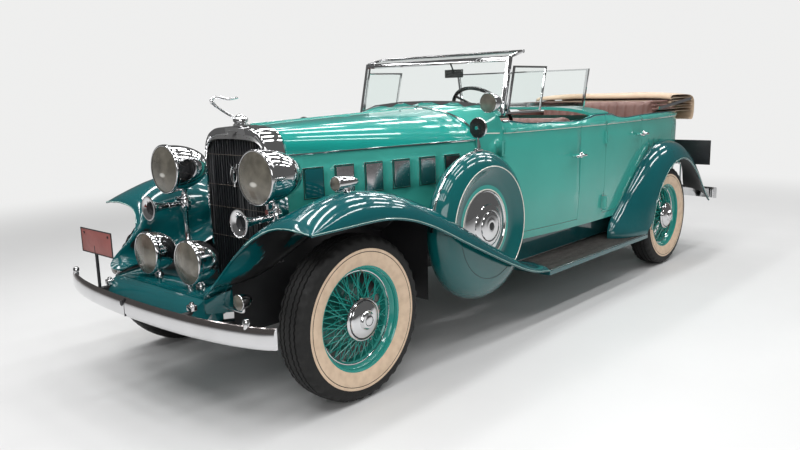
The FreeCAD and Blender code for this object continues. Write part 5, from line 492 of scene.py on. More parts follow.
class Mesh:
    """A mesh under construction with bmesh operators."""

    def __init__(self) -> None:
        """Starts empty."""
        self.bm = bmesh.new()

    def box(self, centre: Point, size: Point, bevel: float = 0.0, segments: int = 2) -> "Mesh":
        """Adds a box with rounded edges.

        Args:
            centre: Its middle.
            size: Its three sizes.
            bevel: The edges' rounding.
            segments: The rounding's steps.

        Returns:
            The mesh itself.
        """
        place = Matrix.Translation(centre) @ Matrix.Diagonal((*size, 1.0))
        made = bmesh.ops.create_cube(self.bm, size=1.0, matrix=place)
        if bevel:
            edges = list({edge for vert in made["verts"] for edge in vert.link_edges})
            bmesh.ops.bevel(self.bm, geom=edges, offset=bevel, segments=segments, profile=0.5, affect="EDGES",
                            material=-1)
        return self

    def spin(self, profile: Profile, centre: Point = (0, 0, 0), axis: Point = (1, 0, 0), steps: int = 48,
             material: int = 0) -> "Mesh":
        """Adds a turned shape.

        Args:
            profile: Pairs of a place along the axis and a radius.
            centre: The profile's zero.
            axis: The direction it is turned about.
            steps: The steps round.
            material: The index of its material.

        Returns:
            The mesh itself.
        """
        unit = Vector(axis).normalized()
        out = unit.orthogonal().normalized()
        verts = [self.bm.verts.new(Vector(centre) + unit * along + out * radius) for along, radius in profile]
        edges = [self.bm.edges.new(pair) for pair in zip(verts, verts[1:])]
        known = set(self.bm.faces)
        bmesh.ops.spin(self.bm, geom=verts + edges, cent=Vector(centre), axis=unit, angle=math.tau, steps=steps,
                       use_merge=True)
        bmesh.ops.remove_doubles(self.bm, verts=self.bm.verts, dist=1e-6)
        fresh = [face for face in self.bm.faces if face not in known]
        for face in fresh:
            face.material_index = material
        bmesh.ops.recalc_face_normals(self.bm, faces=fresh)
        return self

    def tube(self, points: Sequence[Point], radius: float, sides: int = 10, closed: bool = False,
             smooth: bool = True, material: int = 0) -> "Mesh":
        """Adds a round bar along points.

        Args:
            points: The bar's line.
            radius: Its radius.
            sides: The faces round it.
            closed: Whether the line returns to its start.
            smooth: Whether the line is curved through its points.
            material: The index of its material.

        Returns:
            The mesh itself.
        """
        curve = bpy.data.curves.new("line", "CURVE")
        curve.dimensions = "3D"
        curve.bevel_depth = radius
        curve.bevel_resolution = max(0, sides // 4 - 1)
        curve.use_fill_caps = True
        spline = curve.splines.new("NURBS" if smooth else "POLY")
        spline.points.add(len(points) - 1)
        for target, point in zip(spline.points, points):
            target.co = (*point, 1.0)
        spline.use_cyclic_u = closed
        if smooth:
            spline.order_u = 3
            spline.use_endpoint_u = not closed
            spline.resolution_u = 4
        thing = bpy.data.objects.new("line", curve)
        mesh = bpy.data.meshes.new_from_object(thing)
        count = len(self.bm.faces)
        self.bm.from_mesh(mesh)
        self.bm.faces.ensure_lookup_table()
        for face in self.bm.faces[count:]:
            face.material_index = material
            face.smooth = True
        bpy.data.objects.remove(thing)
        bpy.data.curves.remove(curve)
        bpy.data.meshes.remove(mesh)
        return self

    def join(self, other: "Mesh", place: Matrix = Matrix.Identity(4), material: "int | None" = None) -> "Mesh":
        """Adds a placed copy of another mesh."""
        temporary = bpy.data.meshes.new("part")
        other.bm.to_mesh(temporary)
        temporary.transform(place)
        if place.determinant() < 0:
            temporary.flip_normals()
        count = len(self.bm.faces)
        self.bm.from_mesh(temporary)
        if material is not None:
            self.bm.faces.ensure_lookup_table()
            for face in self.bm.faces[count:]:
                face.material_index = material
        bpy.data.meshes.remove(temporary)
        return self

    def mark(self, index: int, test: Callable[[Vector], bool]) -> "Mesh":
        """Gives a material index to the faces whose middle passes a test."""
        for face in self.bm.faces:
            if test(face.calc_center_median()):
                face.material_index = index
        return self

    def loft(self, rows: Sequence[Sequence[Point]], closed: bool = False) -> "Mesh":
        """Lays a skin over rows of points.

        Args:
            rows: Rows with as many points each.
            closed: Whether each row is a loop, whose first and last one are filled.

        Returns:
            The mesh itself.
        """
        lines = [[self.bm.verts.new(point) for point in row] for row in rows]
        for first, second in zip(lines, lines[1:]):
            pairs = list(zip(first, second))
            for (a, d), (b, c) in zip(pairs, pairs[1:] + pairs[:closed]):
                self.bm.faces.new((a, b, c, d))
        if closed:
            self.bm.faces.new(lines[0])
            self.bm.faces.new(lines[-1][::-1])
            bmesh.ops.recalc_face_normals(self.bm, faces=self.bm.faces[:])
        return self

    def at(self, place: Matrix) -> "Mesh":
        """Returns a placed copy."""
        return Mesh().join(self, place)

    def mirrored(self) -> "Mesh":
        """Returns a copy for the car's other side."""
        return self.at(Matrix.Diagonal((-1.0, 1.0, 1.0, 1.0)))

    def both(self) -> "Mesh":
        """Returns the mesh with its copy for the car's other side."""
        return Mesh().join(self).join(self.mirrored())


class Shop:
    """Where the pieces are finished, placed on their bodies and counted."""

    def __init__(self, frame: dict) -> None:
        """Keeps the frame.
        """
        self.frame = frame
        self.materials: dict[str, bpy.types.Material] = {}

    def material(self, finish: Finish) -> bpy.types.Material:
        """Returns a finish's material, built once."""
        if finish.name not in self.materials:
            self.materials[finish.name] = finish.build()
        return self.materials[finish.name]

    def add(self, name: str, mesh: Mesh, finishes: "Finish | Sequence[Finish]", body: str = "body",
            replaces: Sequence[str] = (), angle: float = SMOOTH_ANGLE) -> bpy.types.Object:
        """Makes a piece of a mesh and puts it on its body.

        Args:
            name: The piece's name.
            mesh: The finished mesh.
            finishes: Its finish, or one for each material index.
            body: The body that carries it.
            replaces: The solids that it stands for.
            angle: The angle over which an edge stays sharp.

        Returns:
            The piece's object.
        """
        several = [finishes] if isinstance(finishes, Finish) else list(finishes)
        data = bpy.data.meshes.new(name)
        mesh.bm.to_mesh(data)
        mesh.bm.free()
        for finish in several:
            data.materials.append(self.material(finish))
        data.shade_smooth()
        data.set_sharp_from_angle(angle=angle)
        piece = bpy.data.objects.new(name, data)
        bpy.context.scene.collection.objects.link(piece)
        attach(piece, body)
        if replaces:
            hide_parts(*replaces)
        LOG.info("%s: %d faces on %s", name, len(data.polygons), body)
        return piece

    def paint(self, finish: Finish, *nodes: str) -> None:
        """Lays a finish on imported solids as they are."""
        for node in nodes:
            data = self.frame["nodes"][node].data
            if not data.materials:
                data.materials.append(None)
            for index in range(len(data.materials)):
                data.materials[index] = self.material(finish)

    def copy(self, node: str) -> Mesh:
        """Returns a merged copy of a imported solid's mesh."""
        mesh = Mesh()
        mesh.bm.from_mesh(self.frame["nodes"][node].data)
        bmesh.ops.remove_doubles(mesh.bm, verts=mesh.bm.verts, dist=1e-5)
        for face in mesh.bm.faces:
            face.material_index = 0
        return mesh

    def skin(self, finish: Finish, *nodes: str, angle: float = SMOOTH_ANGLE) -> None:
        """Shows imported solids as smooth-shaded copies in a finish."""
        for node in nodes:
            body = self.frame["nodes"][node]["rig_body"]
            self.add(node + "_skin", self.copy(node), finish, body, (node,), angle)


@dataclass
class Studio:
    """The camera, the pale floor and the soft light."""

    camera_at: Point = (3.209, -4.303, 1.465)
    yaw: float = 132.152
    pitch: float = -10.2916
    roll: float = -1.4959
    lens: float = 32.82
    floor_half: float = 40.0
    floor_tone: float = 0.7
    backdrop: tuple[float, float, float, float] = (0.86, 0.86, 0.855, 1.0)
    fade_start: float = 3.6
    fade_end: float = 8.5
    panel_size: tuple[float, float] = (0.34, 1.35)
    panel_rows: int = 6
    panel_columns: int = 5
    panel_height: float = 4.6
    panel_power: float = 22.0
    fill_power: float = 130.0
    ambient: float = 0.36
    mirrored: float = 0.15

    def camera(self) -> None:
        """Sets the camera at the photograph's place."""
        data = bpy.data.cameras.new("camera")
        data.lens = self.lens
        data.sensor_width = 36.0
        yaw, pitch, roll = (math.radians(angle) for angle in (self.yaw, self.pitch, self.roll))
        ahead = Vector((math.cos(pitch) * math.cos(yaw), math.cos(pitch) * math.sin(yaw), math.sin(pitch)))
        level = ahead.cross(Vector((0, 0, 1))).normalized()
        upright = level.cross(ahead)
        right = level * math.cos(roll) + upright * math.sin(roll)
        up = upright * math.cos(roll) - level * math.sin(roll)
        camera = bpy.data.objects.new("camera", data)
        camera.matrix_world = Matrix.Translation(self.camera_at) @ Matrix((right, up, -ahead)).transposed().to_4x4()
        bpy.context.scene.collection.objects.link(camera)
        bpy.context.scene.camera = camera

    def floor(self) -> None:
        """Lays the pale floor, which fades into the white background."""
        surface = Surface("pale_floor")
        distance = surface.add("ShaderNodeVectorMath", operation="LENGTH")
        surface.link(surface.coords.outputs["Object"], distance.inputs[0])
        fade = surface.add("ShaderNodeMapRange", interpolation_type="SMOOTHSTEP")
        fade.inputs["From Min"].default_value = self.fade_start
        fade.inputs["From Max"].default_value = self.fade_end
        surface.link(distance.outputs["Value"], fade.inputs["Value"])
        surface.mottle(0.8, 3.0, (0.2, (self.floor_tone * 0.97,) * 3), (0.8, (self.floor_tone,) * 3))
        surface.rough(surface.noise(6.0, 3.0), 0.36, 0.5)
        surface.set(specular_ior_level=0.3)
        glow = surface.add("ShaderNodeEmission")
        glow.inputs["Color"].default_value = self.backdrop
        seen = surface.add("ShaderNodeLightPath")
        shown = surface.math("MAXIMUM", seen.outputs["Is Camera Ray"], seen.outputs["Is Transmission Ray"])
        blend = surface.add("ShaderNodeMixShader")
        surface.link(surface.math("MULTIPLY", fade.outputs["Result"], shown), blend.inputs[0])
        surface.link(surface.shader.outputs[0], blend.inputs[1])
        surface.link(glow.outputs[0], blend.inputs[2])
        surface.link(blend.outputs[0], surface.tree.nodes["Material Output"].inputs["Surface"])
        mesh = bpy.data.meshes.new("floor")
        bm = bmesh.new()
        bmesh.ops.create_grid(bm, x_segments=1, y_segments=1, size=self.floor_half)
        bm.to_mesh(mesh)
        bm.free()
        mesh.materials.append(surface.material)
        floor = bpy.data.objects.new("floor", mesh)
        bpy.context.scene.collection.objects.link(floor)

    def world(self) -> None:
        """Gives the world its even light and its white background."""
        world = bpy.data.worlds.new("studio")
        bpy.context.scene.world = world
        world.use_nodes = True
        tree = world.node_tree
        back = tree.nodes["Background"]
        back.inputs["Color"].default_value = self.backdrop
        seen = tree.nodes.new("ShaderNodeLightPath")
        second = tree.nodes.new("ShaderNodeMath")
        second.operation = "MAXIMUM"
        tree.links.new(seen.outputs["Is Camera Ray"], second.inputs[0])
        tree.links.new(seen.outputs["Is Transmission Ray"], second.inputs[1])
        span = tree.nodes.new("ShaderNodeMapRange")
        dim = tree.nodes.new("ShaderNodeMath")
        dim.operation = "MULTIPLY_ADD"
        tree.links.new(seen.outputs["Is Glossy Ray"], dim.inputs[0])
        dim.inputs[1].default_value = self.mirrored - self.ambient
        dim.inputs[2].default_value = self.ambient
        tree.links.new(dim.outputs[0], span.inputs["To Min"])
        span.inputs["To Max"].default_value = 1.0
        tree.links.new(second.outputs[0], span.inputs["Value"])
        tree.links.new(span.outputs["Result"], back.inputs["Strength"])

    def lamp(self, name: str, size: tuple[float, float], power: float, place: Point,
             turn: tuple[float, float] = (0.0, 0.0)) -> None:
        """Hangs a soft panel.

        Args:
            name: Its name.
            size: Its width and length.
            power: Its power in watts.
            place: Its middle.
            turn: Its turns about X and Z in degrees.
        """
        data = bpy.data.lights.new(name, "AREA")
        data.shape = "RECTANGLE"
        data.size, data.size_y = size
        data.energy = power
        lamp = bpy.data.objects.new(name, data)
        lamp.location = place
        lamp.rotation_euler = (math.radians(turn[0]), 0.0, math.radians(turn[1]))
        bpy.context.scene.collection.objects.link(lamp)

    def lamps(self) -> None:
        """Hangs rows of soft panels overhead, whose shapes show in the paint as a studio's do."""
        for row in range(self.panel_rows):
            for column in range(self.panel_columns):
                place = (1.5 * (column - (self.panel_columns - 1) / 2), 2.0 * (row - (self.panel_rows - 1) / 2),
                         self.panel_height)
                self.lamp(f"panel_{row}_{column}", self.panel_size, self.panel_power, place)
        self.lamp("front_fill", (5.0, 2.4), self.fill_power, (6.5, -6.5, 3.4), (66, 45))

    def build(self) -> None:
        """Sets up the whole stage."""
        bpy.context.scene.view_settings.view_transform = "Standard"
        self.camera()
        self.floor()
        self.world()
        self.lamps()


@dataclass
class RoadWheel:
    """A wire wheel with its tyre, hub cap and drum, at one corner of the car."""

    corner: str
    side: Side
    x: float
    y: float
    tread_steps: int = 160
    spokes: int = 30

    def tyre(self) -> Mesh:
        """Shapes the tyre, its black tread first and its pale outer wall second."""
        outer = [(0.064, 0.252), (0.073, 0.262), (0.0815, 0.285), (0.0862, 0.308), (0.0868, 0.326),
                 (0.0858, 0.3268), (0.0858, 0.3285), (0.0868, 0.3295), (0.0864, 0.337), (0.0872, 0.34),
                 (0.0866, 0.343)]
        tread = [(0.0866, 0.343), (0.0858, 0.3445), (0.085, 0.356), (0.0832, 0.366), (0.0822, 0.371),
                 (0.08, 0.381), (0.0775, 0.388), (0.071, 0.3965), (0.066, 0.3985), (0.052, 0.4022), (0.0505, 0.3945),
                 (0.0445, 0.3945),
                 (0.043, 0.4035), (0.0235, 0.4052), (0.022, 0.3968), (0.016, 0.3968), (0.0145, 0.4056)]
        inner = [(-u, r) for u, r in reversed(tread)] + [(-u, r) for u, r in reversed(outer)]
        body = Mesh().spin(tread + inner, steps=self.tread_steps)
        self.cut_tread(body)
        body.spin(outer, steps=96, material=1)
        return body.mark(0, lambda place: 0.3262 < off_axis(place) < 0.3292)

    def cut_tread(self, mesh: Mesh) -> None:
        """Gives the grooves their zigzag and the shoulders their lugs."""
        half = math.tau / self.tread_steps
        for vert in mesh.bm.verts:
            u = vert.co.x
            radius = off_axis(vert.co)
            step = round(math.atan2(vert.co.z, vert.co.y) / half)
            if radius > 0.393 and abs(u) < 0.055:
                vert.co.x += 0.0034 * (1 if step % 2 else -1)
            elif 0.387 < radius < 0.399 and step % 4 in (0, 1):
                scale = (radius - 0.0065) / radius
                vert.co.y *= scale
                vert.co.z *= scale

    def rim(self) -> Mesh:
        """Shapes the rim with its inner step's bright ring as a second finish."""
        profile = [(0.0655, 0.25), (0.0705, 0.2555), (0.07, 0.2615), (0.0655, 0.2625), (0.0635, 0.256),
                   (0.06, 0.247), (0.05, 0.2455), (0.043, 0.238), (0.03, 0.234), (0.0235, 0.226),
                   (0.017, 0.219), (-0.02, 0.216), (-0.048, 0.24), (-0.062, 0.2455), (-0.07, 0.26),
                   (-0.066, 0.2625), (-0.064, 0.251), (0.0655, 0.25)]
        band = [(0.0285, 0.2335), (0.032, 0.2305), (0.0318, 0.2268), (0.028, 0.2245), (0.024, 0.2256),
                (0.0285, 0.2335)]
        return Mesh().spin(profile, steps=96).spin(band, steps=96, material=1)

    def wires(self) -> Mesh:
        """Laces three rows of thin spokes from the hub to the rim."""
        mesh = Mesh()
        rows = ((0.075, 0.062, 0.022, 0.2175, 34.0), (0.06, 0.074, 0.008, 0.2165, -34.0),
                (-0.03, 0.06, -0.012, 0.2165, 26.0))
        for row, (hub_x, hub_radius, rim_x, rim_radius, lean) in enumerate(rows):
            for spoke in range(self.spokes):
                turn = math.tau * (spoke + row / 3) / self.spokes
                foot = turn + math.radians(lean) * (1 if spoke % 2 else -1)
                ends = [(hub_x, hub_radius * math.cos(foot), hub_radius * math.sin(foot)),
                        (rim_x, rim_radius * math.cos(turn), rim_radius * math.sin(turn))]
                mesh.tube(ends, 0.0026, sides=8, smooth=False)
        return mesh

    def drum(self) -> Mesh:
        """Shapes the brake drum and the hub barrel."""
        drum = [(-0.046, 0.0), (-0.046, 0.15), (-0.05, 0.166), (-0.054, 0.178), (-0.06, 0.184), (-0.068, 0.184),
                (-0.07, 0.18), (-0.076, 0.18), (-0.078, 0.184), (-0.097, 0.184), (-0.097, 0.176)]
        hub = [(-0.046, 0.066), (-0.03, 0.066), (-0.024, 0.056), (0.03, 0.056), (0.05, 0.074), (0.078, 0.08),
               (0.082, 0.074), (0.082, 0.0)]
        return Mesh().spin(drum, steps=72).spin(hub, steps=48)

    def cap(self) -> Mesh:
        """Shapes the bright hub cap, with a dark groove ring, a faceted middle and a plain medallion."""
        profile = [(0.068, 0.098), (0.07, 0.1055), (0.075, 0.107), (0.079, 0.1045), (0.081, 0.1),
                   (0.084, 0.0975), (0.0825, 0.0955), (0.0825, 0.0905), (0.086, 0.089), (0.094, 0.079),
                   (0.1, 0.062), (0.1035, 0.048), (0.103, 0.0455), (0.1075, 0.044), (0.1125, 0.0405),
                   (0.115, 0.0385), (0.117, 0.026), (0.1155, 0.0245), (0.1165, 0.0225), (0.1185, 0.013),
                   (0.119, 0.0)]
        mesh = Mesh().spin(profile, steps=72)
        for vert in mesh.bm.verts:
            radius = off_axis(vert.co)
            if 0.036 < radius < 0.0445:
                angle = math.atan2(vert.co.z, vert.co.y)
                flat = math.cos(math.pi / 8) / math.cos((angle % (math.pi / 4)) - math.pi / 8)
                vert.co.y *= flat
                vert.co.z *= flat
        return mesh.mark(1, lambda place: 0.0905 < off_axis(place) < 0.0956 or 0.0225 < off_axis(place) < 0.0262)

    def build(self, shop: Shop) -> None:
        """Dresses the corner's tyre and wheel."""
        name, body = self.corner, "road_wheel_" + self.corner
        place = self.side.outward(self.x, self.y, AXLE_Z)
        shop.add(f"tyre_{name}_dressed", self.tyre().at(place), (TYRE_BLACK, WHITEWALL), body,
                 (f"tyre_{name}",), ROUND_ANGLE)
        shop.add(f"rim_{name}", self.rim().at(place), (WHEEL_GREEN, BRIGHT), body, (f"wheel_{name}",))
        shop.add(f"spokes_{name}", self.wires().at(place), WHEEL_GREEN, body)
        shop.add(f"drum_{name}", self.drum().at(place), DRUM_GREEN, body)
        shop.add(f"hub_cap_{name}", self.cap().at(place), (BRIGHT, GRILLE), body, angle=CRISP_ANGLE)
        valve = Mesh().tube([(0.052, 0.0, 0.247), (0.07, 0.004, 0.236), (0.084, 0.006, 0.226)], 0.0032, 8)
        shop.add(f"valve_{name}", valve.at(place), BRIGHT, body)


class Probe:
    """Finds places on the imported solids' surfaces."""

    def __init__(self, shop: Shop, *nodes: str) -> None:
        """Gathers the named solids.

        Args:
            shop: The shop that holds the frame.
            *nodes: The solids' names.
        """
        mesh = bmesh.new()
        for node in nodes:
            mesh.from_mesh(shop.frame["nodes"][node].data)
        self.tree = BVHTree.FromBMesh(mesh)
        mesh.free()

    def hit(self, start: Point, way: Point) -> "Vector | None":
        """Returns where a ray first meets the solids."""
        return self.tree.ray_cast(Vector(start), Vector(way))[0]

    def side(self, y: float, z: float, lift: float = 0.0) -> "Vector | None":
        """Returns the place on the left side at a height, moved outwards by a lift."""
        found = self.hit((1.3, y, z), (-1, 0, 0))
        return found + Vector((lift, 0, 0)) if found else None

    def top(self, x: float, y: float, lift: float = 0.0) -> "Vector | None":
        """Returns the highest place over a point of the ground, moved up by a lift."""
        found = self.hit((x, y, 2.5), (0, 0, -1))
        return found + Vector((0, 0, lift)) if found else None


@dataclass
class Coachwork:
    """The painted panels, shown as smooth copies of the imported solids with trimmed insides."""

    lining_limit: float = -0.45
    carpet_level: float = 0.76
    nose_y: float = station(-0.47)

    def lined(self, shop: Shop, node: str, finish: Finish) -> None:
        """Shows a panel with leather on its inner side and carpet on its floor.

        Args:
            shop: The shop.
            node: The solid's name.
            finish: The outside's finish.
        """
        mesh = shop.copy(node)
        mesh.bm.normal_update()
        for face in mesh.bm.faces:
            middle = face.calc_center_median()
            inward = face.normal.x * (1 if middle.x > 0 else -1) < self.lining_limit
            if face.normal.z > 0.7 and middle.z < self.carpet_level and middle.y > -0.56:
                face.material_index = 2
            elif inward and middle.y > -0.5 and abs(middle.x) > 0.3 and middle.z > 0.55:
                face.material_index = 1
        body = shop.frame["nodes"][node]["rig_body"]
        piece = shop.add(node + "_skin", mesh, (finish, LEATHER, CARPET), body, (node,), PANEL_ANGLE)
        piece.modifiers.new("normals", "WEIGHTED_NORMAL").keep_sharp = True

    def fenders(self, shop: Shop, node: str, axle_y: float) -> None:
        """Shows a pair of fenders, black on the faces that look at the wheel.

        Args:
            shop: The shop.
            node: The solid's name.
            axle_y: The y of the wheels that they cover.
        """
        mesh = shop.copy(node)
        mesh.bm.normal_update()
        for face in mesh.bm.faces:
            middle = face.calc_center_median()
            if face.normal.y * (axle_y - middle.y) + face.normal.z * (AXLE_Z - middle.z) > 0.04 \
                    and middle.y > self.nose_y:
                face.material_index = 1
        shop.add(node + "_skin", mesh, (DARK_TEAL, CHASSIS), "body", (node,))

    def build(self, shop: Shop) -> None:
        """Dresses the coachwork."""
        for node in ("body_tub", "front_left_door", "front_right_door", "rear_left_door", "rear_right_door",
                     "partition"):
            self.lined(shop, node, BODY_GREEN)
        shop.skin(BODY_GREEN, "cowl", angle=PANEL_ANGLE)
        shop.skin(HOOD_GREEN, "hood_left_top", "hood_right_top")
        shop.skin(BODY_GREEN, "hood_left_side", "hood_right_side")
        self.fenders(shop, "front_fenders", FRONT_AXLE_Y)
        self.fenders(shop, "rear_fenders", REAR_AXLE_Y)
        shop.skin(DARK_TEAL, "front_apron", "splash_panels")
        shop.skin(DARK_TEAL, "running_boards", angle=CRISP_ANGLE)


@dataclass
class Underparts:
    """The chassis, the engine and what hangs from them."""

    teal_limit: float = -2.25
    house_x: float = 0.428
    house_outer_x: float = 0.765
    house_base_z: float = 0.36
    house_start: float = -0.45
    house_end: float = 0.56

    def wheel_houses(self, shop: Shop) -> None:
        """Closes the front wheel houses towards the engine and the running boards."""
        probe = Probe(shop, "front_fenders")
        mesh = Mesh()
        lines = [[(self.house_x, station(self.house_start + (self.house_end - self.house_start) * n / 12))
                  for n in range(13)],
                 [(self.house_x + (self.house_outer_x - self.house_x) * n / 6, station(self.house_end))
                  for n in range(7)]]
        for line in lines:
            pairs = []
            for x, y in line:
                roof = probe.hit((x, y, self.house_base_z), (0, 0, 1))
                if roof:
                    pairs.append([(x, y, self.house_base_z), (x, y, roof.z - 0.003)])
            mesh.loft(pairs[::-1])
        shop.add("wheel_houses", mesh.both(), CHASSIS)

    def build(self, shop: Shop) -> None:
        """Dresses the parts below the body."""
        frame = shop.copy("frame").mark(1, lambda place: place.y < self.teal_limit)
        shop.add("frame_skin", frame, (CHASSIS, DARK_TEAL), replaces=("frame",))
        self.wheel_houses(shop)
        shop.skin(CHASSIS, "front_axle", "rear_axle", "leaf_springs", "driveline", "fuel_tank",
                  "knuckle_left", "knuckle_right", "tie_rod", "steering_column")
        shop.skin(ENGINE, "engine_block")
        shop.skin(EXHAUST, "exhaust")
        shop.skin(GRILLE, "radiator_grille")
        shop.skin(BRIGHT, "radiator_shell", "rear_bumper", "windscreen_frame",
                  "wind_wings", "rear_screen_frame", "top_irons")
        shop.paint(GLASS, "screen_glass")


@dataclass
class Bullet:
    """A bullet-shaped lamp: a bright shell, a rim and a fluted lens."""

    centre: Point
    radius: float
    length: float
    rim: float
    axis: Point = (0, 1, 0)
    steps: int = 72

    def shell(self) -> Mesh:
        """Shapes the shell with its rolled rim."""
        r, n, rim = self.radius, self.length, self.rim
        profile = [(-0.1 * rim, r * 0.925), (-0.16 * rim, r * 0.95), (-0.1 * rim, r * 0.975), (0.1 * rim, r * 0.995),
                   (0.5 * rim, r), (0.92 * rim, r * 0.997), (1.08 * rim, r * 0.975), (1.12 * rim, r * 0.955)]
        for step in range(1, 21):
            share = step / 20
            along = 1.12 * rim + (n - 1.12 * rim) * share
            profile.append((along, r * 0.95 * math.sqrt(max(0.0, 1 - share ** 2.15))))
        return Mesh().spin(profile, self.centre, self.axis, self.steps)

    def lens(self) -> Mesh:
        """Shapes the domed lens."""
        r, rim = self.radius, self.rim
        profile = [(-0.68 * rim + 0.66 * rim * (share / 10) ** 2, r * 0.935 * share / 10) for share in range(11)]
        return Mesh().spin(profile, self.centre, self.axis, self.steps)

    def build(self, shop: Shop, name: str, extra: "Mesh | None" = None, replaces: Sequence[str] = (),
              glass: "Finish | None" = None) -> None:
        """Adds the lamp to the body.

        Args:
            shop: The shop.
            name: The lamp's name.
            extra: More bright metal that belongs to it.
            replaces: The solids that it stands for.
            glass: Its lens, the fluted glass when left out.
        """
        shell = self.shell()
        if extra:
            shell.join(extra)
        shop.add(name, shell, BRIGHT, replaces=replaces, angle=ROUND_ANGLE)
        shop.add(name + "_lens", self.lens(), glass or LAMP_GLASS)


@dataclass
class FrontLamps:
    """Headlamps, driving lamps, signal lamps, fender lamps and the trumpet horns."""

    headlamp_x: float = 0.405
    headlamp_y: float = station(-0.266)
    headlamp_z: float = 1.085
    bar_y: float = station(-0.152)
    bar_z: float = 0.884
    fog_x: float = 0.189
    fog_y: float = station(-0.531)
    fog_z: float = 0.694
    signal_x: float = 0.567
    signal_y: float = station(-0.52)
    signal_z: float = 0.563
    fender_lamp_x: float = 0.74
    fender_lamp_y: float = station(0.01) - 0.075
    fender_lamp_z: float = 1.056
    horn_x: float = 0.408
    horn_y: float = station(-0.379)

    def stanchion(self, side: Side, foot: float) -> Mesh:
        """Shapes a headlamp's stanchion with its clamp and knuckles.

        Args:
            side: The side of the car.
            foot: The height of the fender under it.

        Returns:
            The stanchion.
        """
        x, y = side.value * self.headlamp_x, self.bar_y
        post = [(foot, 0.0), (foot, 0.03), (foot + 0.014, 0.022), (foot + 0.03, 0.0165), (0.835, 0.015), (0.845, 0.024),
                (0.855, 0.029), (0.884, 0.034), (0.912, 0.029), (0.922, 0.022), (0.935, 0.017), (0.958, 0.017),
                (0.965, 0.024), (0.985, 0.028), (1.02, 0.0)]
        mesh = Mesh().spin(post, (x, y, 0), (0, 0, 1), 32)
        nut = [(-0.034, 0.0), (-0.034, 0.016), (-0.026, 0.02), (0.026, 0.02), (0.034, 0.016), (0.034, 0.0)]
        mesh.spin(nut, (x, y, self.bar_z), (1, 0, 0), 24)
        mesh.spin([(-0.02, 0.0), (-0.02, 0.013), (0.02, 0.013), (0.024, 0.0)], (x, y - 0.038, self.bar_z + 0.03),
                  (0, 1, 0), 16)
        return mesh

    def horn(self, side: Side) -> Mesh:
        """Shapes a trumpet horn."""
        profile = [(0.03, 0.0), (0.03, 0.02), (0.012, 0.034), (0.003, 0.052), (0.0, 0.062), (0.001, 0.0675),
                   (0.005, 0.0665), (0.01, 0.056), (0.018, 0.046), (0.034, 0.035), (0.056, 0.027),
                   (0.085, 0.02), (0.125, 0.016), (0.19, 0.015)]
        x, y, z = side.value * self.horn_x, self.horn_y, self.bar_z
        mesh = Mesh().spin(profile, (x, y, z), (0, 1, 0), 56)
        mesh.mark(1, lambda place: place.y - y < 0.031 and math.hypot(place.x - x, place.z - z) < 0.038)
        return mesh.spin([(0.12, 0.015), (0.12, 0.019), (0.132, 0.019), (0.132, 0.015)], (x, y, z), (0, 1, 0), 32)

    def build(self, shop: Shop) -> None:
        """Adds the lamps and horns."""
        foot = Probe(shop, "front_fenders").top(self.headlamp_x, self.bar_y)
        base = foot.z - 0.004
        for side in Side:
            sign, word = side.value, side.word
            lamp = Bullet((sign * self.headlamp_x, self.headlamp_y, self.headlamp_z), 0.136, 0.268, 0.022)
            lamp.build(shop, f"headlamp_{word}", self.stanchion(side, base), ("headlamps",))
            fog = Bullet((sign * self.fog_x, self.fog_y, self.fog_z), 0.11, 0.165, 0.022)
            stem = Mesh().spin([(0.567, 0.0), (0.567, 0.023), (0.575, 0.0225), (0.588, 0.011), (0.61, 0.01),
                                (0.64, 0.01)], (sign * self.fog_x, self.fog_y + 0.066, 0), (0, 0, 1), 24)
            fog.build(shop, f"driving_lamp_{word}", stem, ("driving_lamps",))
            signal = Bullet((sign * self.signal_x, self.signal_y, self.signal_z), 0.038, 0.074, 0.0073, steps=40)
            y = self.signal_y + 0.03
            arm = Mesh().tube([(sign * FRAME_SIDE_X, y, 0.511), (sign * 0.5, y, 0.511), (sign * 0.558, y, 0.511),
                               (sign * self.signal_x, y, 0.52), (sign * self.signal_x, y, 0.556)], 0.008, 12)
            signal.build(shop, f"signal_lamp_{word}", arm, ("driving_lamps",))
            top = Bullet((sign * self.fender_lamp_x, self.fender_lamp_y, self.fender_lamp_z), 0.035, 0.15, 0.0073,
                         steps=48)
            foot = Mesh().spin([(1.0, 0.0), (1.0, 0.03), (1.012, 0.024), (1.02, 0.016), (1.04, 0.015)],
                               (sign * self.fender_lamp_x, station(0.01), 0), (0, 0, 1), 32)
            top.build(shop, f"fender_lamp_{word}", foot, ("fender_lamps",))
            shop.add(f"horn_{word}", self.horn(side), (BRIGHT, GRILLE), replaces=("horns",), angle=ROUND_ANGLE)


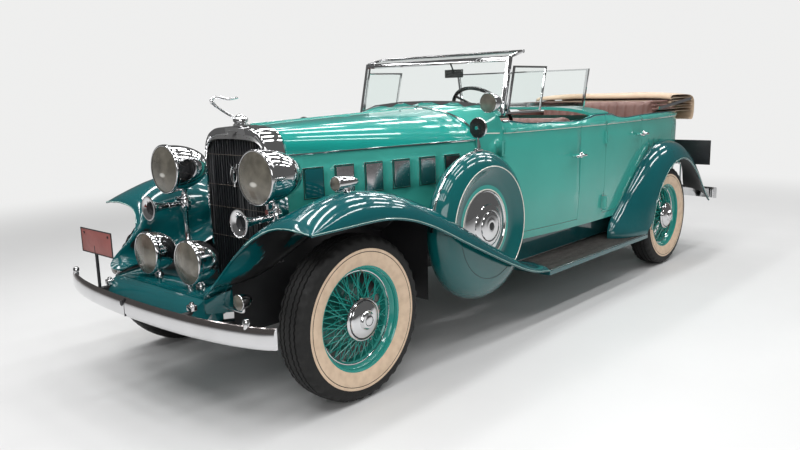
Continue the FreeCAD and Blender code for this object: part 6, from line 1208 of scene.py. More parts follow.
@dataclass
class RadiatorDress:
    """The shell's upper filler, the grille's bars and plain lozenge, and the cap's swept crescent."""

    face_y: float = -2.0445
    centre_z: float = 1.06

    def filler(self) -> Mesh:
        """Shapes the plate between the shell's arch and the grille's upper edge."""
        upper = [(-0.246, 1.215), (-0.232, 1.238), (-0.2, 1.266), (-0.15, 1.283), (-0.08, 1.29), (0.0, 1.292)]
        lower = [(-0.243, 1.208), (-0.226, 1.224), (-0.196, 1.238), (-0.15, 1.246), (-0.08, 1.249), (0.0, 1.25)]
        y = self.face_y
        rows = [[(x0, y + 0.01, z0), (x1, y - 0.002, z1), (x1, y + 0.006, z1 - 0.004)]
                for (x0, z0), (x1, z1) in zip(upper + [(-x, z) for x, z in upper[-2::-1]],
                                              lower + [(-x, z) for x, z in lower[-2::-1]])]
        mesh = Mesh().loft(rows)
        peak = [(-0.045, y - 0.001, 1.289), (0.045, y - 0.001, 1.289), (0.0, y - 0.007, 1.262)]
        mesh.bm.faces.new([mesh.bm.verts.new(point) for point in peak])
        bmesh.ops.recalc_face_normals(mesh.bm, faces=mesh.bm.faces)
        return mesh

    def badge(self) -> Mesh:
        """Shapes the plain lozenge on the grille."""
        y, z = self.face_y - 0.003, self.centre_z
        turns = (math.tau * n / 24 for n in range(24))
        loop = [(0.027 * math.cos(turn), y - 0.001, z + 0.043 * math.sin(turn)) for turn in turns]
        mesh = Mesh().tube(loop, 0.0042, 8, closed=True)
        mesh.tube([(0.0, y, z + 0.036), (0.0, y - 0.004, z), (0.0, y, z - 0.062)], 0.0055, 10)
        for x in (-0.022, 0.022):
            mesh.tube([(x, y, z + 0.036), (x * 1.35, y, z + 0.06)], 0.0026, 8, smooth=False)
        return mesh

    def crescent(self) -> Mesh:
        """Shapes the swept crescent over the filler cap."""
        mesh = Mesh().tube([(0, -2.013, 1.352), (0, -2.05, 1.372), (0, -2.095, 1.397), (0, -2.135, 1.424)], 0.0062, 12)
        mesh.tube([(0, -2.132, 1.421), (0, -2.158, 1.446), (0, -2.146, 1.463), (0, -2.11, 1.466), (0, -2.078, 1.459)],
                  0.0078, 12)
        mesh.tube([(0, -2.09, 1.462), (0, -2.06, 1.452), (0, -2.03, 1.455), (0, -1.994, 1.46)], 0.0058, 12)
        wing = [(-0.016, 0.0), (-0.012, 0.006), (0.0, 0.011), (0.014, 0.006), (0.02, 0.0)]
        return mesh.spin(wing, (0, -2.15, 1.44), (0, -0.7, 0.72), 24)

    def cap(self) -> Mesh:
        """Shapes the round filler cap."""
        return Mesh().spin([(1.3, 0.0), (1.3, 0.04), (1.322, 0.04), (1.326, 0.033), (1.334, 0.033), (1.338, 0.039),
                            (1.352, 0.039), (1.36, 0.03), (1.372, 0.016), (1.378, 0.0)], (0, -1.985, 0), (0, 0, 1), 40)

    def build(self, shop: Shop) -> None:
        """Adds the radiator's dress."""
        shop.add("shell_filler", self.filler(), SATIN_PLATE, angle=PANEL_ANGLE)
        shop.add("grille_badge", self.badge(), BRIGHT)
        bars = Mesh()
        for z, half in ((1.163, 0.247), (1.0, 0.25), (0.88, 0.252), (0.72, 0.246)):
            bars.tube([(-half, self.face_y + 0.012, z), (half, self.face_y + 0.012, z)], 0.0016, 8, smooth=False)
        shop.add("grille_bars", bars, EXHAUST)
        shop.add("filler_cap", self.cap().join(self.crescent()), BRIGHT, replaces=("radiator_cap",),
                 angle=ROUND_ANGLE)


@dataclass
class SpareWheel:
    """A spare in its metal cover, with its bright dish, hub cap, rings, strap and mirror."""

    side: Side
    y: float = station(1.045)
    z: float = 0.697
    inner_x: float = 0.656

    def cover(self) -> Mesh:
        """Shapes the painted cover."""
        crown = [(0.0, 0.0), (0.0, 0.3105), (0.01, 0.352), (0.022, 0.386), (0.04, 0.41), (0.061, 0.4225),
                 (0.08, 0.4262), (0.093, 0.427), (0.108, 0.426), (0.125, 0.4212), (0.145, 0.4075),
                 (0.1637, 0.386), (0.178, 0.363), (0.1855, 0.347), (0.1815, 0.336), (0.172, 0.322),
                 (0.158, 0.3), (0.149, 0.284), (0.1465, 0.277), (0.1425, 0.262), (0.141, 0.24),
                 (0.1409, 0.235), (0.1405, 0.212),
                 (0.135, 0.207), (0.13, 0.19), (0.13, 0.0)]
        mesh = Mesh().spin(crown, steps=128)
        return mesh.mark(1, lambda place: place.x > 0.1 and 0.213 < off_axis(place) < 0.236)

    def rings(self) -> Mesh:
        """Shapes the cover's light lines and the middle band's trim."""
        mesh = Mesh().spin(ring((0.1852, 0.3445), 0.0028, 8), steps=112)
        return mesh.spin(ring((0.1385, 0.209), 0.0042, 8), steps=112)

    def dish(self) -> Mesh:
        """Shapes the stepped bright dish and its cap, with a dark groove and a plain medallion."""
        profile = [(0.137, 0.205), (0.1435, 0.204), (0.1445, 0.199), (0.14, 0.195), (0.1445, 0.185),
                   (0.153, 0.162), (0.1585, 0.138), (0.1605, 0.127), (0.1655, 0.124), (0.172, 0.112),
                   (0.176, 0.098), (0.1765, 0.0905), (0.1745, 0.088), (0.1745, 0.0835), (0.1775, 0.0815),
                   (0.1815, 0.074), (0.1835, 0.06), (0.184, 0.048), (0.185, 0.0445), (0.1862, 0.038),
                   (0.1868, 0.0265), (0.1862, 0.025), (0.1868, 0.023), (0.188, 0.012), (0.1882, 0.0)]
        mesh = Mesh().spin(profile, steps=96)
        return mesh.mark(1, lambda place: 0.083 < off_axis(place) < 0.0885 or off_axis(place) < 0.0235)

    def pan(self) -> Mesh:
        """Shapes the smooth well pan below the fender's line, its dark seam second."""
        mesh = Mesh().spin([(0.0, 0.36), (0.022, 0.395), (0.061, 0.43), (0.093, 0.4345), (0.125, 0.428),
                            (0.17, 0.396), (0.191, 0.352), (0.195, 0.3), (0.196, 0.2), (0.197, 0.0)], steps=128)
        mesh.spin(ring((0.195, 0.3), 0.0014, 6), steps=96, material=1)
        bmesh.ops.bisect_plane(mesh.bm, geom=mesh.bm.verts[:] + mesh.bm.edges[:] + mesh.bm.faces[:],
                               plane_co=(0, 0, -0.16), plane_no=(0, 0.421 * self.side.value, 1), clear_outer=True)
        return mesh

    def strap(self) -> Mesh:
        """Shapes the bright strap round the cover's crown."""
        mesh = Mesh().spin([(0.083, 0.4272), (0.083, 0.4302), (0.087, 0.4318), (0.097, 0.4318), (0.101, 0.4302),
                            (0.101, 0.4272)], steps=128)
        low = [vert for vert in mesh.bm.verts if vert.co.z < (0.1 if vert.co.y > -0.36 else -0.05)]
        bmesh.ops.delete(mesh.bm, geom=low, context="VERTS")
        return mesh

    def mirror(self) -> Mesh:
        """Shapes the mirror's stem, clamp and bright rim, its dark face second and its black back third."""
        z = 1.256 - self.z
        mesh = Mesh().tube([(0.093, 0.0, 0.43), (0.093, 0.0, z - 0.03)], 0.006, 16, smooth=False)
        mesh.box((0.093, 0.0, 0.4355), (0.034, 0.055, 0.011), 0.004)
        rim = [(-0.0065, 0.054), (-0.007, 0.0595), (-0.004, 0.06), (0.003, 0.059), (0.0045, 0.056)]
        back = [(0.0045, 0.056), (0.007, 0.046), (0.0085, 0.023), (0.009, 0.0)]
        mesh.spin(rim, (0.093, 0.0, z), (0, -1, 0), 56).spin(back, (0.093, 0.0, z), (0, -1, 0), 56, 2)
        mesh.spin([(0.0075, 0.0), (0.0095, 0.013), (0.0155, 0.011), (0.016, 0.0)], (0.093, 0.0, z), (0, -1, 0), 24)
        face = [(-0.006, 0.0), (-0.006, 0.0545)]
        return mesh.spin(face, (0.093, 0.0, z), (0, -1, 0), 56, 1)

    def build(self, shop: Shop) -> None:
        """Adds the spare to the body."""
        word, place = self.side.word, self.side.outward(self.inner_x, self.y, self.z)
        shop.add(f"spare_cover_{word}", self.cover().at(place), (SPARE_TEAL, HOOD_GREEN),
                 replaces=("spare_wheels",))
        shop.add(f"spare_rings_{word}", self.rings().at(place), STRIPE_CREAM)
        shop.add(f"spare_dish_{word}", self.dish().at(place), (BRIGHT, GRILLE), angle=CRISP_ANGLE)
        shop.add(f"well_pan_{word}", self.pan().at(place), (SPARE_TEAL, GRILLE))
        shop.add(f"spare_strap_{word}", self.strap().at(place), BRIGHT)
        ends = [(self.side.value * x, self.y, self.z) for x in (FRAME_SIDE_X, 0.656)]
        arm = Mesh().tube(ends, 0.02, 16, smooth=False)
        shop.add(f"spare_arm_{word}", arm, CHASSIS)
        shop.add(f"spare_mirror_{word}", self.mirror().at(place), (BRIGHT, MIRROR_FACE, WHEEL_BLACK),
                 replaces=("mirrors",))


@dataclass
class Bonnet:
    """The hood's ventilator doors with their dark surrounds, and the hinge strips."""

    vents: int = 6
    start: float = 0.116
    pitch: float = 0.192
    width: float = 0.128
    low: float = 0.922
    high: float = 1.092
    frame: float = 0.009
    tilt: float = math.radians(3.0)

    def door(self, probe: Probe, index: int, sign: int) -> Mesh:
        """Shapes one bright ventilator door that stands in its frame, a little open at its rear edge."""
        y0 = station(self.start + self.pitch * index) + self.frame + 0.002
        y1 = y0 + self.width - 2 * self.frame - 0.004
        z0, z1 = self.low + self.frame + 0.002, self.high - self.frame - 0.002
        middle_y, middle_z = (y0 + y1) / 2, (z0 + z1) / 2
        x = max(probe.side(y, z).x for y in (y0, middle_y, y1) for z in (z0, middle_z, z1)) + 0.0045
        lean = math.atan2(probe.side(middle_y, z1).x - probe.side(middle_y, z0).x, z1 - z0)
        plan = math.atan2(probe.side(y1, middle_z).x - probe.side(y0, middle_z).x, y1 - y0)
        door = Mesh().box((0, 0, 0), (0.003, y1 - y0, z1 - z0), 0.0012)
        corners = [edge for edge in door.bm.edges if abs(edge.verts[0].co.x - edge.verts[1].co.x) > 0.0015
                   and abs(edge.verts[0].co.y - edge.verts[1].co.y) < 1e-5]
        if corners:
            bmesh.ops.bevel(door.bm, geom=corners, offset=0.007, segments=3, profile=0.5, affect="EDGES",
                            material=-1)
        place = (Matrix.Translation((sign * x, middle_y, middle_z))
                 @ Matrix.Rotation(-sign * (plan + self.tilt), 4, "Z") @ Matrix.Rotation(sign * lean, 4, "Y"))
        return door.at(place)

    def surround(self, probe: Probe, index: int, sign: int) -> Mesh:
        """Shapes the dark rubber line round one door."""
        y0 = station(self.start + self.pitch * index) + 0.004
        y1 = y0 + self.width - 0.008
        z0, z1 = self.low + 0.004, self.high - 0.004
        x = [probe.side(y, z, 0.0005) for y, z in ((y0, z0), (y1, z0), (y1, z1), (y0, z1))]
        points = [(sign * p.x, p.y, p.z) for p in x if p]
        return Mesh().tube(points, 0.0035, 8, closed=True, smooth=False)

    def build(self, shop: Shop) -> None:
        """Adds the hood's fittings to its folding halves."""
        probe = Probe(shop, "hood_left_side")
        for side in Side:
            sign, word = side.value, side.word
            doors, lines = Mesh(), Mesh()
            for index in range(self.vents):
                # The doors are one bright plate; the first is finished dark teal and the last black as painted
                # reflections of their surroundings.
                tone = {0: 1, self.vents - 1: 2}.get(index, 0)
                doors.join(self.door(probe, index, sign), material=tone)
                lines.join(self.surround(probe, index, sign))
            shop.add(f"vent_doors_{word}", doors, (VENT_PLATE, DARK_TEAL, GRILLE), f"hood_{word}_side",
                     angle=CRISP_ANGLE)
            shop.add(f"vent_lines_{word}", lines, GRILLE, f"hood_{word}_side")
            strip = Mesh().tube([(sign * (0.279 + 0.224 * share), -1.916 + 1.322 * share, 1.1625)
                                 for share in (0.0, 0.5, 1.0)], 0.0058, 12, smooth=False)
            shop.add(f"hood_hinge_{word}", strip, BRIGHT, f"hood_{word}_top")
        ridge = Mesh().tube([(0, -1.916, 1.32), (0, -1.25, 1.3421), (0, -0.594, 1.364)], 0.0045, 12, smooth=False)
        shop.add("hood_ridge_hinge", ridge, BRIGHT)


@dataclass
class Stripes:
    """The pale belt stripes, the bright joint at the cowl and the dark edge of the cockpit."""

    level: float = 1.2015
    radius: float = 0.0038
    rail_inset: float = 0.01
    rail_radius: float = 0.0075
    joint_at: float = 1.371
    joint_radius: float = 0.0062

    def lay(self, shop: Shop, name: str, points: Sequence[Point], radius: float, sides: int, finish: Finish,
            body: str) -> None:
        """Adds a bar along points of the left side, and its twin on the right.

        Args:
            shop: The shop.
            name: The line's name.
            points: The left line.
            radius: The bar's radius.
            sides: The faces round it.
            finish: Its finish.
            body: The body of the left line; the right one's follows from it.
        """
        for side in Side:
            placed = [(side.value * x, y, z) for x, y, z in points]
            shop.add(f"{name}_{side.word}", Mesh().tube(placed, radius, sides), finish,
                     body.replace("left", side.word))

    def line(self, shop: Shop, name: str, nodes: Sequence[str], body: str, start: float, end: float) -> None:
        """Adds a pale line along some panels, on both sides.

        Args:
            shop: The shop.
            name: The line's name.
            nodes: The left panels.
            body: The body of the left line; the right one's follows from it.
            start: The line's front y.
            end: Its rear y.
        """
        probe = Probe(shop, *nodes)
        steps = max(3, round((end - start) / 0.07))
        places = (start + (end - start) * n / steps for n in range(steps + 1))
        points = [point for point in (probe.side(y, self.level, self.radius * 0.2) for y in places) if point]
        self.lay(shop, name, points, self.radius, 8, STRIPE_CREAM, body)

    def rail(self, shop: Shop, name: str, nodes: Sequence[str], body: str, start: float, end: float) -> None:
        """Adds the dark rounded edge along the top of some panels, on both sides.

        Args:
            shop: The shop.
            name: The rail's name.
            nodes: The left panels.
            body: The body of the left rail; the right one's follows from it.
            start: The rail's front y.
            end: Its rear y.
        """
        probe = Probe(shop, *nodes)
        steps = max(3, round((end - start) / 0.05))
        points = []
        for n in range(steps + 1):
            y = start + (end - start) * n / steps
            flank = probe.side(y, self.level)
            crest = probe.top(flank.x - self.rail_inset, y) if flank else None
            if crest and crest.z > self.level:
                points.append((crest.x, y, crest.z - 0.001))
        self.lay(shop, name, points, self.rail_radius, 12, DARK_TEAL, body)

    def joint(self, shop: Shop) -> None:
        """Adds the bright strip round the cowl behind the hood."""
        probe = Probe(shop, "cowl")
        y = station(self.joint_at)
        points = []
        for n in range(49):
            angle = math.radians(-6 + 192 * n / 48)
            way = Vector((math.cos(angle), 0, math.sin(angle)))
            found = probe.hit(Vector((0, y, 0.95)) + way * 1.3, -way)
            if found:
                points.append(found)
        shop.add("cowl_joint", Mesh().tube(points, self.joint_radius, 12), BRIGHT)

    def build(self, shop: Shop) -> None:
        """Adds the stripes, one piece for each panel that they cross."""
        self.joint(shop)
        for name, nodes, body, start, end in (
                ("cowl_stripe", ("cowl",), "body", station(1.368), station(1.434)),
                ("front_door_stripe", ("front_left_door",), "front_left_door", station(1.456), station(2.256)),
                ("side_stripe", ("body_tub", "partition"), "body", station(2.272), station(2.608)),
                ("rear_door_stripe", ("rear_left_door",), "rear_left_door", station(2.63), station(3.256)),
                ("tail_stripe", ("body_tub",), "body", station(3.272), station(4.18))):
            self.line(shop, name, nodes, body, start, end)
            if name != "cowl_stripe":
                self.rail(shop, name.replace("stripe", "rail"), nodes, body, start, end)


@dataclass
class FenderTrim:
    """The rolled beads and pale lines along the fenders' lips."""

    lip_x: float = 0.9035
    bead_radius: float = 0.0052

    front: tuple[tuple[float, float], ...] = (
        (-0.365, 0.876), (-0.23, 0.878), (-0.076, 0.882), (0.055, 0.884), (0.166, 0.876), (0.303, 0.846),
        (0.45, 0.792), (0.575, 0.734), (0.7, 0.672), (0.825, 0.612), (0.949, 0.555), (1.075, 0.496),
        (1.201, 0.441), (1.3, 0.4), (1.4, 0.366), (1.5, 0.345), (1.579, 0.336))
    rear: tuple[tuple[float, float], ...] = (
        (3.138, 0.353), (3.182, 0.506), (3.264, 0.655), (3.41, 0.783), (3.545, 0.852), (3.712, 0.874),
        (3.87, 0.84), (4.044, 0.73), (4.18, 0.602), (4.293, 0.49), (4.376, 0.434))
    nose_limit: float = -2.2

    def nose(self, shop: Shop) -> list[Point]:
        """Returns the front edge of the left front fender, from its outer end to its inner one."""
        probe = Probe(shop, "front_fenders")
        points = []
        for n in range(22):
            x = 0.895 - 0.0235 * n
            low = None
            for step in range(80):
                found = probe.hit((x, -3.2, 0.95 - 0.005 * step), (0, 1, 0))
                if found and found.y < self.nose_limit:
                    low = found
            if low and (not points or abs(low.y - points[-1][1]) + abs(low.z - points[-1][2]) < 0.1):
                points.append((low.x, low.y - 0.002, low.z))
        return points

    def build(self, shop: Shop) -> None:
        """Adds beads and pale lines on both sides."""
        for name, points in (("front", self.front), ("rear", self.rear)):
            beads, lines = Mesh(), Mesh()
            placed = [(self.lip_x, station(d), z) for d, z in points]
            beads.tube(placed, self.bead_radius, 12)
            lines.tube([(x + 0.0042, y, z + 0.0048) for x, y, z in placed], 0.0016, 6)
            if name == "front":
                edge = self.nose(shop)
                beads.tube(edge, self.bead_radius, 12)
                lines.tube([(x, y - 0.0048, z + 0.0022) for x, y, z in edge], 0.0018, 6)
            shop.add(f"{name}_fender_beads", beads.both(), DARK_TEAL)
            shop.add(f"{name}_fender_lines", lines.both(), LIP_LINE)


@dataclass
class StepMats:
    """The ribbed rubber mats and the bright strips of the running boards."""

    inner_x: float = 0.612
    outer_x: float = 0.892
    start_y: float = station(1.62)
    end_y: float = station(3.05)
    top_z: float = 0.3325
    ribs: int = 17

    def build(self, shop: Shop) -> None:
        """Adds a mat and its strips to each board."""
        mat, strips = Mesh(), Mesh()
        middle_y, length = (self.start_y + self.end_y) / 2, self.end_y - self.start_y
        mat.box(((self.inner_x + self.outer_x) / 2, middle_y, self.top_z - 0.001),
                (self.outer_x - self.inner_x, length, 0.003), 0.001)
        pitch = (self.outer_x - self.inner_x) / self.ribs
        bars = Mesh()
        for rib in range(self.ribs):
            x = self.inner_x + pitch * (rib + 0.5)
            bars.box((x, middle_y, self.top_z + 0.002), (pitch * 0.52, length - 0.02, 0.005), 0.0018)
        mat.join(bars, material=1)
        strips.box((self.inner_x - 0.004, middle_y, self.top_z + 0.004), (0.008, length, 0.014), 0.003)
        strips.box((self.outer_x + 0.004, middle_y, self.top_z + 0.0005), (0.006, length, 0.006), 0.002)
        shop.add("step_mats", mat.both(), (MAT_BLACK, MAT_RIB), angle=PANEL_ANGLE)
        shop.add("step_strips", strips.both(), BRIGHT)


@dataclass
class Bumpers:
    """The front bar with its clamps, studs, irons and valance, and the two blank plates."""

    crown_z: float = 0.511
    iron_x: float = 0.383
    stud_x: float = 0.78

    def clamp(self, x: float, y: float, z: float) -> Mesh:
        """Shapes a clamp with its dome nut on a bumper's back edge."""
        mesh = Mesh().box((x, y, z), (0.04, 0.036, 0.03), 0.006, 3)
        dome = [(0.0, 0.012), (0.006, 0.012), (0.012, 0.008), (0.014, 0.0)]
        return mesh.spin(dome, (x, y, z + 0.014), (0, 0, 1), 20)

    def border(self, centre: Point, size: Point, width: float, bevel: float, reach: tuple[float, float]) -> Mesh:
        """Shapes a plate's border.

        Args:
            centre: The plate's middle.
            size: The border's width, depth and height.
            width: How wide its strips are.
            bevel: Their rounding.
            reach: How far the upright and the level strips lie from the middle.

        Returns:
            The border.
        """
        mesh, (x, y, z) = Mesh(), centre
        for sign in (-1, 1):
            mesh.box((x, y, z + sign * reach[1]), (size[0], size[1], width), bevel)
        for sign in (-1, 1):
            mesh.box((x + sign * reach[0], y, z), (width, size[1], size[2]), bevel)
        return mesh

    def bolts(self, mesh: Mesh, middle: Point, reach: float, way: int) -> None:
        """Adds two dome bolts that look along Y, a reach from a middle on either side."""
        for sign in (-1, 1):
            mesh.spin([(0.0, 0.0065), (0.003, 0.006), (0.0045, 0.0)], (middle[0] + sign * reach, *middle[1:]),
                      (0, way, 0), 16)

    def bar(self, shop: Shop) -> Mesh:
        """Shapes the rolled front bar, with its crown in a darker plate that paints a dark reflection, and a dark joint
        in its middle.
        """
        probe = Probe(shop, "front_bumper")
        section = [(0.0105, 0.434), (0.004, 0.44), (0.0, 0.455), (0.0, 0.492), (0.0015, 0.506), (0.0055, 0.518),
                   (0.0105, 0.526), (0.015, 0.53), (0.0175, 0.528), (0.0175, 0.436)]
        rows = []
        for n in range(61):
            x = 0.905 * (n / 30 - 1)
            found = probe.hit((x, -3.0, 0.48), (0, 1, 0))
            rows.append([(x, found.y + back, z) for back, z in section])
        # Faces above crown_z take the darker plate, a painted reflection on the bar's upper face.
        mesh = Mesh().loft(rows, closed=True).mark(1, lambda place: place.z > self.crown_z)
        joint = Mesh().box((-0.055, -2.6815, 0.482), (0.003, 0.018, 0.088))
        mesh.join(joint, material=2)
        return mesh.spin([(0.0, 0.014), (0.0015, 0.014), (0.0015, 0.0)], (-0.078, -2.6893, 0.5), (0, -1, 0), 24, 2)

    def build(self, shop: Shop) -> None:
        """Adds the bar with its fittings, the valance and the plates."""
        stud = [(0.0, 0.013), (0.022, 0.013), (0.026, 0.017), (0.04, 0.016), (0.047, 0.01), (0.049, 0.0)]
        mesh, irons = Mesh(), Mesh()
        for sign in (-1, 1):
            mesh.join(self.clamp(sign * self.iron_x, -2.59, 0.536))
            irons.box((sign * self.iron_x, -2.6, 0.49), (0.03, 0.13, 0.06), 0.006)
        for sign in (-1, 1):
            mesh.spin(stud, (sign * self.stud_x, -2.585, 0.512), (0, 0, 1), 24)
        shop.add("front_bumper_bar", self.bar(shop), (BRIGHT, CROWN_PAINTED_REFLECTION, GRILLE), replaces=("front_bumper",))
        outline = [(-2.5, 0.5675), (-2.535, 0.562), (-2.575, 0.54), (-2.605, 0.505), (-2.622, 0.462),
                   (-2.622, 0.44), (-2.56, 0.44), (-2.5, 0.49)]
        valance = Mesh().loft([[(x, y, z) for y, z in outline] for x in (-0.4, 0.4)], closed=True)
        shop.add("bumper_irons", irons, CHASSIS)
        shop.add("front_valance", valance, DARK_TEAL)
        shop.add("bumper_clamps", mesh, BRIGHT)
        front = Mesh().box((-0.357, -2.6505, 0.76), (0.325, 0.003, 0.126), 0.001)
        post = Mesh().tube([(-0.383, -2.645, 0.52), (-0.383, -2.645, 0.74)], 0.008, 16, smooth=False)
        border = self.border((-0.357, -2.6515, 0.76), (0.325, 0.005, 0.126), 0.005, 0.001, (0.16, 0.061))
        self.bolts(post, (-0.357, -2.6517, 0.799), 0.125, -1)
        shop.add("front_plate", front, PLATE_RED, replaces=("number_plates",))
        shop.add("front_plate_border", border, GRILLE)
        shop.add("front_plate_post", post, GRILLE)
        y = station(4.405)
        rear = Mesh().box((0.71, y + 0.0025, 0.86), (0.35, 0.004, 0.221), 0.0015)
        shop.add("rear_plate", rear, PLATE_BLACK, replaces=("number_plates",))
        edge = self.border((0.71, y + 0.0025, 0.86), (0.35, 0.007, 0.221), 0.006, 0.0015, (0.172, 0.1075))
        self.bolts(edge, (0.71, y + 0.0045, 0.9545), 0.145, 1)
        shop.add("rear_plate_edge", edge, CHASSIS)


@dataclass
class TailLamps:
    """The two tail lamps with their stems."""

    x: float = 0.64
    z: float = 0.79
    face_y: float = station(4.405) - 0.0003

    def build(self, shop: Shop) -> None:
        """Adds the lamps."""
        for side in Side:
            x = side.value * self.x
            shell = Mesh().spin([(0.0, 0.0), (0.004, 0.018), (0.014, 0.03), (0.034, 0.042), (0.06, 0.0485),
                                 (0.078, 0.05), (0.088, 0.0495), (0.09, 0.046), (0.086, 0.043)],
                                (x, self.face_y - 0.09, self.z), (0, 1, 0), 48)
            y = self.face_y - 0.045
            foot = side.value * FRAME_SIDE_X
            shell.tube([(foot, y, 0.5765), (x - side.value * 0.08, y, 0.5765), (x, y, 0.5765), (x, y, 0.66),
                        (x, y, 0.76)], 0.008, 12)
            shop.add(f"tail_lamp_{side.word}", shell, BRIGHT, replaces=("tail_lamps",), angle=ROUND_ANGLE)
            lens = Mesh().spin([(0.084, 0.0435), (0.088, 0.04), (0.0895, 0.022), (0.09, 0.0)],
                               (x, self.face_y - 0.09, self.z), (0, 1, 0), 48)
            shop.add(f"tail_lamp_glass_{side.word}", lens, RED_GLASS)


@dataclass
class Cockpit:
    """The door handles, the spotlight, the inner mirror and the steering wheel."""

    spot_at: Point = (0.64, station(1.3), 1.39)

    def handle(self, shop: Shop, door: str, end: float, z: float) -> None:
        """Adds a bright lever handle with its round rose over a door's handle."""
        side = Side.LEFT if "left" in door else Side.RIGHT
        probe = Probe(shop, door.replace("right", "left"))
        y = station(end - 0.062)
        place = probe.side(y - 0.09, z)
        x = place.x
        mesh = Mesh().spin([(0.0, 0.022), (0.004, 0.021), (0.009, 0.012), (0.03, 0.009), (0.034, 0.0)],
                           (x - 0.0005, y, z), (1, 0, 0), 24)
        mesh.tube([(x + 0.03, y + 0.014, z), (x + 0.031, y, z), (x + 0.031, y - 0.06, z + 0.001),
                   (x + 0.027, y - 0.108, z - 0.002), (x + 0.024, y - 0.116, z - 0.003)], 0.0072, 16)
        if side is Side.RIGHT:
            mesh = mesh.mirrored()
        shop.add("handle_" + door, mesh, BRIGHT, door, angle=ROUND_ANGLE)

    def spotlight(self, shop: Shop) -> None:
        """Adds the spotlight and its bracket."""
        lamp = Bullet(self.spot_at, 0.062, 0.12, 0.011, steps=56)
        x, y, z = self.spot_at
        bracket = Mesh().tube([(x, y + 0.092, z), (x - 0.004, y + 0.14, z - 0.004), (0.613, y + 0.19, z)], 0.009, 12)
        lamp.build(shop, "spotlight_dressed", bracket, ("spotlight",))

    def inner_mirror(self, shop: Shop) -> None:
        """Adds the mirror under the windscreen's header."""
        y = station(1.57)
        z = 1.652 - 0.018 - 0.054
        mesh = Mesh().box((0.15, y + 0.035, z), (0.15, 0.013, 0.054), 0.005, 3)
        mesh.tube([(0.15, y + 0.035, z), (0.15, y + 0.02, z + 0.035), (0.15, y, 1.643)], 0.0055, 10)
        mesh.box((0.15, y + 0.0425, z), (0.142, 0.001, 0.046), 0.0)
        for face in mesh.bm.faces:
            if face.calc_center_median().y > y + 0.0428 and face.normal.y > 0.9:
                face.material_index = 1
        shop.add("inner_mirror", mesh, (WHEEL_BLACK, MIRROR_FACE), replaces=("mirrors",))

    def steering_wheel(self, shop: Shop) -> None:
        """Adds the steering wheel's rim with finger grips, its spokes and horn button."""
        axis = Vector((0, 0.788, 0.616)).normalized()
        centre = Vector((0.31, station(1.7), 1.312))
        mesh = Mesh()
        grip = [(0.0125 * math.sin(math.tau * n / 16), 0.215 + 0.0125 * math.cos(math.tau * n / 16))
                for n in range(17)]
        mesh.spin(grip, centre, axis, 96)
        for vert in mesh.bm.verts:
            offset = vert.co - centre
            flat = offset - axis * offset.dot(axis)
            if flat.length > 0.19:
                angle = math.atan2(flat.x, flat.normalized().z)
                squeeze = 1 - 0.1 * max(0.0, math.cos(angle * 24)) ** 4
                core = centre + flat.normalized() * 0.215
                vert.co = core + (vert.co - core) * squeeze
        hub = [(0.0, 0.0), (0.0, 0.034), (0.022, 0.036), (0.036, 0.034), (0.04, 0.024), (0.041, 0.0)]
        mesh.spin(hub, centre, axis, 40)
        across = Vector((1, 0, 0))
        other = axis.cross(across)
        for way in ((across + other).normalized(), (across - other).normalized()):
            for sign in (1, -1):
                start = centre + axis * 0.02 + way * (0.028 * sign)
                mesh.tube([start, centre + axis * 0.018 + way * (0.12 * sign), centre + way * (0.21 * sign)],
                          0.0085, 12)
        shop.add("steering_wheel_dressed", mesh, WHEEL_BLACK, "steering_wheel", ("steering_wheel",))
        button = Mesh().spin([(0.0405, 0.0185), (0.046, 0.017), (0.048, 0.01), (0.0485, 0.0)], centre, axis, 32)
        shop.add("horn_button", button, BRIGHT, "steering_wheel")

    def build(self, shop: Shop) -> None:
        """Adds the fittings."""
        for side in Side:
            self.handle(shop, f"front_{side.word}_door", 2.262, 1.012)
            self.handle(shop, f"rear_{side.word}_door", 3.262, 1.1)
        self.spotlight(shop)
        self.inner_mirror(shop)
        self.steering_wheel(shop)


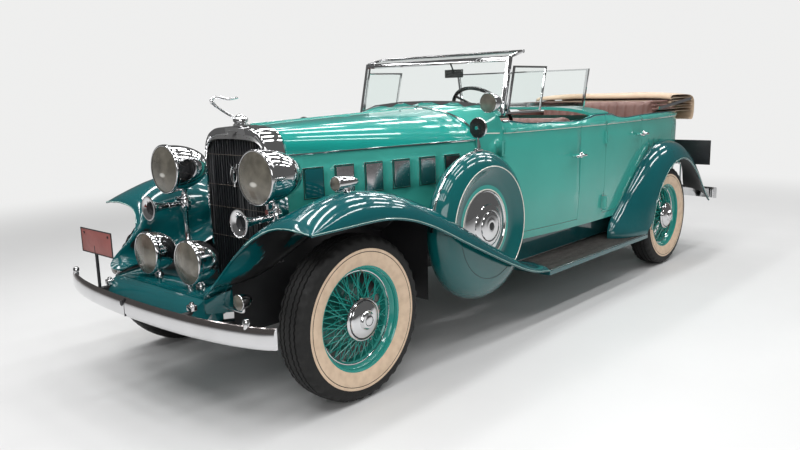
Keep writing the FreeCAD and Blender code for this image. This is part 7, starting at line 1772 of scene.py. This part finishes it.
@dataclass
class Cushion:
    """A pleated leather cushion, blown up as cloth and then sewn into channels."""

    name: str
    centre: Point
    size: Point
    lean: float = 0.0
    pleat: float = 0.082
    voxel: float = 0.011
    pressure: float = 4.0
    cap: float = 0.018
    face: str = "top"

    def shape(self) -> Mesh:
        """Shapes the cushion before it is blown up, in its own frame."""
        mesh = Mesh().box((0, 0, 0), tuple(size - 0.022 for size in self.size), 0.03, 4)
        bmesh.ops.subdivide_edges(mesh.bm, edges=mesh.bm.edges, cuts=2, use_grid_fill=True)
        return mesh

    def swell(self, thing: bpy.types.Object) -> None:
        """Blows the cushion up with Blender's cloth and limits how far it moves.

        Args:
            thing: The cushion's object.
        """
        before = [vert.co.copy() for vert in thing.data.vertices]
        cloth = thing.modifiers.new("cloth", "CLOTH")
        cloth.settings.use_pressure = True
        cloth.settings.uniform_pressure_force = self.pressure
        cloth.settings.effector_weights.gravity = 0.0
        cloth.settings.quality = 4
        scene = bpy.context.scene
        for frame in range(1, 15):
            scene.frame_set(frame)
        swollen = bpy.data.meshes.new_from_object(thing.evaluated_get(bpy.context.evaluated_depsgraph_get()))
        thing.modifiers.clear()
        for vert, start, end in zip(thing.data.vertices, before, swollen.vertices):
            move = end.co - start
            vert.co = start + move * min(1.0, self.cap / max(move.length, 1e-9))
        bpy.data.meshes.remove(swollen)
        scene.frame_set(1)

    def build(self, shop: Shop, replaces: Sequence[str]) -> None:
        """Adds the cushion to the body.

        Args:
            shop: The shop.
            replaces: The solids that it stands for.
        """
        data = bpy.data.meshes.new(self.name)
        mesh = self.shape()
        mesh.bm.to_mesh(data)
        mesh.bm.free()
        thing = bpy.data.objects.new(self.name, data)
        bpy.context.scene.collection.objects.link(thing)
        remesh = thing.modifiers.new("remesh", "REMESH")
        remesh.mode = "VOXEL"
        remesh.voxel_size = self.voxel
        fine = bpy.data.meshes.new_from_object(thing.evaluated_get(bpy.context.evaluated_depsgraph_get()))
        thing.modifiers.clear()
        thing.data = fine
        self.swell(thing)
        self.sew(thing.data)
        place = Matrix.Translation(self.centre) @ Matrix.Rotation(self.lean, 4, "X")
        thing.data.transform(place)
        thing.data.materials.clear()
        thing.data.materials.append(shop.material(LEATHER))
        thing.data.shade_smooth()
        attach(thing, "body")
        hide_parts(*replaces)
        LOG.info("%s: %d faces", self.name, len(thing.data.polygons))

    def sew(self, data: bpy.types.Mesh) -> None:
        """Presses the sewn channels and the welt into the cushion's seat face."""
        half_x, half_y, half_z = (size / 2 for size in self.size)
        reach = half_x - 0.05
        for vert in data.vertices:
            x, y, z = vert.co
            along, depth, across = (y, z, half_y) if self.face == "top" else (z, -y, half_z)
            limit = half_z if self.face == "top" else half_y
            if depth < limit * 0.35 or abs(x) > reach:
                continue
            phase = ((x + reach) / self.pleat) % 1.0
            groove = math.exp(-(min(phase, 1 - phase) / 0.11) ** 2)
            edge = min(1.0, max(0.0, (across * 0.93 - abs(along)) / 0.05))
            press = 0.011 * groove * edge
            if self.face == "top":
                vert.co.z -= press
            else:
                vert.co.y += press


@dataclass
class Seats:
    """The two bench seats on their boxes."""

    def build(self, shop: Shop) -> None:
        """Adds cushions, backs and boxes."""
        for name, node, half, y0, top, back_top in (("front", "front_seat", 0.61, -0.238, 0.93, 1.29),
                                                    ("rear", "rear_seat", 0.585, 1.35, 1.03, 1.372)):
            cushion = Cushion(f"{name}_cushion", (0, y0 + 0.25, top - 0.09), (2 * half - 0.02, 0.492, 0.176))
            cushion.build(shop, (node,))
            height = back_top - top + 0.18
            lean = math.atan2(0.11, height)
            middle = (0, y0 + 0.5 + 0.055 + 0.0755, (top - 0.18 + back_top) / 2)
            Cushion(f"{name}_back", middle, (2 * half - 0.02, 0.138, height - 0.015), -lean, face="front",
                    ).build(shop, (node,))
            base = {"front": 0.571, "rear": 0.718}[name]
            box = Mesh().box((0, y0 + 0.325, (base + top - 0.181) / 2), (2 * half - 0.08, 0.57, top - 0.181 - base),
                             0.012, 3)
            shop.add(f"{name}_seat_box", box, LEATHER)


@dataclass
class FoldedTop:
    """The cloth top, folded in layers behind the rear seat, with the pads beside it."""

    half_width: float = 0.672
    layers: int = 3
    start_y: float = 2.03
    end_y: float = 2.615
    low_z: float = 1.215
    crest_z: float = 1.408
    thickness: float = 0.0016

    def path(self) -> list[tuple[float, float]]:
        """Returns the folded cloth's line in the side view, inner layers first."""
        line = []
        pitch = (self.crest_z - self.low_z - 0.035) / (self.layers * 2)
        inner0, inner1 = self.start_y + 0.055, self.end_y - 0.06
        z = self.low_z + 0.022
        for layer in range(self.layers * 2):
            ends = (inner0, inner1) if layer % 2 == 0 else (inner1, inner0)
            for step in range(13):
                share = step / 12
                line.append((ends[0] + (ends[1] - ends[0]) * share, z + 0.006 * math.sin(share * math.pi)))
            way = 1 if layer % 2 == 0 else -1
            for turn in (0.25, 0.5, 0.75):
                angle = math.pi * turn
                line.append((ends[1] + way * pitch * 0.5 * math.sin(angle),
                             z + pitch * 0.5 * (1 - math.cos(angle))))
            z += pitch
        line = line[:-3]
        for y, z, turns in ((self.start_y, self.crest_z, ((0.02, 0.05), (0.035, 0.014), (0.09, 0.002), (0.24, 0.0),
                                                          (0.4, 0.002))),
                            (self.end_y, self.crest_z, ((-0.11, 0.008), (-0.04, 0.03), (-0.008, 0.07),
                                                        (0.0, 0.12))),
                            (self.end_y, self.low_z, ((-0.004, -0.01), (-0.018, 0.04), (-0.05, 0.062),
                                                      (-0.11, 0.05)))):
            line += [(y + along, z - down) for along, down in turns]
        return line

    def smooth_path(self, points: Sequence[tuple[float, float]]) -> list[tuple[float, float]]:
        """Returns a line with its corners cut."""
        line = [points[0]]
        for first, second in zip(points, points[1:]):
            for share in (0.25, 0.75):
                line.append(tuple(a * (1 - share) + b * share for a, b in zip(first, second)))
        return line + [points[-1]]

    def cloth(self) -> tuple[Mesh, float]:
        """Shapes the folded sheet and returns it with the length it was cut to."""
        mesh = Mesh()
        line = self.smooth_path(self.path())
        length = sum(math.dist(a, b) for a, b in zip(line, line[1:]))
        columns = 44
        verts = [mesh.bm.verts.new((-self.half_width, y, z)) for y, z in line]
        edges = [mesh.bm.edges.new(pair) for pair in zip(verts, verts[1:])]
        step = 2 * self.half_width / columns
        for _ in range(columns):
            made = bmesh.ops.extrude_edge_only(mesh.bm, edges=edges)
            fresh = [item for item in made["geom"] if isinstance(item, bmesh.types.BMVert)]
            edges = [item for item in made["geom"] if isinstance(item, bmesh.types.BMEdge)
                     and all(vert in fresh for vert in item.verts)]
            bmesh.ops.translate(mesh.bm, verts=fresh, vec=(step, 0, 0))
        rng = random.Random(7)
        waves = [(rng.uniform(5, 16), rng.uniform(0, math.tau), rng.uniform(3, 11)) for _ in range(5)]
        for vert in mesh.bm.verts:
            x, y, z = vert.co
            ripple = sum(math.sin(a * x + b + c * y * 2) for a, b, c in waves) / 5
            high = max(0.0, (z - self.low_z - 0.05) / (self.crest_z - self.low_z))
            bow = 0.03 * (x / self.half_width) ** 4
            vert.co.z += 0.005 * ripple * high - bow * high
            vert.co.y += 0.004 * math.sin(9 * x + 4 * z) - 0.02 * (x / self.half_width) ** 4
        bmesh.ops.recalc_face_normals(mesh.bm, faces=mesh.bm.faces)
        return mesh, length

    def build(self, shop: Shop) -> None:
        """Adds the cloth and the pads at its ends."""
        mesh, length = self.cloth()
        piece = shop.add("folded_top_cloth", mesh, TOP_CLOTH, replaces=("folded_top",), angle=math.radians(80))
        solid = piece.modifiers.new("thickness", "SOLIDIFY")
        solid.thickness = self.thickness
        solid.offset = 0.0
        pads = Mesh()
        for side in Side:
            for index in range(3):
                middle = (side.value * (0.655 - 0.012 * index), 1.935 + 0.012 * index, 1.272 + 0.03 * index)
                pads.box(middle, (0.03, 0.44, 0.02), 0.008, 3)
        shop.add("top_bows", pads, LEATHER)


def main() -> None:
    """Builds the car, one sub-assembly after the other."""
    logging.basicConfig(level=logging.INFO, format="%(message)s")
    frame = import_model()
    shop = Shop(frame)
    Studio().build()
    Coachwork().build(shop)
    Underparts().build(shop)
    for corner, side, x, y in (("front_left", Side.LEFT, FRONT_WHEEL_X, FRONT_AXLE_Y),
                               ("front_right", Side.RIGHT, FRONT_WHEEL_X, FRONT_AXLE_Y),
                               ("rear_left", Side.LEFT, REAR_WHEEL_X, REAR_AXLE_Y),
                               ("rear_right", Side.RIGHT, REAR_WHEEL_X, REAR_AXLE_Y)):
        RoadWheel(corner, side, x, y).build(shop)
    FrontLamps().build(shop)
    RadiatorDress().build(shop)
    for side in Side:
        SpareWheel(side).build(shop)
    Bonnet().build(shop)
    Stripes().build(shop)
    FenderTrim().build(shop)
    StepMats().build(shop)
    Bumpers().build(shop)
    TailLamps().build(shop)
    Cockpit().build(shop)
    Seats().build(shop)
    FoldedTop().build(shop)


if __name__ == "__main__":
    main()
